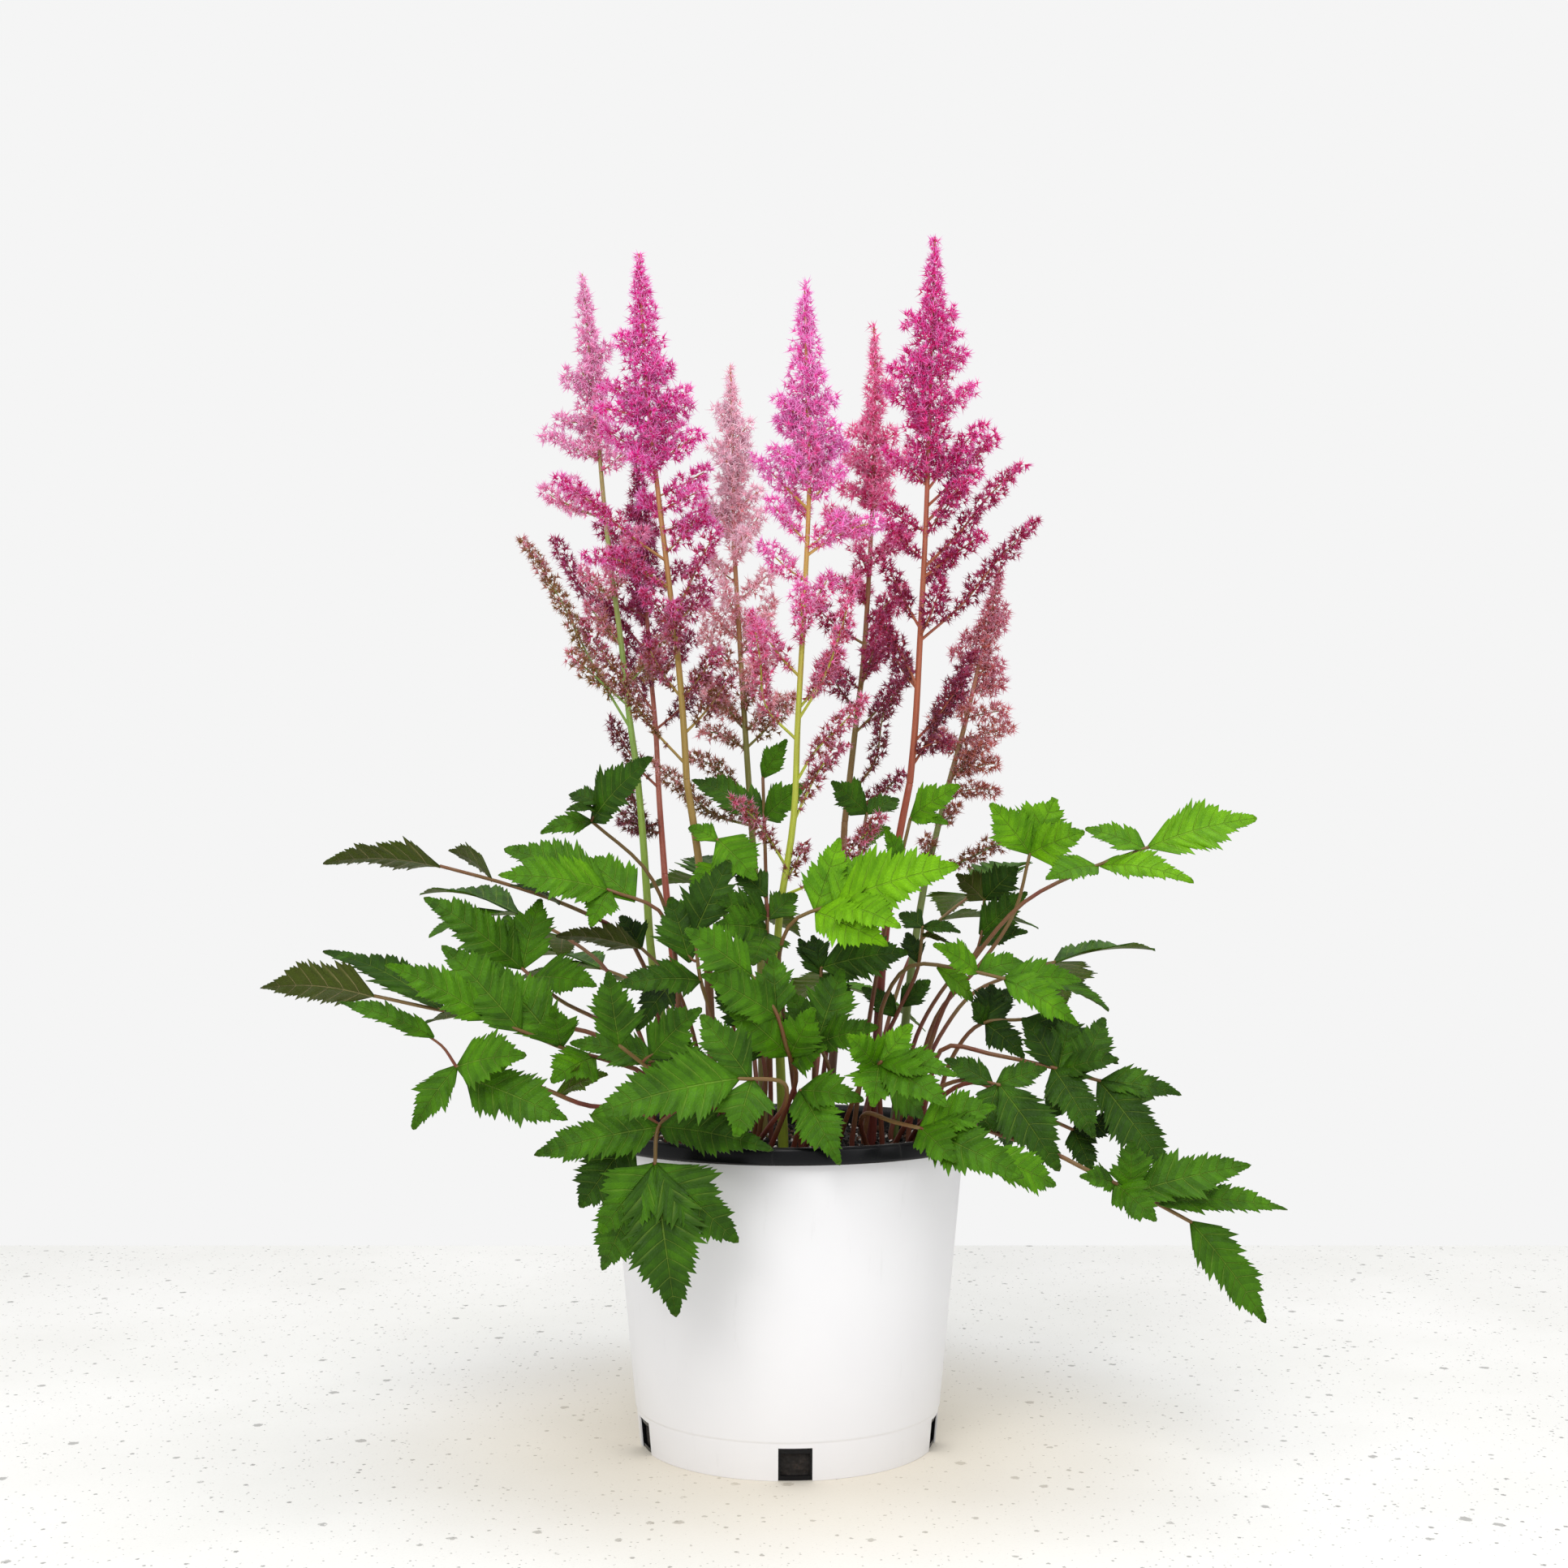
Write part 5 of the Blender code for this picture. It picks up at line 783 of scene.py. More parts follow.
def branch_piece(knots, thick, from_share=0.0):
    """A branch crowded with florets: bare at its foot, full along its middle, slimmer at its tip."""
    long = run_of(knots) > LONG_SPRAY
    bare = BARE_LONG if long else BARE_SHORT
    stations = (0.0, bare, bare + BRANCH_SWELL, BRANCH_FULL_TO, 1.0)
    shares = np.linspace(from_share, 1.0, LONG_RINGS if long else SHORT_RINGS)
    path = bent(knots, BRANCH_POINTS)
    radii = [thick * float(np.interp(share, stations, BRANCH_PROFILE)) for share in shares]
    return brush([place_on(path, share) for share in shares], radii, BRANCH_SIDES)


def candle_piece(stalk, axis):
    """The dense spire at the top of the flower axis."""
    first = round((stalk["bare"] + (1 - stalk["bare"]) * CANDLE_SHARE) * (len(axis) - 1))
    path = axis[first::2] if (len(axis) - first) % 2 else axis[first::2] + axis[-1:]
    wide = stalk["candle"] * MM
    radii = taper(wide, wide * CANDLE_TOP, len(path))
    radii[0] = wide * CANDLE_FOOT
    return brush(path, radii, CANDLE_SIDES)


def cut_short(knots, share):
    """The first share of a branch's knots."""
    path = bent(knots, BRANCH_POINTS)
    return [place_on(path, float(place)) for place in np.linspace(0.0, share, CUT_KNOTS)]


def wanted_branches(stalk, axis, rng):
    """Each side branch as the shapes it may take, best first, with its thickness."""
    wanted = []
    for back, *pixels in stalk["sprays"]:
        leans = [spray_knots(axis, back + more, pixels) for more in LEAN_TRIES]
        tries = [(knots, share) for share in SPRAY_SHARES for knots in leans]
        wanted.append((tries + [(leans[0], SPRAY_LAST_SHARE)], SPRAY_RADIUS))
    for knots, thick in ring_branches(stalk, axis, rng):
        wanted.append(([(knots, share) for share in RING_SHARES], thick))
    return wanted


def kept_branches(node, stalk, axis, rng, room):
    """The side branches that clear every other node, leaned or shortened where they have to be."""
    kept = []
    for tries, thick in wanted_branches(stalk, axis, rng):
        for knots, share in tries:
            knots = cut_short(knots, share)
            if not room.hits(node, branch_piece(knots, thick + HEAD_CLEAR, CLEAR_FROM)):
                kept.append((knots, thick))
                room.add(node, branch_piece(knots, thick))
                break
    return kept


def shift(mark, by):
    """A pixel mark moved along the line of sight."""
    return (mark[0], mark[1], mark[2] + by)


def teeth_of(length):
    """How many teeth a leaflet of this length has on each side."""
    return 4 if length > LONG_LEAFLET else 3 if length > SMALL_LEAFLET else 2


def leaflet_piece(row, by, tip_by, tilt_by, grown=0.0):
    """A leaflet of a leaf that is moved along the line of sight, and its tip more so."""
    base, tip = seen(*shift(row[0], by)), seen(*shift(row[1], by + tip_by))
    start = base + (tip - base).normalized() * grown * 2
    return (start, tip, row[2] * (1 + grown * GROWN_WIDER), row[3] + tilt_by, teeth_of((tip - base).length),
            BLADE_THICKNESS + 2 * grown)


def petiole(leaf, by, extra=0.0):
    """A leaf's stalk, moved along the line of sight."""
    marks = [shift(mark, by) for mark in leaf["path"]]
    count = 2 + len(marks)
    path = stem_path(leaf["foot"], marks, count)
    radii = [r + extra for r in taper(PETIOLE_RADIUS, PETIOLE_TIP_RADIUS, len(path))]
    return path, radii


def lay_leaf(name, leaf, room):
    """The leaf's stalk and its leaflets where they clear every other node, as the plans of its pieces."""
    best = None
    for by in DEPTH_TRIES:
        path, radii = petiole(leaf, by, BLADE_MARGIN)
        if room.hits(name, tube(path[1:], radii[1:], PETIOLE_SIDES)):
            continue
        clear = 0
        for row in leaf["blades"]:
            clear += not room.hits(name, blade(*leaflet_piece(row, by, 0, 0, BLADE_MARGIN)))
        if best is None or clear > best[0] + BETTER_BY:
            best = (clear, by)
        if clear == len(leaf["blades"]):
            break
    by = best[1] if best else 0
    path, radii = petiole(leaf, by)
    blades = []
    for row in leaf["blades"]:
        for tip_by, tilt_by in TIP_TRIES:
            if not room.hits(name, blade(*leaflet_piece(row, by, tip_by, tilt_by, BLADE_MARGIN))):
                blades.append(leaflet_piece(row, by, tip_by, tilt_by))
                break
    return path, radii, blades


def back_leaf(plan, rng):
    """A leaf behind the plant: a stalk that arches outwards, with three leaflets."""
    turn = math.radians(plan["heading"])
    out = Vector((math.cos(turn), math.sin(turn), 0))
    side = Vector((-out.y, out.x, 0))
    low, high = foot_of(plan["foot"])
    reach, rise = plan["reach"] * MM, plan["rise"] * MM
    knee, end = (high + out * reach * far + Vector((0, 0, up + rise * share))
                 for far, up, share in (BACK_KNEE, BACK_END))
    path = [low] + bent([high, knee, end], BACK_POINTS)
    along = (path[-1] - path[-2]).normalized()
    blades = []
    for place, spread, scale in BACK_SPREADS:
        heading = along * math.cos(spread) + side * math.sin(spread)
        droop = BACK_DROOP * (1 + abs(spread)) * rng.uniform(*BACK_VARIES)
        tip = path[place] + heading * BACK_LEAFLET * scale - Vector((0, 0, droop))
        teeth = teeth_of((tip - path[place]).length)
        blades.append((path[place], tip, BACK_LEAFLET_WIDE, rng.uniform(-BACK_TILT, BACK_TILT), teeth,
                       BLADE_THICKNESS))
    return path, taper(PETIOLE_RADIUS, PETIOLE_TIP_RADIUS, len(path)), blades


def lay_back_leaf(name, plan, room, rng):
    """A leaf behind the plant, without the leaflets that would cross another node."""
    path, radii, blades = back_leaf(plan, rng)
    kept = []
    for start, tip, wide, tilt, teeth, thickness in blades:
        for lift in BACK_LIFTS:
            moved = tip + Vector((0, 0, lift))
            inner = start + (moved - start).normalized() * BLADE_MARGIN * 2
            grown = blade(inner, moved, wide * (1 + BLADE_MARGIN * GROWN_WIDER), tilt, teeth,
                          thickness + 2 * BLADE_MARGIN)
            if not room.hits(name, grown):
                kept.append((start, moved, wide, tilt, teeth, thickness))
                break
    return path, radii, kept


def lay_out():
    """Where everything grows: stems and flower axes, leaves and side branches."""
    room = Room()
    stems, axes, leaves, branches = {}, {}, {}, {}
    for name, stalk in STALKS.items():
        stem, axis = stalk_pieces(stalk)
        stems[name], axes[name] = stem, axis
        wide = [r + BLADE_MARGIN for r in taper(STALK_RADIUS, STALK_TIP_RADIUS, len(stem) + len(axis))]
        room.add("stalk_" + name, tube(stem[1:], wide[1:len(stem)], STALK_SIDES))
        room.add("flowers_" + name, tube(axis, wide[len(stem):], STALK_SIDES))
        room.add("flowers_" + name, candle_piece(stalk, axis))
    rng = random.Random(LAYOUT_SEED)
    for name, plan in {**LEAVES, **BACK_LEAVES}.items():
        node = "leaf_" + name
        if "heading" in plan:
            leaves[node] = lay_back_leaf(node, plan, room, rng)
        else:
            leaves[node] = lay_leaf(node, plan, room)
        path, radii, blades = leaves[node]
        room.add(node, tube(path[1:], radii[1:], PETIOLE_SIDES))
        for blade_plan in blades:
            room.add(node, blade(*blade_plan))
    for name, stalk in STALKS.items():
        branches[name] = kept_branches("flowers_" + name, stalk, axes[name], random.Random(name), room)
    return stems, axes, leaves, branches


def wall_radius(z):
    """The white skin's outer radius at a height."""
    return FOOT_RADIUS + (SHOULDER_RADIUS - FOOT_RADIUS) * z / (POT_HEIGHT - RIM_BAND)


def liner_radius(z):
    """The black liner's outer radius at a height."""
    return wall_radius(z) - OUTER_WALL - GAP


# Fine leaves: each tooth is marks of (share of its run, how far out, how far forward)
BLADE_ROWS = 4
LEAF_THICKNESS = 0.00034
RIB_THICKER = 0.0005
RIB_RISE = 0.0004
BROADER = 1.12
TOOTH = ((0.00, 0.76, -0.08), (0.14, 0.84, 0.02), (0.32, 0.99, 0.22), (0.40, 0.88, 0.04),
         (0.60, 1.05, 0.28), (0.68, 0.92, 0.08), (0.94, 1.16, 0.52))
TOOTH_RUN = 0.0070
TOOTH_VARIES = (0.90, 1.10)
TOOTH_FORWARD = 0.5
TOOTH_FADES = 0.3
MIN_TEETH = 4
MAX_TEETH = 8
FOOT_OUT = 0.4
TIP_RUN = 0.05
TIP_OUT = 0.55
VEIN_AT = 0.94
BLADE_END = 0.95
LAST_EDGE = 0.995
SLANT = 0.80
SETTLE_STEPS = 12
EDGE_OUT = 0.0003
FOOT_HALF = 0.0007
TIP_HALF = 0.00015
# Lobes: how deep, how much deeper on a wide blade, how many, and how the blade narrows to its tip
LOBE_DEPTH = 0.12
WIDE_LOBE = 0.25
NARROW = 0.40
LOBES = 2.0
TIP_NARROWS = 0.30
NARROWS_FROM = 0.66
# Relief, as shares of a blade's length
PLEAT = 0.0105
WAVE = 0.012
WAVES = 1.9
WAVE_VARIES = (0.7, 1.3)
CURL = (-0.03, 0.06)
TONE_VARIES = 0.10
USUAL_TONE = 0.4
LEAF_SMOOTH = 50

# Fine stems, with hairs as (how many a millimetre, how long), and how far their ends bulge
PETIOLE_POINTS = 22
PETIOLE_ROUND = 9
PETIOLE_HAIRS = (0.9, 0.0010)
STALK_POINTS = 40
STALK_ROUND = 14
STALK_RIPPLE = 0.04
STALK_SMOOTH = 60
STALK_HAIRS = (2.0, 0.0009)
HAIR_WIDTH = 0.00012
HAIR_VARIES = (0.6, 1.3)
HAIR_LOOSE = 0.3
HAIR_ROOT = 0.9
START_BULGE = 0.3
END_BULGE = 0.8
# A leaflet's own short stalk
STALKLET_POINTS = 8
STALKLET_ROUND = 7
STALKLET_RADII = (0.00075, 0.0005)
STALKLET_BEND = 0.6
STALKLET_RISE = 0.0008
INTO_BLADE = 0.004

# Fine flowers
FLORETS_PER_MM = 4.1
PETAL_LENGTH = 0.0040
PETAL_WIDTH = 0.00090
PETALS_EACH = 5
PETAL_ROOT = 0.0002
PETAL_OPENS = (0.45, 1.25)
PETAL_LONGER = (0.7, 1.2)
PETAL_WIDER = (0.8, 1.3)
PETAL_TURNS = 0.25
OLD_SHRINKS = 0.25
HEART = 0.0008
HEART_SWELLS = 0.0006
HEART_LONG = 1.7
HEART_BACK = 0.0003
BEAD_CORNERS = ((1.0, 0.0), (-0.5, 0.87), (-0.5, -0.87))
# Each branch bears clusters of three florets: how far out on its twig each stands, and how loosely
TUFT = ((1.0, 0.35), (0.8, 0.5), (0.45, 0.7))
TUFT_SPREAD = 0.0008
CLUSTER_TURN = 2.4
CLUSTER_TURNS = 0.5
CLUSTER_LEAN = 0.4
CLUSTER_OUT = (0.45, 1.1)
LEAST_OUT = 0.0004
PETAL_IN = 0.55
FLORET_LEAN = 0.5
AGE_VARIES = 0.05
BRUSH_FULL = 1.22
# The candle and the side branches, and how old their florets are
AXIS_ROUND = 10
AXIS_TAPER = ((0, 0.6, 1), (AXIS_RADIUS, STALK_TIP_RADIUS, 0.0005))
CANDLE_POINTS = 24
CANDLE_SWELL = ((0, 0.12, 0.5, 0.85, 1), (1.12, 1.2, 0.98, 0.52, 0.1))
CANDLE_AGE = 0.30
CANDLE_DENSER = 1.5
BRANCH_FINE_POINTS = 14
BRANCH_FILLS = 0.15
BRANCH_SWELLS = (0.1, 0.25, 1.0, 0.95, 0.55)
TWIG_POINTS = 12
TWIG_ROUND = 5
TWIG_LONG = 0.0008
TWIG_SHORT = 0.0005
TWIG_TIP = 0.0003
AGE_AT_FOOT = 1.08
AGE_FALLS = 1.25
LEAST_AGE = 0.05
AGE_ALONG = 0.30
PALE_PLUMES = ("far_left", "middle_left", "far_right")


class Build:
    """Vertices, faces and per-vertex values that are gathered into one mesh."""

    def __init__(self):
        self.verts, self.faces, self.looks, self.values = [], [], [], []
        self.count = 0

    def add(self, verts, faces, look=0, **values):
        """Add vertices, one or more arrays of faces with equal corners, and values for the vertices."""
        verts = np.asarray(verts, float)
        self.verts.append(verts)
        for group in faces if isinstance(faces, list) else [faces]:
            self.faces.append(np.asarray(group, int) + self.count)
            self.looks.append(np.full(len(group), look))
        self.values.append({key: np.broadcast_to(np.asarray(value, float), len(verts))
                            for key, value in values.items()})
        self.count += len(verts)

    def mesh(self, name, looks):
        """The mesh, with a material slot for each look and an attribute for each value."""
        corners = np.concatenate([faces.ravel() for faces in self.faces])
        sizes = np.concatenate([np.full(len(faces), faces.shape[1]) for faces in self.faces])
        mesh = bpy.data.meshes.new(name)
        mesh.vertices.add(self.count)
        mesh.vertices.foreach_set("co", np.concatenate(self.verts).ravel())
        mesh.loops.add(len(corners))
        mesh.loops.foreach_set("vertex_index", corners.astype(np.int32))
        mesh.polygons.add(len(sizes))
        starts = np.concatenate([[0], np.cumsum(sizes)[:-1]])
        mesh.polygons.foreach_set("loop_start", starts.astype(np.int32))
        mesh.polygons.foreach_set("material_index", np.concatenate(self.looks).astype(np.int32))
        for look in looks:
            mesh.materials.append(look)
        for key in sorted({key for values in self.values for key in values}):
            parts = [values.get(key, np.zeros(len(verts))) for values, verts in zip(self.values, self.verts)]
            layer = mesh.attributes.new(key, "FLOAT", "POINT")
            layer.data.foreach_set("value", np.concatenate(parts).astype(np.float32))
        mesh.update(calc_edges=True)
        mesh.validate()
        return mesh


def piece(name, mesh, slot, *nodes, smooth=None):
    """A finished object that rides on the plant and stands for the solids of some nodes."""
    if smooth is None:
        mesh.shade_flat()
    else:
        mesh.shade_smooth()
        mesh.set_sharp_from_angle(angle=math.radians(smooth))
    thing = bpy.data.objects.new(name, mesh)
    bpy.context.scene.collection.objects.link(thing)
    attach(thing, "root")
    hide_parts(*nodes)
    return thing


def unit(rows):
    """Rows of vectors scaled to length one."""
    return rows / np.maximum(np.linalg.norm(rows, axis=-1, keepdims=True), 1e-9)


def square_to(ways):
    """Two rows of unit vectors square to rows of directions."""
    helper = np.where(np.abs(ways[:, 2:3]) < 0.9, (0.0, 0.0, 1.0), (1.0, 0.0, 0.0))
    side = unit(np.cross(ways, helper))
    return side, np.cross(ways, side)


def spokes(side, up, turns):
    """Directions at these turns round a stem, from two directions square to it."""
    return side * np.cos(turns)[..., None] + up * np.sin(turns)[..., None]


def rows_of(path):
    """A path's points as rows of numbers, and how far along it each one lies."""
    rows = np.array([tuple(point) for point in path])
    return rows, np.concatenate([[0], np.cumsum(np.linalg.norm(np.diff(rows, axis=0), axis=1))])


def read_at(rows, runs, spots):
    """Rows of numbers read between the points of a path, at these distances along it."""
    return np.stack([np.interp(spots, runs, rows[:, axis]) for axis in range(3)], -1)


def tube_arrays(path, radii, sides, ripple=0.0):
    """A closed round stem along a path: vertices, quads for its wall and its two rounded ends."""
    path = rows_of(path)[0]
    radii = np.asarray(radii, float)
    ways = unit(np.gradient(path, axis=0))
    side = np.array(tuple(across(Vector(path[-1] - path[0]))))
    u = unit(side - ways * (ways @ side)[:, None])
    v = np.cross(ways, u)
    turns = 2 * math.pi * np.arange(sides) / sides
    ring = spokes(u[:, None], v[:, None], turns[None]) * (1 + ripple * np.cos(turns * 3))[None, :, None]
    verts = (path[:, None] + ring * radii[:, None, None]).reshape(-1, 3)
    row, k = np.meshgrid(np.arange(len(path) - 1), np.arange(sides), indexing="ij")
    nxt = (k + 1) % sides
    quads = np.stack([row * sides + k, row * sides + nxt, (row + 1) * sides + nxt, (row + 1) * sides + k], -1)
    start, end = len(verts), len(verts) + 1
    ends = (path[0] - ways[0] * radii[0] * START_BULGE, path[-1] + ways[-1] * radii[-1] * END_BULGE)
    verts = np.vstack([verts, *ends])
    ring_0, ring_1 = np.arange(sides), (np.arange(sides) + 1) % sides
    last = (len(path) - 1) * sides
    caps = np.vstack([np.stack([np.full(sides, start), ring_1, ring_0], -1),
                      np.stack([np.full(sides, end), last + ring_0, last + ring_1], -1)])
    return verts, quads.reshape(-1, 4), caps


def add_tube(build, path, radii, sides, look, ripple=0.0, **values):
    """Add a stem to a build; its height along the path goes out as the value run."""
    verts, quads, caps = tube_arrays(path, radii, sides, ripple)
    run = np.concatenate([np.repeat(np.linspace(0, 1, len(path)), sides), [0, 1]])
    build.add(verts, [quads, caps], look, run=run, **values)


def add_spikes(build, roots, ways, lengths, widths, look, flat=0.55, turn=None, **values):
    """Add slim closed spikes: three base corners and a tip each; the value tip runs from 0 to 1."""
    side, up = square_to(ways)
    count = len(roots)
    angles = (np.zeros(count) if turn is None else turn)[:, None] + 2 * math.pi * np.arange(3) / 3
    half = (np.broadcast_to(widths, count) / 2)[:, None, None]
    base = roots[:, None] + spokes(side[:, None], up[:, None] * flat, angles) * half
    tips = roots + ways * np.broadcast_to(lengths, count)[:, None]
    verts = np.concatenate([base, tips[:, None]], axis=1).reshape(-1, 3)
    first = 4 * np.arange(count)[:, None, None]
    faces = (first + np.array([(0, 1, 3), (1, 2, 3), (2, 0, 3), (0, 2, 1)])).reshape(-1, 3)
    spread = {key: np.repeat(np.broadcast_to(value, count), 4) for key, value in values.items()}
    build.add(verts, faces, look, tip=np.tile((0.0, 0.0, 0.0, 1.0), count), **spread)


def add_beads(build, centres, ways, lengths, widths, look, **values):
    """Add small closed bodies with a pointed top and foot and three corners round the middle."""
    side, up = square_to(ways)
    count = len(centres)
    long, half = np.broadcast_to(lengths, count)[:, None] / 2, np.broadcast_to(widths, count)[:, None] / 2
    corners = [centres + (side * along_side + up * along_up) * half for along_side, along_up in BEAD_CORNERS]
    verts = np.stack([centres - ways * long, *corners, centres + ways * long], axis=1).reshape(-1, 3)
    first = 5 * np.arange(count)[:, None, None]
    faces = first + np.array([(0, 2, 1), (0, 3, 2), (0, 1, 3), (4, 1, 2), (4, 2, 3), (4, 3, 1)])
    spread = {key: np.repeat(np.broadcast_to(value, count), 5) for key, value in values.items()}
    build.add(verts, faces.reshape(-1, 3), look, tip=np.tile((0.0, 0.1, 0.1, 0.1, 0.3), count), **spread)


def tooth_marks(teeth):
    """A blade's stations from foot to tip, with how far out and how far forward its edge lies at each."""
    marks = [(k + phase, out, forward) for k in range(teeth) for phase, out, forward in TOOTH]
    return np.array([(0.0, FOOT_OUT, 0.0)] + marks[1:] + [(teeth + TIP_RUN, TIP_OUT, 0.0)]).T


def blade_edge(marks, teeth, length, wide, rng):
    """One toothed and lobed edge: places along the blade, half widths, and where its waves lie."""
    station, out, forward = marks
    u = station / station[-1]
    place = u.copy()
    for _ in range(SETTLE_STEPS):
        round_out = np.sin(math.pi * np.clip(place, 0, 1) ** WIDEST_POWER).clip(0) ** FULLNESS
        width = BROADER * wide * length / 2 * round_out
        place = np.minimum(u * BLADE_END + SLANT * width / length, LAST_EDGE)
    jitter = np.repeat(rng.uniform(*TOOTH_VARIES, teeth + 2), len(TOOTH))[:len(u)]
    depth = LOBE_DEPTH + WIDE_LOBE * max(0.0, wide - NARROW)
    lobes = 1 + depth * np.sin(2 * math.pi * (place * LOBES + rng.uniform(0, 1)))
    lobes *= 1 - TIP_NARROWS * np.clip((place - NARROWS_FROM) / (1 - NARROWS_FROM), 0, 1)
    width = width * out * jitter * lobes + EDGE_OUT
    place = place + forward / teeth * (1 - u) ** TOOTH_FADES * TOOTH_FORWARD
    place[-1], width[-1] = 1.0, TIP_HALF
    place[0], width[0] = 0.0, FOOT_HALF
    return place[:, None], width[:, None], rng.uniform(0, 1), rng.uniform(*WAVE_VARIES)


def leaflet(build, base, tip, wide, tilt, tone, rng):
    """A fine leaflet in the place of a solid one: toothed, pleated along its veins, thin and closed."""
    length = (tip - base).length
    along = (tip - base).normalized()
    lean = math.radians(tilt)
    up = Vector((0, -math.sin(lean), math.cos(lean)))
    up = (up - along * up.dot(along)).normalized()
    along, side, up, base = (np.array(tuple(way)) for way in (along, along.cross(up), up, base))
    teeth = int(np.clip(round(length / TOOTH_RUN), MIN_TEETH, MAX_TEETH))
    marks = tooth_marks(teeth)
    station = marks[0]
    u = (station / station[-1])[:, None]
    rows = np.arange(-BLADE_ROWS, BLADE_ROWS + 1) / BLADE_ROWS
    left, right = blade_edge(marks, teeth, length, wide, rng), blade_edge(marks, teeth, length, wide, rng)
    place, width, wave_at, wave_by = (np.where(rows < 0, a, b) for a, b in zip(left, right))
    f = np.abs(rows)
    spot = u + (place - u) * f ** 1.15
    out = width * f
    rise = np.sin(math.pi * u.clip(0.02, 0.98)) * f ** 0.6 * (1 - 0.35 * f)
    pleat = -PLEAT * length * np.cos(2 * math.pi * (station[:, None] - VEIN_AT)) * rise
    wave = WAVE * length * np.sin(2 * math.pi * (WAVES * place + wave_at)) * f ** 2 * wave_by
    curl = rng.uniform(*CURL) * length * spot ** 3
    rib = RIB_RISE * (1 - f) ** 6 * (1 - u)
    arch = length * BLADE_ARCH * 4 * spot * (1 - spot)
    lift = arch + out * BLADE_FOLD + pleat + wave - curl - rib
    flat = base + along * (spot * length)[..., None] + side * (np.sign(rows) * out)[..., None]
    top = flat + up * lift[..., None]
    under = top - up * (LEAF_THICKNESS + RIB_THICKER * (1 - f) ** 8 * (1 - u))[..., None]
    count, cols = top.shape[:2]
    grid = np.arange(count * cols).reshape(count, cols)
    quads = np.stack([grid[:-1, :-1], grid[:-1, 1:], grid[1:, 1:], grid[1:, :-1]], -1).reshape(-1, 4)
    below = quads[:, ::-1] + count * cols
    rim = np.concatenate([grid[0, :-1], grid[:-1, -1], grid[-1, :0:-1], grid[:0:-1, 0]])
    wall = np.stack([rim, np.roll(rim, -1), np.roll(rim, -1) + count * cols, rim + count * cols], -1)[:, ::-1]
    build.add(np.vstack([top.reshape(-1, 3), under.reshape(-1, 3)]), np.vstack([quads, below, wall]),
              vein=np.tile(np.repeat(station, cols), 2), out=np.tile(np.tile(rows, count), 2), tone=tone,
              under=np.repeat((0.0, 1.0), count * cols), each=rng.uniform(0, 1))


def hairs(build, path, radii, rng, kind, look):
    """Fine hairs that stand out from a stem."""
    per_mm, length = kind
    rows, runs = rows_of(path)
    count = int(runs[-1] / MM * per_mm)
    spots = rng.uniform(0, runs[-1], count)
    side, up = square_to(unit(read_at(np.gradient(rows, axis=0), runs, spots)))
    out = spokes(side, up, rng.uniform(0, 2 * math.pi, count))
    roots = read_at(rows, runs, spots) + out * (np.interp(spots, runs, radii) * HAIR_ROOT)[:, None]
    add_spikes(build, roots, unit(out + HAIR_LOOSE * rng.normal(size=(count, 3))),
               length * rng.uniform(*HAIR_VARIES, count), HAIR_WIDTH, look, run=spots / runs[-1])


def make_leaf(node, path, radii, blades, tone):
    """A leaf's fine piece: its stalk with hairs, the short stalks of its leaflets, and its leaflets."""
    rng = np.random.default_rng(sum(map(ord, node)))
    build = Build()
    smooth = path[:1] + bent(path[1:], PETIOLE_POINTS)
    wide = np.interp(np.linspace(0, 1, len(smooth)), np.linspace(0, 1, len(radii)), radii)
    add_tube(build, smooth, wide, PETIOLE_ROUND, 1)
    hairs(build, smooth[1:], wide[1:], rng, PETIOLE_HAIRS, 1)
    for start, tip, share, tilt, _, _ in blades:
        spot = nearest(path, start)
        along = (tip - start).normalized()
        if (spot - start).length > SNAP:
            knee = spot.lerp(start, STALKLET_BEND) + Vector((0, 0, STALKLET_RISE))
            stem = bent([spot, knee, start + along * INTO_BLADE], STALKLET_POINTS)
            add_tube(build, stem, np.linspace(*STALKLET_RADII, STALKLET_POINTS), STALKLET_ROUND, 1)
        else:
            start = spot - along * INTO_STALK
        leaflet(build, start, tip, share, tilt, tone + rng.uniform(-TONE_VARIES, TONE_VARIES), rng)
    mesh = build.mesh(node, (LEAF, PETIOLE))
    return piece(node.replace("leaf_", "foliage_", 1), mesh, "leaf", node, smooth=LEAF_SMOOTH)


def florets(build, centres, ways, ages, rng):
    """Star-shaped tufts of needle petals round a small calyx."""
    count = len(centres)
    tints = rng.uniform(0, 1, count)
    petals = PETALS_EACH
    side, up = square_to(ways)
    turns = rng.uniform(0, 2 * math.pi, (count, 1)) + 2 * math.pi * np.arange(petals) / petals
    turns = turns + rng.normal(0, PETAL_TURNS, (count, petals))
    opens = rng.uniform(*PETAL_OPENS, (count, petals))
    out = spokes(side[:, None], up[:, None], turns)
    petal_ways = unit(spokes(ways[:, None], out, opens))
    lengths = PETAL_LENGTH * rng.uniform(*PETAL_LONGER, (count, petals)) * (1 - OLD_SHRINKS * ages)[:, None]
    roots = centres[:, None] + out * PETAL_ROOT
    widths = PETAL_WIDTH * rng.uniform(*PETAL_WIDER, count * petals)
    add_spikes(build, roots.reshape(-1, 3), petal_ways.reshape(-1, 3), lengths.ravel(), widths, 0,
               turn=rng.uniform(0, 6, count * petals), age=np.repeat(ages, petals),
               tint=np.repeat(tints, petals))
    fat = HEART + HEART_SWELLS * ages
    add_beads(build, centres - ways * HEART_BACK, ways, fat * HEART_LONG, fat, 0, age=ages, tint=tints)


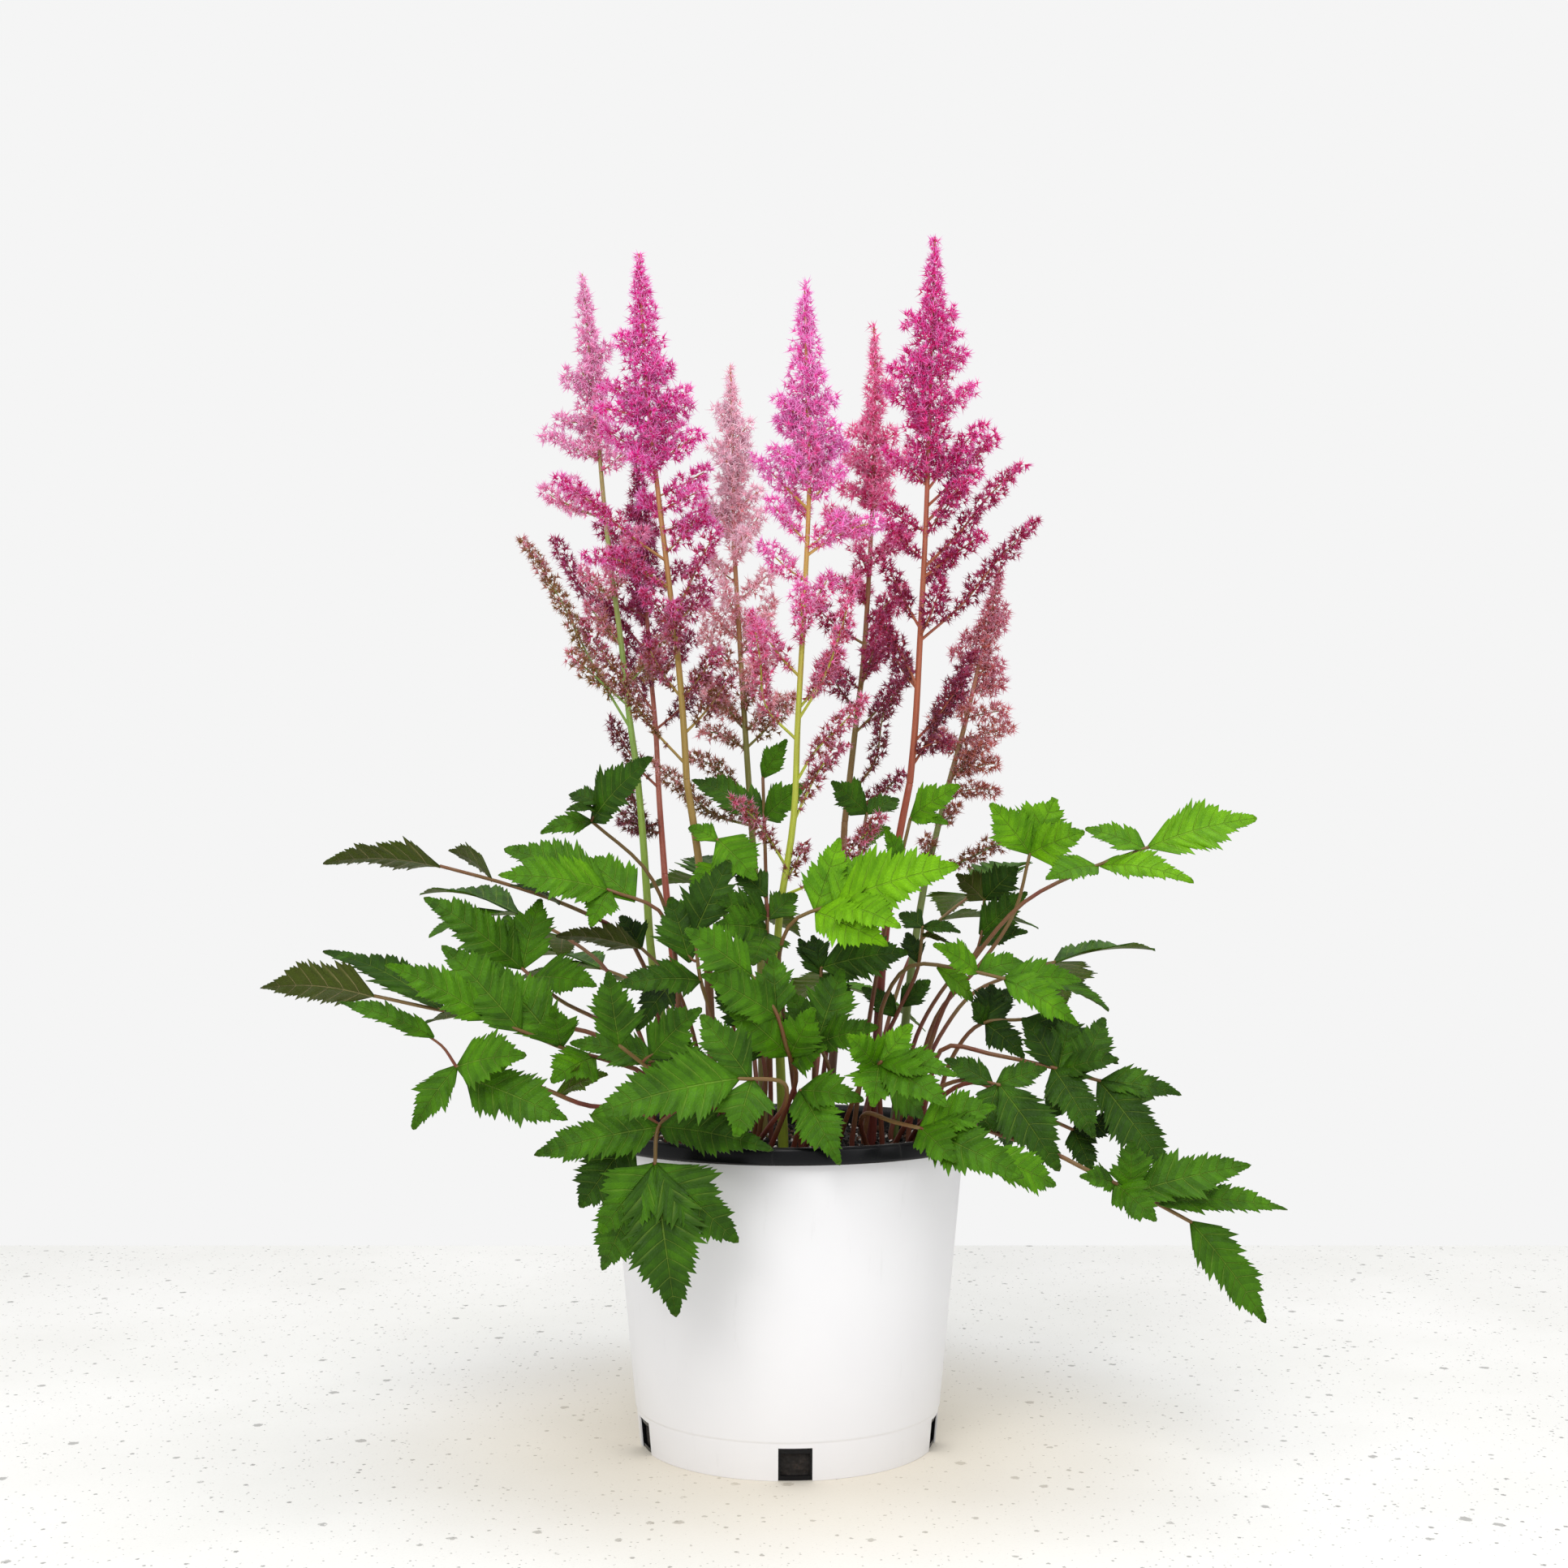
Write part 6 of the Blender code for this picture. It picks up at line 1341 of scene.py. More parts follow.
def add_florets_along(build, path, radii, age_low, age_high, rng, density):
    """Clusters of florets all round a branch, closer together where it is wide."""
    rows, runs = rows_of(path)
    wide = np.asarray(radii) / BRANCH_RADIUS
    weight = np.concatenate([[0], np.cumsum((wide[1:] + wide[:-1]) / 2 * np.diff(runs))])
    clusters = max(3, int(weight[-1] / MM * density / len(TUFT)))
    share = (np.arange(clusters) + rng.uniform(0.1, 0.9, clusters)) / clusters
    spots = np.interp(share * weight[-1], weight, runs)
    centres = read_at(rows, runs, spots)
    ways = unit(read_at(unit(np.gradient(rows, axis=0)), runs, spots))
    side, up = square_to(ways)
    out = spokes(side, up, np.arange(clusters) * CLUSTER_TURN + rng.normal(0, CLUSTER_TURNS, clusters))
    reach = np.maximum(np.interp(spots, runs, radii) * BRUSH_FULL - PETAL_LENGTH * PETAL_IN, LEAST_OUT)
    heads = (out + ways * CLUSTER_LEAN) * (reach * rng.uniform(*CLUSTER_OUT, clusters))[:, None]
    for pull, loose in TUFT:
        spot = centres + heads * pull + rng.normal(0, TUFT_SPREAD, (clusters, 3)) * (pull < 1)
        way = unit(out + ways * FLORET_LEAN + rng.normal(0, loose, (clusters, 3)))
        ages = age_low + (age_high - age_low) * spots / runs[-1] + rng.normal(0, AGE_VARIES, clusters)
        florets(build, spot, way, np.clip(ages, 0, 1), rng)


def make_head(name, stalk, axis, branches):
    """A flower head's fine piece: its axis and twigs, and florets along the candle and every branch."""
    rng = np.random.default_rng(sum(map(ord, name)))
    build = Build()
    rise = np.repeat(np.linspace(0, 1, len(axis)), AXIS_ROUND)
    radii = np.interp(np.linspace(0, 1, len(axis)), *AXIS_TAPER)
    add_tube(build, axis, radii, AXIS_ROUND, 1, height=np.concatenate([rise, [0, 1]]))
    first = round((stalk["bare"] + (1 - stalk["bare"]) * CANDLE_SHARE) * (len(axis) - 1)) - 2
    candle = bent(axis[first:], CANDLE_POINTS)
    wide = stalk["candle"] * MM * np.interp(np.linspace(0, 1, CANDLE_POINTS), *CANDLE_SWELL)
    add_florets_along(build, candle, wide, CANDLE_AGE, 0.0, rng, FLORETS_PER_MM * CANDLE_DENSER)
    low, high = axis[0].z, axis[-1].z
    for knots, thick in branches:
        path = bent(knots, BRANCH_FINE_POINTS)
        run = run_of(knots)
        bare = BARE_SHORT if run < LONG_SPRAY else BARE_LONG
        marks = (0.0, bare, bare + BRANCH_FILLS, BRANCH_FULL_TO, 1.0)
        wide = thick * np.interp(np.linspace(0, 1, BRANCH_FINE_POINTS), marks, BRANCH_SWELLS)
        height = (path[0].z - low) / (high - low)
        age = float(np.clip(AGE_AT_FOOT - AGE_FALLS * height, LEAST_AGE, 1.0))
        inner = max(0, int(bare * BRANCH_FINE_POINTS) - 1)
        twig = np.linspace(TWIG_LONG if run > LONG_SPRAY else TWIG_SHORT, TWIG_TIP, TWIG_POINTS)
        add_tube(build, path[:TWIG_POINTS], twig, TWIG_ROUND, 1, height=height)
        young = max(0.0, age - AGE_ALONG)
        add_florets_along(build, path[inner:], wide[inner:], age, young, rng, FLORETS_PER_MM)
    mesh = build.mesh("florets_" + name, (petal_look(name), stem_look(name, stalk)))
    slot = "flower_pale" if name in PALE_PLUMES else "flower_magenta"
    return piece("florets_" + name, mesh, slot, "flowers_" + name)


def make_stalk(name, stalk, stem):
    """A stalk's fine piece: a slightly ribbed stem with fine hairs."""
    rng = np.random.default_rng(sum(map(ord, name)) + 1)
    build = Build()
    path = stem[:1] + bent(stem[1:], STALK_POINTS)
    radii = np.linspace(STALK_RADIUS, AXIS_RADIUS, len(path))
    add_tube(build, path, radii, STALK_ROUND, 0, ripple=STALK_RIPPLE, height=0.0)
    hairs(build, path[2:], radii[2:], rng, STALK_HAIRS, 0)
    mesh = build.mesh("stem_" + name, (stem_look(name, stalk),))
    slot = "stem_green" if stalk["green"] else "stem_red"
    return piece("stem_" + name, mesh, slot, "stalk_" + name, smooth=STALK_SMOOTH)


def srgb(red, green, blue):
    """A colour as seen on a screen, 0 to 255, as the linear light that a shader takes."""
    shares = (red / 255, green / 255, blue / 255)
    return tuple(c / 12.92 if c < 0.04 else ((c + 0.055) / 1.055) ** 2.4 for c in shares)


class Look:
    """A node material that is built a node at a time."""

    def __init__(self, name):
        self.material = bpy.data.materials.new(name)
        self.material.use_nodes = True
        self.tree = self.material.node_tree
        self.shader = self.tree.nodes["Principled BSDF"]

    def put(self, node, name, value):
        """Set or link one input of a node."""
        socket = node.inputs[name]
        if isinstance(value, bpy.types.NodeSocket):
            self.tree.links.new(value, socket)
        elif isinstance(value, tuple) and len(value) == 3 and socket.type == "RGBA":
            socket.default_value = (*value, 1.0)
        else:
            socket.default_value = value

    def node(self, kind, **inputs):
        """A new node with these inputs; a lower-case name sets a property instead."""
        node = self.tree.nodes.new("ShaderNode" + kind)
        for name, value in inputs.items():
            if name[0].islower():
                setattr(node, name, value)
        for name, value in inputs.items():
            if not name[0].islower():
                self.put(node, name.replace("_", " "), value)
        return node

    def value(self, name):
        """A value that a mesh carries at its vertices."""
        return self.node("Attribute", attribute_name=name).outputs["Fac"]

    def place(self):
        """Where a point is, in metres."""
        return self.node("NewGeometry").outputs["Position"]

    def noise(self, scale, detail=3.0, where=None, rough=0.55):
        """Even noise around 0.5."""
        return self.node("TexNoise", Vector=where or self.place(), Scale=scale, Detail=detail,
                         Roughness=rough).outputs["Fac"]

    def vary(self, scale, low, high, detail=3.0):
        """Noise between two values."""
        return self.fit(self.noise(scale, detail), 0.3, 0.7, low, high)

    def math(self, operation, first, second=0.0, third=0.0):
        """One sum on numbers or sockets."""
        node = self.node("Math", operation=operation)
        for k, value in enumerate((first, second, third)):
            self.put(node, k, value)
        return node.outputs[0]

    def fit(self, value, low, high, to_low=0.0, to_high=1.0):
        """A value stretched from one range to another and kept inside it."""
        return self.node("MapRange", Value=value, From_Min=low, From_Max=high, To_Min=to_low,
                         To_Max=to_high).outputs["Result"]

    def ramp(self, value, *stops):
        """A colour that follows a value through (place, colour) stops."""
        node = self.node("ValToRGB", Fac=value)
        marks = node.color_ramp.elements
        while len(marks) < len(stops):
            marks.new(0.5)
        for mark, (place, colour) in zip(marks, stops):
            mark.position = place
            mark.color = (*colour, 1.0)
        return node.outputs["Color"]

    def mix(self, share, first, second):
        """Two colours mixed."""
        node = self.node("Mix", data_type="RGBA")
        self.put(node, 0, share)
        self.put(node, 6, first)
        self.put(node, 7, second)
        return node.outputs[2]

    def bump(self, height, distance, strength=1.0):
        """Small relief."""
        made = self.node("Bump", Height=height, Distance=distance, Strength=strength).outputs["Normal"]
        self.put(self.shader, "Normal", made)

    def surface(self, colour, roughness, **more):
        """The shader's main inputs."""
        self.put(self.shader, "Base Color", colour)
        self.put(self.shader, "Roughness", roughness)
        for name, value in more.items():
            self.put(self.shader, name.replace("_", " "), value)
        return self.material


def leaf_look():
    """A living leaf: bright or dark by its tone, which holds painted shade as well as the leaf's own green,
    with pale sunken veins, a duller underside and painted shade across each pleat.
    """
    look = Look("leaf")
    station, out, tone = look.value("vein"), look.value("out"), look.value("tone")
    under = look.value("under")
    away = look.math("ABSOLUTE", out)
    phase = look.math("FRACT", look.math("SUBTRACT", station, VEIN_AT - 0.5))
    off = look.math("ABSOLUTE", look.math("SUBTRACT", phase, 0.5))
    side_vein = look.fit(off, 0.010, 0.045, 1.0, 0.0)
    side_vein = look.math("MULTIPLY", side_vein, look.fit(away, 0.9, 0.3, 0.15, 1.0))
    rib = look.fit(away, 0.012, 0.045, 1.0, 0.0)
    veins = look.math("MAXIMUM", side_vein, rib)
    net_at = look.node("CombineXYZ", X=look.math("MULTIPLY", station, 3.0), Y=look.math("MULTIPLY", out, 9.0),
                       Z=look.math("MULTIPLY", look.value("each"), 7.0)).outputs[0]
    cells = look.node("TexVoronoi", feature="DISTANCE_TO_EDGE", Vector=net_at, Scale=1.0).outputs["Distance"]
    net = look.fit(cells, 0.02, 0.10, 1.0, 0.0)
    # Random tone patches, plus painted pleat shade: each strip between side veins is painted lighter at one
    # edge and darker at the other
    pleat = look.math("ADD", look.vary(70.0, -0.13, 0.13), look.fit(phase, 0, 1, 0.05, -0.05))
    green = look.ramp(look.math("ADD", tone, pleat), (0.0, srgb(20, 42, 3)), (0.30, srgb(46, 82, 5)),
                      (0.62, srgb(78, 132, 6)), (1.0, srgb(124, 188, 10)))
    pale = look.mix(0.5, green, srgb(158, 190, 78))
    fine = look.mix(look.math("MULTIPLY", net, 0.28), green, look.mix(0.5, green, srgb(20, 54, 16)))
    top = look.mix(look.math("MULTIPLY", veins, 0.45), fine, pale)
    dull = look.mix(0.55, green, srgb(84, 90, 24))
    below = look.mix(look.math("MULTIPLY", veins, 0.7), dull, srgb(150, 140, 92))
    colour = look.mix(under, top, below)
    look.bump(look.math("SUBTRACT", look.math("MULTIPLY", cells, 0.8), veins), 0.0005)
    rough = look.vary(300.0, 0.42, 0.60)
    return look.surface(colour, rough, Specular_IOR_Level=0.16)


def petiole_look():
    """A leaf stalk: red brown where the light reaches it, greener in patches."""
    look = Look("petiole")
    patch = look.noise(38.0, 2.0)
    colour = look.ramp(look.math("ADD", look.math("MULTIPLY", look.value("run"), 0.35), patch),
                       (0.25, srgb(62, 26, 16)), (0.55, srgb(116, 54, 38)), (0.85, srgb(116, 92, 46)))
    look.bump(look.noise(900.0), 0.0002, 0.5)
    return look.surface(colour, look.vary(400.0, 0.42, 0.62))


# Each plume's colours from young to old: the florets' hearts, then their petals
PETALS = {
    "far_left": (((244, 160, 206), (242, 146, 192), (222, 112, 140), (158, 112, 66), (126, 98, 34)),
                 ((250, 216, 250), (250, 202, 244), (242, 184, 218), (212, 162, 168), (172, 140, 98))),
    "left": (((238, 66, 172), (228, 50, 150), (198, 40, 100), (138, 56, 48), (112, 76, 26)),
             ((253, 204, 255), (248, 180, 255), (232, 138, 210), (208, 138, 172), (172, 124, 116))),
    "left_back": (((184, 36, 96), (164, 30, 76), (136, 38, 60), (112, 58, 44), (100, 72, 32)),
                  ((210, 118, 186), (194, 102, 162), (176, 102, 142), (160, 106, 130), (142, 106, 98))),
    "middle_left": (((254, 210, 226), (250, 196, 210), (236, 156, 162), (152, 98, 54), (112, 88, 28)),
                    ((255, 240, 255), (254, 232, 246), (246, 200, 216), (216, 164, 172), (176, 140, 120))),
    "middle": (((244, 108, 200), (244, 110, 188), (226, 84, 134), (160, 66, 66), (126, 80, 36)),
               ((252, 206, 255), (252, 202, 255), (246, 184, 226), (216, 150, 188), (182, 132, 142))),
    "middle_right": (((248, 116, 178), (240, 96, 156), (184, 36, 86), (146, 40, 66), (120, 68, 48)),
                     ((253, 210, 240), (250, 194, 230), (202, 100, 162), (178, 90, 146), (158, 106, 120))),
    "right": (((236, 56, 162), (224, 38, 126), (172, 20, 70), (138, 26, 54), (112, 50, 44)),
              ((250, 184, 252), (232, 134, 214), (182, 78, 142), (160, 76, 130), (146, 84, 116))),
    "far_right": (((206, 104, 126), (210, 116, 112), (186, 104, 78), (150, 88, 52), (124, 82, 34)),
                  ((240, 182, 214), (242, 194, 218), (234, 182, 200), (202, 150, 168), (178, 132, 138))),
}
AGES = (0.0, 0.25, 0.5, 0.75, 1.0)


def petal_look(name):
    """Florets: a heart and paler needle petals, young at the top and faded at the foot."""
    look = Look("petals_" + name)
    hearts, petals = PETALS[name]
    age = look.math("ADD", look.value("age"), look.fit(look.value("tint"), 0, 1, -0.16, 0.16))
    heart = look.ramp(age, *zip(AGES, (srgb(*c) for c in hearts)))
    petal = look.ramp(age, *zip(AGES, (srgb(*c) for c in petals)))
    colour = look.mix(look.fit(look.value("tip"), 0.15, 0.95), heart, petal)
    tint = look.vary(420.0, -1.0, 1.0, 2.0)
    shade = look.node("HueSaturation", Color=colour, Value=look.math("MULTIPLY_ADD", tint, 0.10, 1.0),
                      Saturation=look.fit(look.value("tint"), 0, 1, 0.92, 1.1)).outputs["Color"]
    return look.surface(shade, look.vary(900.0, 0.5, 0.7))


# Each stalk's colours from the soil up into its plume
STEMS = {
    "far_left": ((118, 130, 48), (140, 172, 60), (128, 164, 74), (170, 150, 96)),
    "left": ((110, 52, 36), (150, 120, 62), (160, 134, 62), (190, 120, 84)),
    "left_back": ((112, 60, 34), (160, 74, 56), (178, 104, 84), (150, 84, 70)),
    "middle_left": ((120, 110, 50), (130, 138, 56), (128, 128, 62), (206, 140, 104)),
    "middle": ((150, 168, 46), (176, 190, 58), (178, 182, 66), (206, 150, 88)),
    "middle_right": ((96, 66, 44), (142, 98, 60), (130, 116, 62), (190, 110, 90)),
    "right": ((104, 36, 26), (150, 62, 46), (168, 92, 62), (180, 104, 82)),
    "far_right": ((96, 112, 50), (110, 132, 66), (124, 136, 74), (176, 120, 92)),
}


def stem_look(name, stalk):
    """A flower stalk that changes colour on its way up."""
    look = Look("stem_" + name)
    rise = look.node("SeparateXYZ", Vector=look.place()).outputs["Z"]
    low, high = SOIL_TOP, seen(*stalk["axis"][-1]).z
    share = look.math("ADD", look.fit(rise, low, high), look.vary(60.0, -0.05, 0.05, 2.0))
    colour = look.ramp(share, *zip((0.08, 0.30, 0.52, 0.80), (srgb(*c) for c in STEMS[name])))
    streak = look.node("Mapping", Vector=look.place(), Scale=(1.0, 1.0, 0.06)).outputs["Vector"]
    lines = look.noise(1600.0, 2.0, streak)
    tone = look.mix(look.fit(lines, 0.4, 0.65, 0.0, 0.35), colour, look.mix(0.5, colour, srgb(70, 34, 20)))
    look.bump(lines, 0.0002, 0.5)
    return look.surface(tone, look.fit(lines, 0.3, 0.7, 0.36, 0.56))


def plastic_look(name, colour, deep, rough, scuffs, shine):
    """Moulded plastic: nearly even, with the faint mottling and scuffs that moulding and handling leave."""
    look = Look(name)
    cloud = look.noise(9.0, 3.0)
    tone = look.mix(look.fit(cloud, 0.3, 0.7), colour, deep)
    scratch = look.node("Mapping", Vector=look.place(), Scale=(1.0, 1.0, 0.12)).outputs["Vector"]
    marks = look.fit(look.noise(240.0, 5.0, scratch, 0.7), 0.62, 0.80)
    tone = look.mix(look.math("MULTIPLY", marks, scuffs), tone, srgb(150, 148, 144))
    look.bump(look.noise(1400.0, 2.0), 0.00005, 0.35)
    return look.surface(tone, look.math("ADD", look.fit(cloud, 0.3, 0.7, rough - 0.03, rough + 0.03),
                                        look.math("MULTIPLY", marks, 0.15)), Specular_IOR_Level=shine)


def soil_look():
    """Dark potting mix."""
    look = Look("soil")
    crumbs = look.node("TexVoronoi", Vector=look.place(), Scale=520.0).outputs["Distance"]
    tone = look.ramp(look.noise(260.0, 5.0, rough=0.7), (0.30, srgb(12, 10, 9)), (0.55, srgb(30, 25, 22)),
                     (0.75, srgb(58, 47, 40)))
    look.bump(crumbs, 0.0008, 0.9)
    return look.surface(tone, look.vary(500.0, 0.78, 0.98))


def grain_look(name, dark, light):
    """Loose grains of one kind."""
    look = Look(name)
    tone = look.ramp(look.noise(900.0, 4.0), (0.3, srgb(*dark)), (0.7, srgb(*light)))
    look.bump(look.noise(1500.0, 3.0), 0.0002, 0.8)
    return look.surface(tone, look.vary(700.0, 0.7, 0.95))


# The floor's flecks: cells a metre, the share without one, and how dark they are; and where its painted warm
# shadow round the pot's foot is full and where it has faded out
FLECKS = ((90.0, 0.80, 0.60), (200.0, 0.58, 0.72), (420.0, 0.48, 0.66))
PAINTED_SHADOW_IN = 0.06
PAINTED_SHADOW_OUT = 0.24


def floor_look():
    """A pale floor of fine sand and grey specks, with a painted warm shadow round the pot's foot."""
    look = Look("floor")
    place = look.place()
    tone = look.ramp(look.noise(6.0, 4.0), (0.35, srgb(240, 240, 237)), (0.65, srgb(246, 246, 244)))
    sand = look.noise(850.0, 3.0, rough=0.7)
    tone = look.mix(look.fit(sand, 0.56, 0.72, 0.0, 0.30), tone, srgb(206, 205, 202))
    for scale, share, dark in FLECKS:
        cells = look.node("TexVoronoi", Vector=place, Scale=scale)
        chance = look.node("SeparateColor", Color=cells.outputs["Color"]).outputs[0]
        size = look.fit(chance, share, 1.0, 0.0, 0.24)
        ragged = look.math("ADD", cells.outputs["Distance"], look.vary(scale * 6.0, -0.07, 0.07))
        fleck = look.fit(look.math("SUBTRACT", size, ragged), -0.01, 0.03)
        tone = look.mix(look.math("MULTIPLY", fleck, dark), tone, srgb(124, 122, 120))
    # Painted shadow: near the pot's axis the floor is mixed towards a darker warm beige, fading out further
    # away, in place of the pot's soft cast shadow
    away = look.node("VectorMath", operation="LENGTH", Vector=place).outputs["Value"]
    near = look.node("MapRange", interpolation_type="SMOOTHSTEP", Value=away, From_Min=PAINTED_SHADOW_IN,
                     From_Max=PAINTED_SHADOW_OUT, To_Min=1.0, To_Max=0.0).outputs["Result"]
    tone = look.mix(look.math("MULTIPLY", near, 0.55), tone, srgb(230, 216, 190))
    look.bump(look.noise(700.0, 3.0), 0.0003, 0.3)
    return look.surface(tone, look.fit(sand, 0.3, 0.7, 0.75, 0.9))


# Fine pot, with the radii of its corners
POT_TURN_SIDES = 160
CORNER_STEPS = 4
CORNER_SHARE = 0.45
SHARP_CORNER = 0.0002
SKIN_CORNER = 0.0003
STEP_CORNER = 0.0004
FOOT_CORNER = 0.0008
LINER_FOOT_CORNER = 0.0006
RIM_CORNERS = (0.0004, 0.0008, 0.0016, 0.0014, 0.0010)
POT_SMOOTH = 32
# Fine soil: its surface, and its loose grains as (look, count, smallest, largest)
SOIL_SEED = 5
SOIL_RINGS = 36
SOIL_TURN_SIDES = 96
SOIL_WALL_ROWS = 20
SOIL_EDGE_LOW = 0.0008
SOIL_SMOOTH = 40
TOP_BAND = 0.0002
WAVE_COUNT = 26
WAVE_RATES = (60, 900)
CRUMB_RISE = 0.0042
CRUMB_SINK = 0.0010
CRUMB_ROUGH = 0.00035
GRAINS = ((1, 420, 0.0006, 0.0014), (0, 1000, 0.0006, 0.0018), (2, 180, 0.0007, 0.0021))
GRAIN_LIFT = (-0.0004, 0.0008)
GRAINS_IN = 0.003


def rounded(profile):
    """An outline of (radius, height, corner) points with its corners rounded."""
    made = []
    for k, mark in enumerate(profile):
        here, size = np.array(mark[:2]), mark[2]
        before, after = np.array(profile[k - 1][:2]), np.array(profile[(k + 1) % len(profile)][:2])
        if size == 0.0:
            made.append(tuple(here))
            continue
        back, on = before - here, after - here
        size = min(size, np.linalg.norm(back) * CORNER_SHARE, np.linalg.norm(on) * CORNER_SHARE)
        start, end = here + back / np.linalg.norm(back) * size, here + on / np.linalg.norm(on) * size
        for t in np.linspace(0, 1, CORNER_STEPS):
            made.append(tuple((1 - t) ** 2 * start + 2 * t * (1 - t) * here + t ** 2 * end))
    return made


def lathe(build, profile, sides, look, wobble=None):
    """Add a closed solid turned round the pot's axis from an outline of (radius, height) points."""
    turns = 2 * math.pi * np.arange(sides) / sides
    rows, verts, count = [], [], 0
    for radius, z in profile:
        if radius == 0.0:
            rows.append((count, 1))
            verts.append(np.array([(0.0, 0.0, z)]))
            count += 1
            continue
        rows.append((count, sides))
        verts.append(np.stack([radius * np.cos(turns), radius * np.sin(turns), np.full(sides, z)], -1))
        count += sides
    k, nxt = np.arange(sides), (np.arange(sides) + 1) % sides
    quads, tris = [], []
    for (low, low_n), (high, high_n) in zip(rows, rows[1:] + rows[:1]):
        if low_n == 1 and high_n == 1:
            continue
        if low_n == 1:
            tris.append(np.stack([np.full(sides, low), high + nxt, high + k], -1))
        elif high_n == 1:
            tris.append(np.stack([low + k, low + nxt, np.full(sides, high)], -1))
        else:
            quads.append(np.stack([low + k, low + nxt, high + nxt, high + k], -1))
    verts = np.vstack(verts)
    if wobble is not None:
        verts = wobble(verts)
    build.add(verts, [np.vstack(group) for group in (quads, tris) if group], look)


BOX_FACES = [(0, 1, 3, 2), (4, 6, 7, 5), (0, 4, 5, 1), (2, 3, 7, 6), (0, 2, 6, 4), (1, 5, 7, 3)]


def cut_notches(thing, width, low, high):
    """Cut the drain notches out of the pot's foot."""
    group = bpy.data.collections.new("cutters")
    bpy.context.scene.collection.children.link(group)
    front = -math.pi / 2 + NOTCH_TURN
    for k in range(NOTCH_COUNT):
        turn = front + 2 * math.pi * k / NOTCH_COUNT
        cos_t, sin_t = math.cos(turn), math.sin(turn)
        corners = [(x, y, z) for x in (NOTCH_FROM, NOTCH_TO) for y in (-width / 2, width / 2)
                   for z in (low, high)]
        verts = [(x * cos_t - y * sin_t, x * sin_t + y * cos_t, z) for x, y, z in corners]
        mesh = bpy.data.meshes.new("cutter")
        mesh.from_pydata(verts, [], BOX_FACES)
        group.objects.link(bpy.data.objects.new("cutter", mesh))
    taken = thing.modifiers.new("notches", "BOOLEAN")
    taken.operation, taken.solver = "DIFFERENCE", "EXACT"
    taken.operand_type, taken.collection = "COLLECTION", group
    graph = bpy.context.evaluated_depsgraph_get()
    mesh = bpy.data.meshes.new_from_object(thing.evaluated_get(graph), depsgraph=graph)
    thing.modifiers.clear()
    thing.data = mesh
    mesh.set_sharp_from_angle(angle=math.radians(POT_SMOOTH))
    for cutter in list(group.objects):
        bpy.data.objects.remove(cutter)
    bpy.data.collections.remove(group)


def make_skin():
    """The white skin, with rounded edges."""
    top = POT_HEIGHT - RIM_BAND - GAP
    step = wall_radius(STEP_HEIGHT)
    skin = [(FOOT_RADIUS - OUTER_WALL, 0.0, SKIN_CORNER), (FOOT_RADIUS - STEP_DEPTH, 0.0, FOOT_CORNER),
            (step - STEP_DEPTH, STEP_HEIGHT, SKIN_CORNER), (step, STEP_HEIGHT + STEP_RISE, STEP_CORNER),
            (wall_radius(top), top, SHARP_CORNER), (wall_radius(top) - OUTER_WALL, top, SHARP_CORNER)]
    build = Build()
    lathe(build, rounded(skin), POT_TURN_SIDES, 0)
    white = plastic_look("pot_white", srgb(243, 243, 246), srgb(238, 238, 242), 0.34, 0.10, 0.5)
    mesh = build.mesh("pot_white_skin", (white,))
    thing = piece("pot_white_skin", mesh, "pot_white", "pot_skin", smooth=POT_SMOOTH)
    cut_notches(thing, NOTCH_WIDTH, -CUT_PAST, NOTCH_HEIGHT)


def make_liner():
    """The black liner with its glossy rim, with rounded edges."""
    under = POT_HEIGHT - RIM_BAND
    outline = [(RIM_RADIUS - RIM_EDGE_IN, under), (RIM_RADIUS, under + RIM_LIP),
               (RIM_RADIUS - RIM_TOP_IN, POT_HEIGHT), (RIM_RADIUS - RIM_WIDTH, POT_HEIGHT),
               (liner_radius(under) - LINER_WALL, POT_HEIGHT - RIM_DIP)]
    rim = [(*mark, corner) for mark, corner in zip(outline, RIM_CORNERS)]
    liner = [(0.0, 0.0, 0.0), (liner_radius(0.0), 0.0, LINER_FOOT_CORNER), (liner_radius(under), under, 0.0)]
    liner += rim + [(liner_radius(0.0) - LINER_WALL, FLOOR_THICKNESS, RIM_CORNERS[-1])]
    liner += [(0.0, FLOOR_THICKNESS, 0.0)]
    build = Build()
    lathe(build, rounded(liner), POT_TURN_SIDES, 0)
    black = plastic_look("pot_black", srgb(8, 9, 12), srgb(13, 14, 18), 0.28, 0.10, 0.22)
    mesh = build.mesh("pot_black_liner", (black,))
    thing = piece("pot_black_liner", mesh, "pot_black", "pot_liner", smooth=POT_SMOOTH)
    cut_notches(thing, LINER_SLOT_WIDTH, FLOOR_THICKNESS + SLOT_ABOVE_FLOOR, LINER_SLOT_HEIGHT)


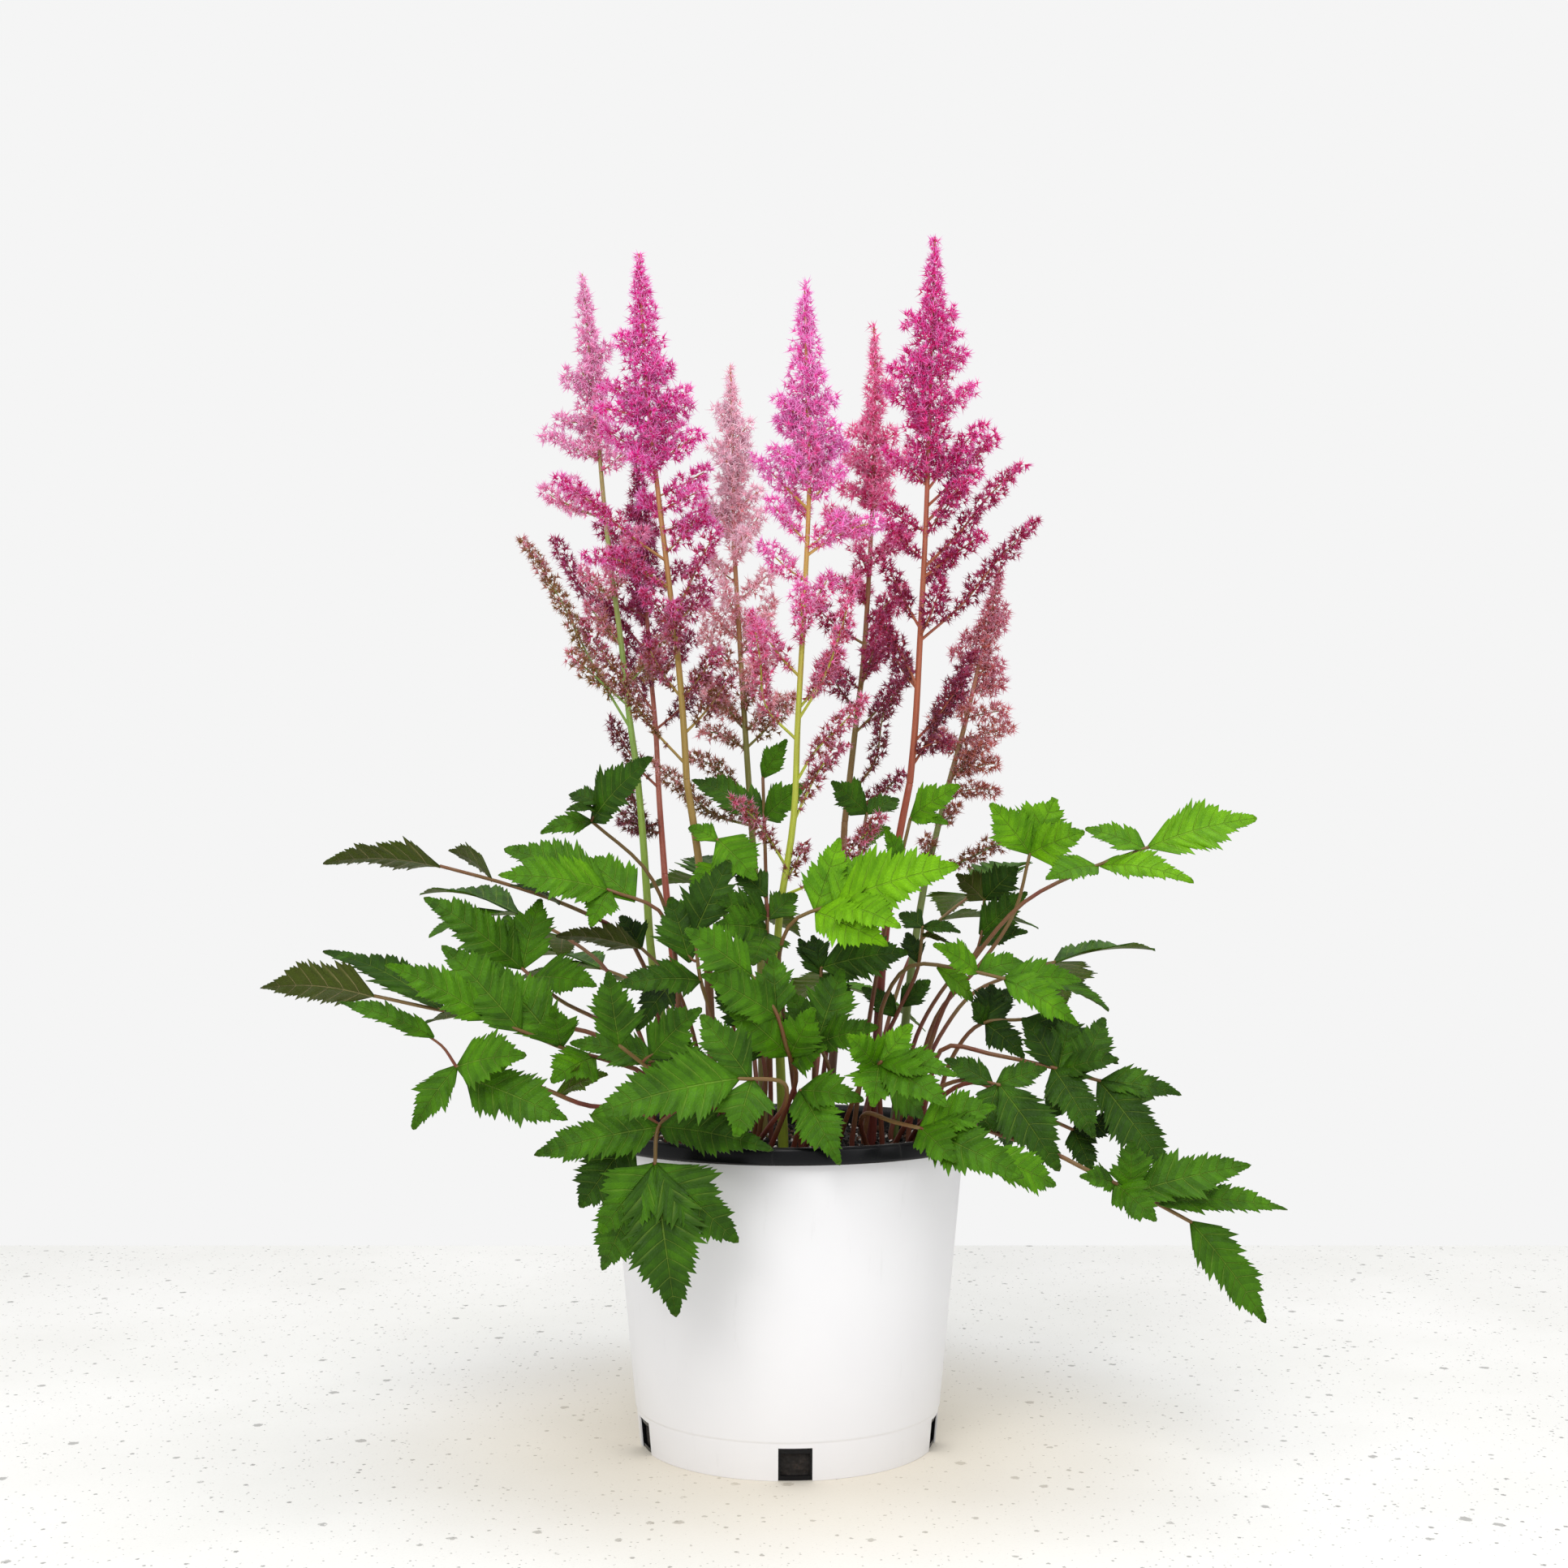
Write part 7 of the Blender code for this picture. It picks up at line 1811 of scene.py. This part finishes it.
def lumps(rng, places, sizes):
    """Small uneven closed grains at these places, as vertices and faces."""
    golden = (1 + 5 ** 0.5) / 2
    ball = unit(np.array([(a, b, 0) for a in (-1, 1) for b in (-golden, golden)]
                         + [(0, a, b) for a in (-1, 1) for b in (-golden, golden)]
                         + [(b, 0, a) for a in (-1, 1) for b in (-golden, golden)], float))
    near = np.linalg.norm(ball[:, None] - ball[None], axis=-1)
    edge = near[near > 0.01].min() * 1.05
    faces = [(i, j, k) for i in range(12) for j in range(i + 1, 12) for k in range(j + 1, 12)
             if near[i, j] < edge and near[j, k] < edge and near[i, k] < edge]
    faces = np.array([f if np.dot(np.cross(ball[f[1]] - ball[f[0]], ball[f[2]] - ball[f[0]]), ball[f[0]]) > 0
                      else f[::-1] for f in faces])
    count = len(places)
    stretch = rng.uniform(0.6, 1.25, (count, 1, 3))
    bumpy = ball[None] * rng.uniform(0.75, 1.15, (count, 12, 1)) * stretch
    turn = rng.uniform(0, 2 * math.pi, count)
    cos_t, sin_t = np.cos(turn)[:, None], np.sin(turn)[:, None]
    x, y, z = np.moveaxis(bumpy, -1, 0)
    spun = np.stack([x * cos_t - y * sin_t, x * sin_t + y * cos_t, z], -1)
    verts = places[:, None] + spun * sizes[:, None, None]
    return verts.reshape(-1, 3), (12 * np.arange(count)[:, None, None] + faces).reshape(-1, 3)


def make_soil():
    """The soil with a crumbly top, white perlite and bits of bark."""
    rng = np.random.default_rng(SOIL_SEED)
    top_radius = liner_radius(SOIL_TOP) - LINER_WALL - GAP
    low_radius = liner_radius(FLOOR_THICKNESS) - LINER_WALL - GAP
    rings = [(top_radius * (1 - k / SOIL_RINGS), SOIL_TOP) for k in range(SOIL_RINGS)]
    wider, taller = top_radius - low_radius, SOIL_TOP - SOIL_EDGE_LOW - FLOOR_THICKNESS
    shares = [k / SOIL_WALL_ROWS for k in range(SOIL_WALL_ROWS)]
    walls = [(low_radius + wider * share, FLOOR_THICKNESS + GAP + taller * share) for share in shares]
    waves = [(rng.uniform(*WAVE_RATES, 2), rng.uniform(0, 6, 2)) for _ in range(WAVE_COUNT)]

    def crumble(verts):
        """Raise and roughen the points of the soil's top."""
        x, y, is_top = verts[:, 0], verts[:, 1], verts[:, 2] > SOIL_TOP - TOP_BAND
        rough = sum(np.sin(x * rate[0] + at[0]) * np.sin(y * rate[1] + at[1]) for rate, at in waves)
        rise = rough / WAVE_COUNT * CRUMB_RISE - CRUMB_SINK + rng.normal(0, CRUMB_ROUGH, len(verts))
        verts[:, 2] += np.where(is_top, rise, 0.0)
        return verts

    build = Build()
    outline = [(0.0, FLOOR_THICKNESS + GAP), *walls, *rings, (0.0, SOIL_TOP)]
    lathe(build, outline, SOIL_TURN_SIDES, 0, crumble)
    for look, count, small, large in GRAINS:
        turn = rng.uniform(0, 2 * math.pi, count)
        out = np.sqrt(rng.uniform(0, 1, count)) * (top_radius - GRAINS_IN)
        height = SOIL_TOP + rng.uniform(*GRAIN_LIFT, count)
        places = np.stack([out * np.cos(turn), out * np.sin(turn), height], -1)
        sizes = small + (large - small) * rng.uniform(0, 1, count) ** 2
        build.add(*lumps(rng, places, sizes), look)
    looks = (soil_look(), grain_look("perlite", (196, 192, 184), (240, 238, 232)),
             grain_look("bark", (54, 34, 22), (112, 78, 52)))
    piece("potting_mix", build.mesh("potting_mix", looks), "soil", "soil", smooth=SOIL_SMOOTH)


# Stage
FLOOR_HALF = 4.0
FLOOR_BACK = 0.484
SENSOR = 36.0
WALL_COLOUR = srgb(245, 245, 245)
# Each lamp: name, place, what it points at, size, power and colour
LAMPS = (
    ("key", (-0.5, -1.6, 1.5), (0.0, 0.0, 0.3), 1.3, 20.0, (1.0, 0.985, 0.965)),
    ("fill", (1.5, -1.2, 0.9), (0.0, 0.0, 0.3), 1.2, 5.0, (1.0, 1.0, 1.0)),
    ("top", (0.15, 0.1, 2.0), (0.0, 0.0, 0.3), 1.3, 13.0, (1.0, 1.0, 1.0)),
)
AMBIENT = 0.66


def make_stage():
    """A pale floor, soft light and the camera where the photograph was taken."""
    mesh = bpy.data.meshes.new("floor")
    corners = [(-FLOOR_HALF, -FLOOR_HALF), (FLOOR_HALF, -FLOOR_HALF), (FLOOR_HALF, FLOOR_BACK),
               (-FLOOR_HALF, FLOOR_BACK)]
    mesh.from_pydata([(*corner, 0) for corner in corners], [], [(0, 1, 2, 3)])
    mesh.materials.append(floor_look())
    floor = bpy.data.objects.new("floor", mesh)
    bpy.context.scene.collection.objects.link(floor)
    for name, place, aim, size, power, colour in LAMPS:
        lamp = bpy.data.lights.new(name, "AREA")
        lamp.shape, lamp.size, lamp.energy, lamp.color = "DISK", size, power, colour
        thing = bpy.data.objects.new(name, lamp)
        thing.location = place
        thing.rotation_euler = (Vector(aim) - Vector(place)).to_track_quat("-Z", "Y").to_euler()
        bpy.context.scene.collection.objects.link(thing)
    world = bpy.data.worlds.new("studio")
    world.use_nodes = True
    tree = world.node_tree
    tree.nodes["Background"].inputs["Color"].default_value = (*WALL_COLOUR, 1.0)
    share = tree.nodes.new("ShaderNodeMapRange")
    share.inputs["To Min"].default_value = AMBIENT
    tree.links.new(tree.nodes.new("ShaderNodeLightPath").outputs["Is Camera Ray"], share.inputs["Value"])
    tree.links.new(share.outputs["Result"], tree.nodes["Background"].inputs["Strength"])
    bpy.context.scene.world = world
    camera = bpy.data.cameras.new("camera")
    camera.sensor_width = SENSOR
    camera.lens = SENSOR * FOCAL_PX / (2 * CENTRE_PX)
    thing = bpy.data.objects.new("camera", camera)
    thing.location = EYE
    thing.rotation_euler = (math.pi / 2 + EYE_PITCH, 0.0, 0.0)
    bpy.context.scene.collection.objects.link(thing)
    bpy.context.scene.camera = thing
    bpy.context.scene.view_settings.view_transform = "Standard"


LEAF, PETIOLE = leaf_look(), petiole_look()


def main():
    """Make every piece in its place, and the stage."""
    stems, axes, leaves, branches = lay_out()
    make_skin()
    make_liner()
    make_soil()
    for name, stalk in STALKS.items():
        make_stalk(name, stalk, stems[name])
        make_head(name, stalk, axes[name], branches[name])
    for node, (path, radii, blades) in leaves.items():
        make_leaf(node, path, radii, blades, TONES.get(node.removeprefix("leaf_"), USUAL_TONE))
    make_stage()


main()
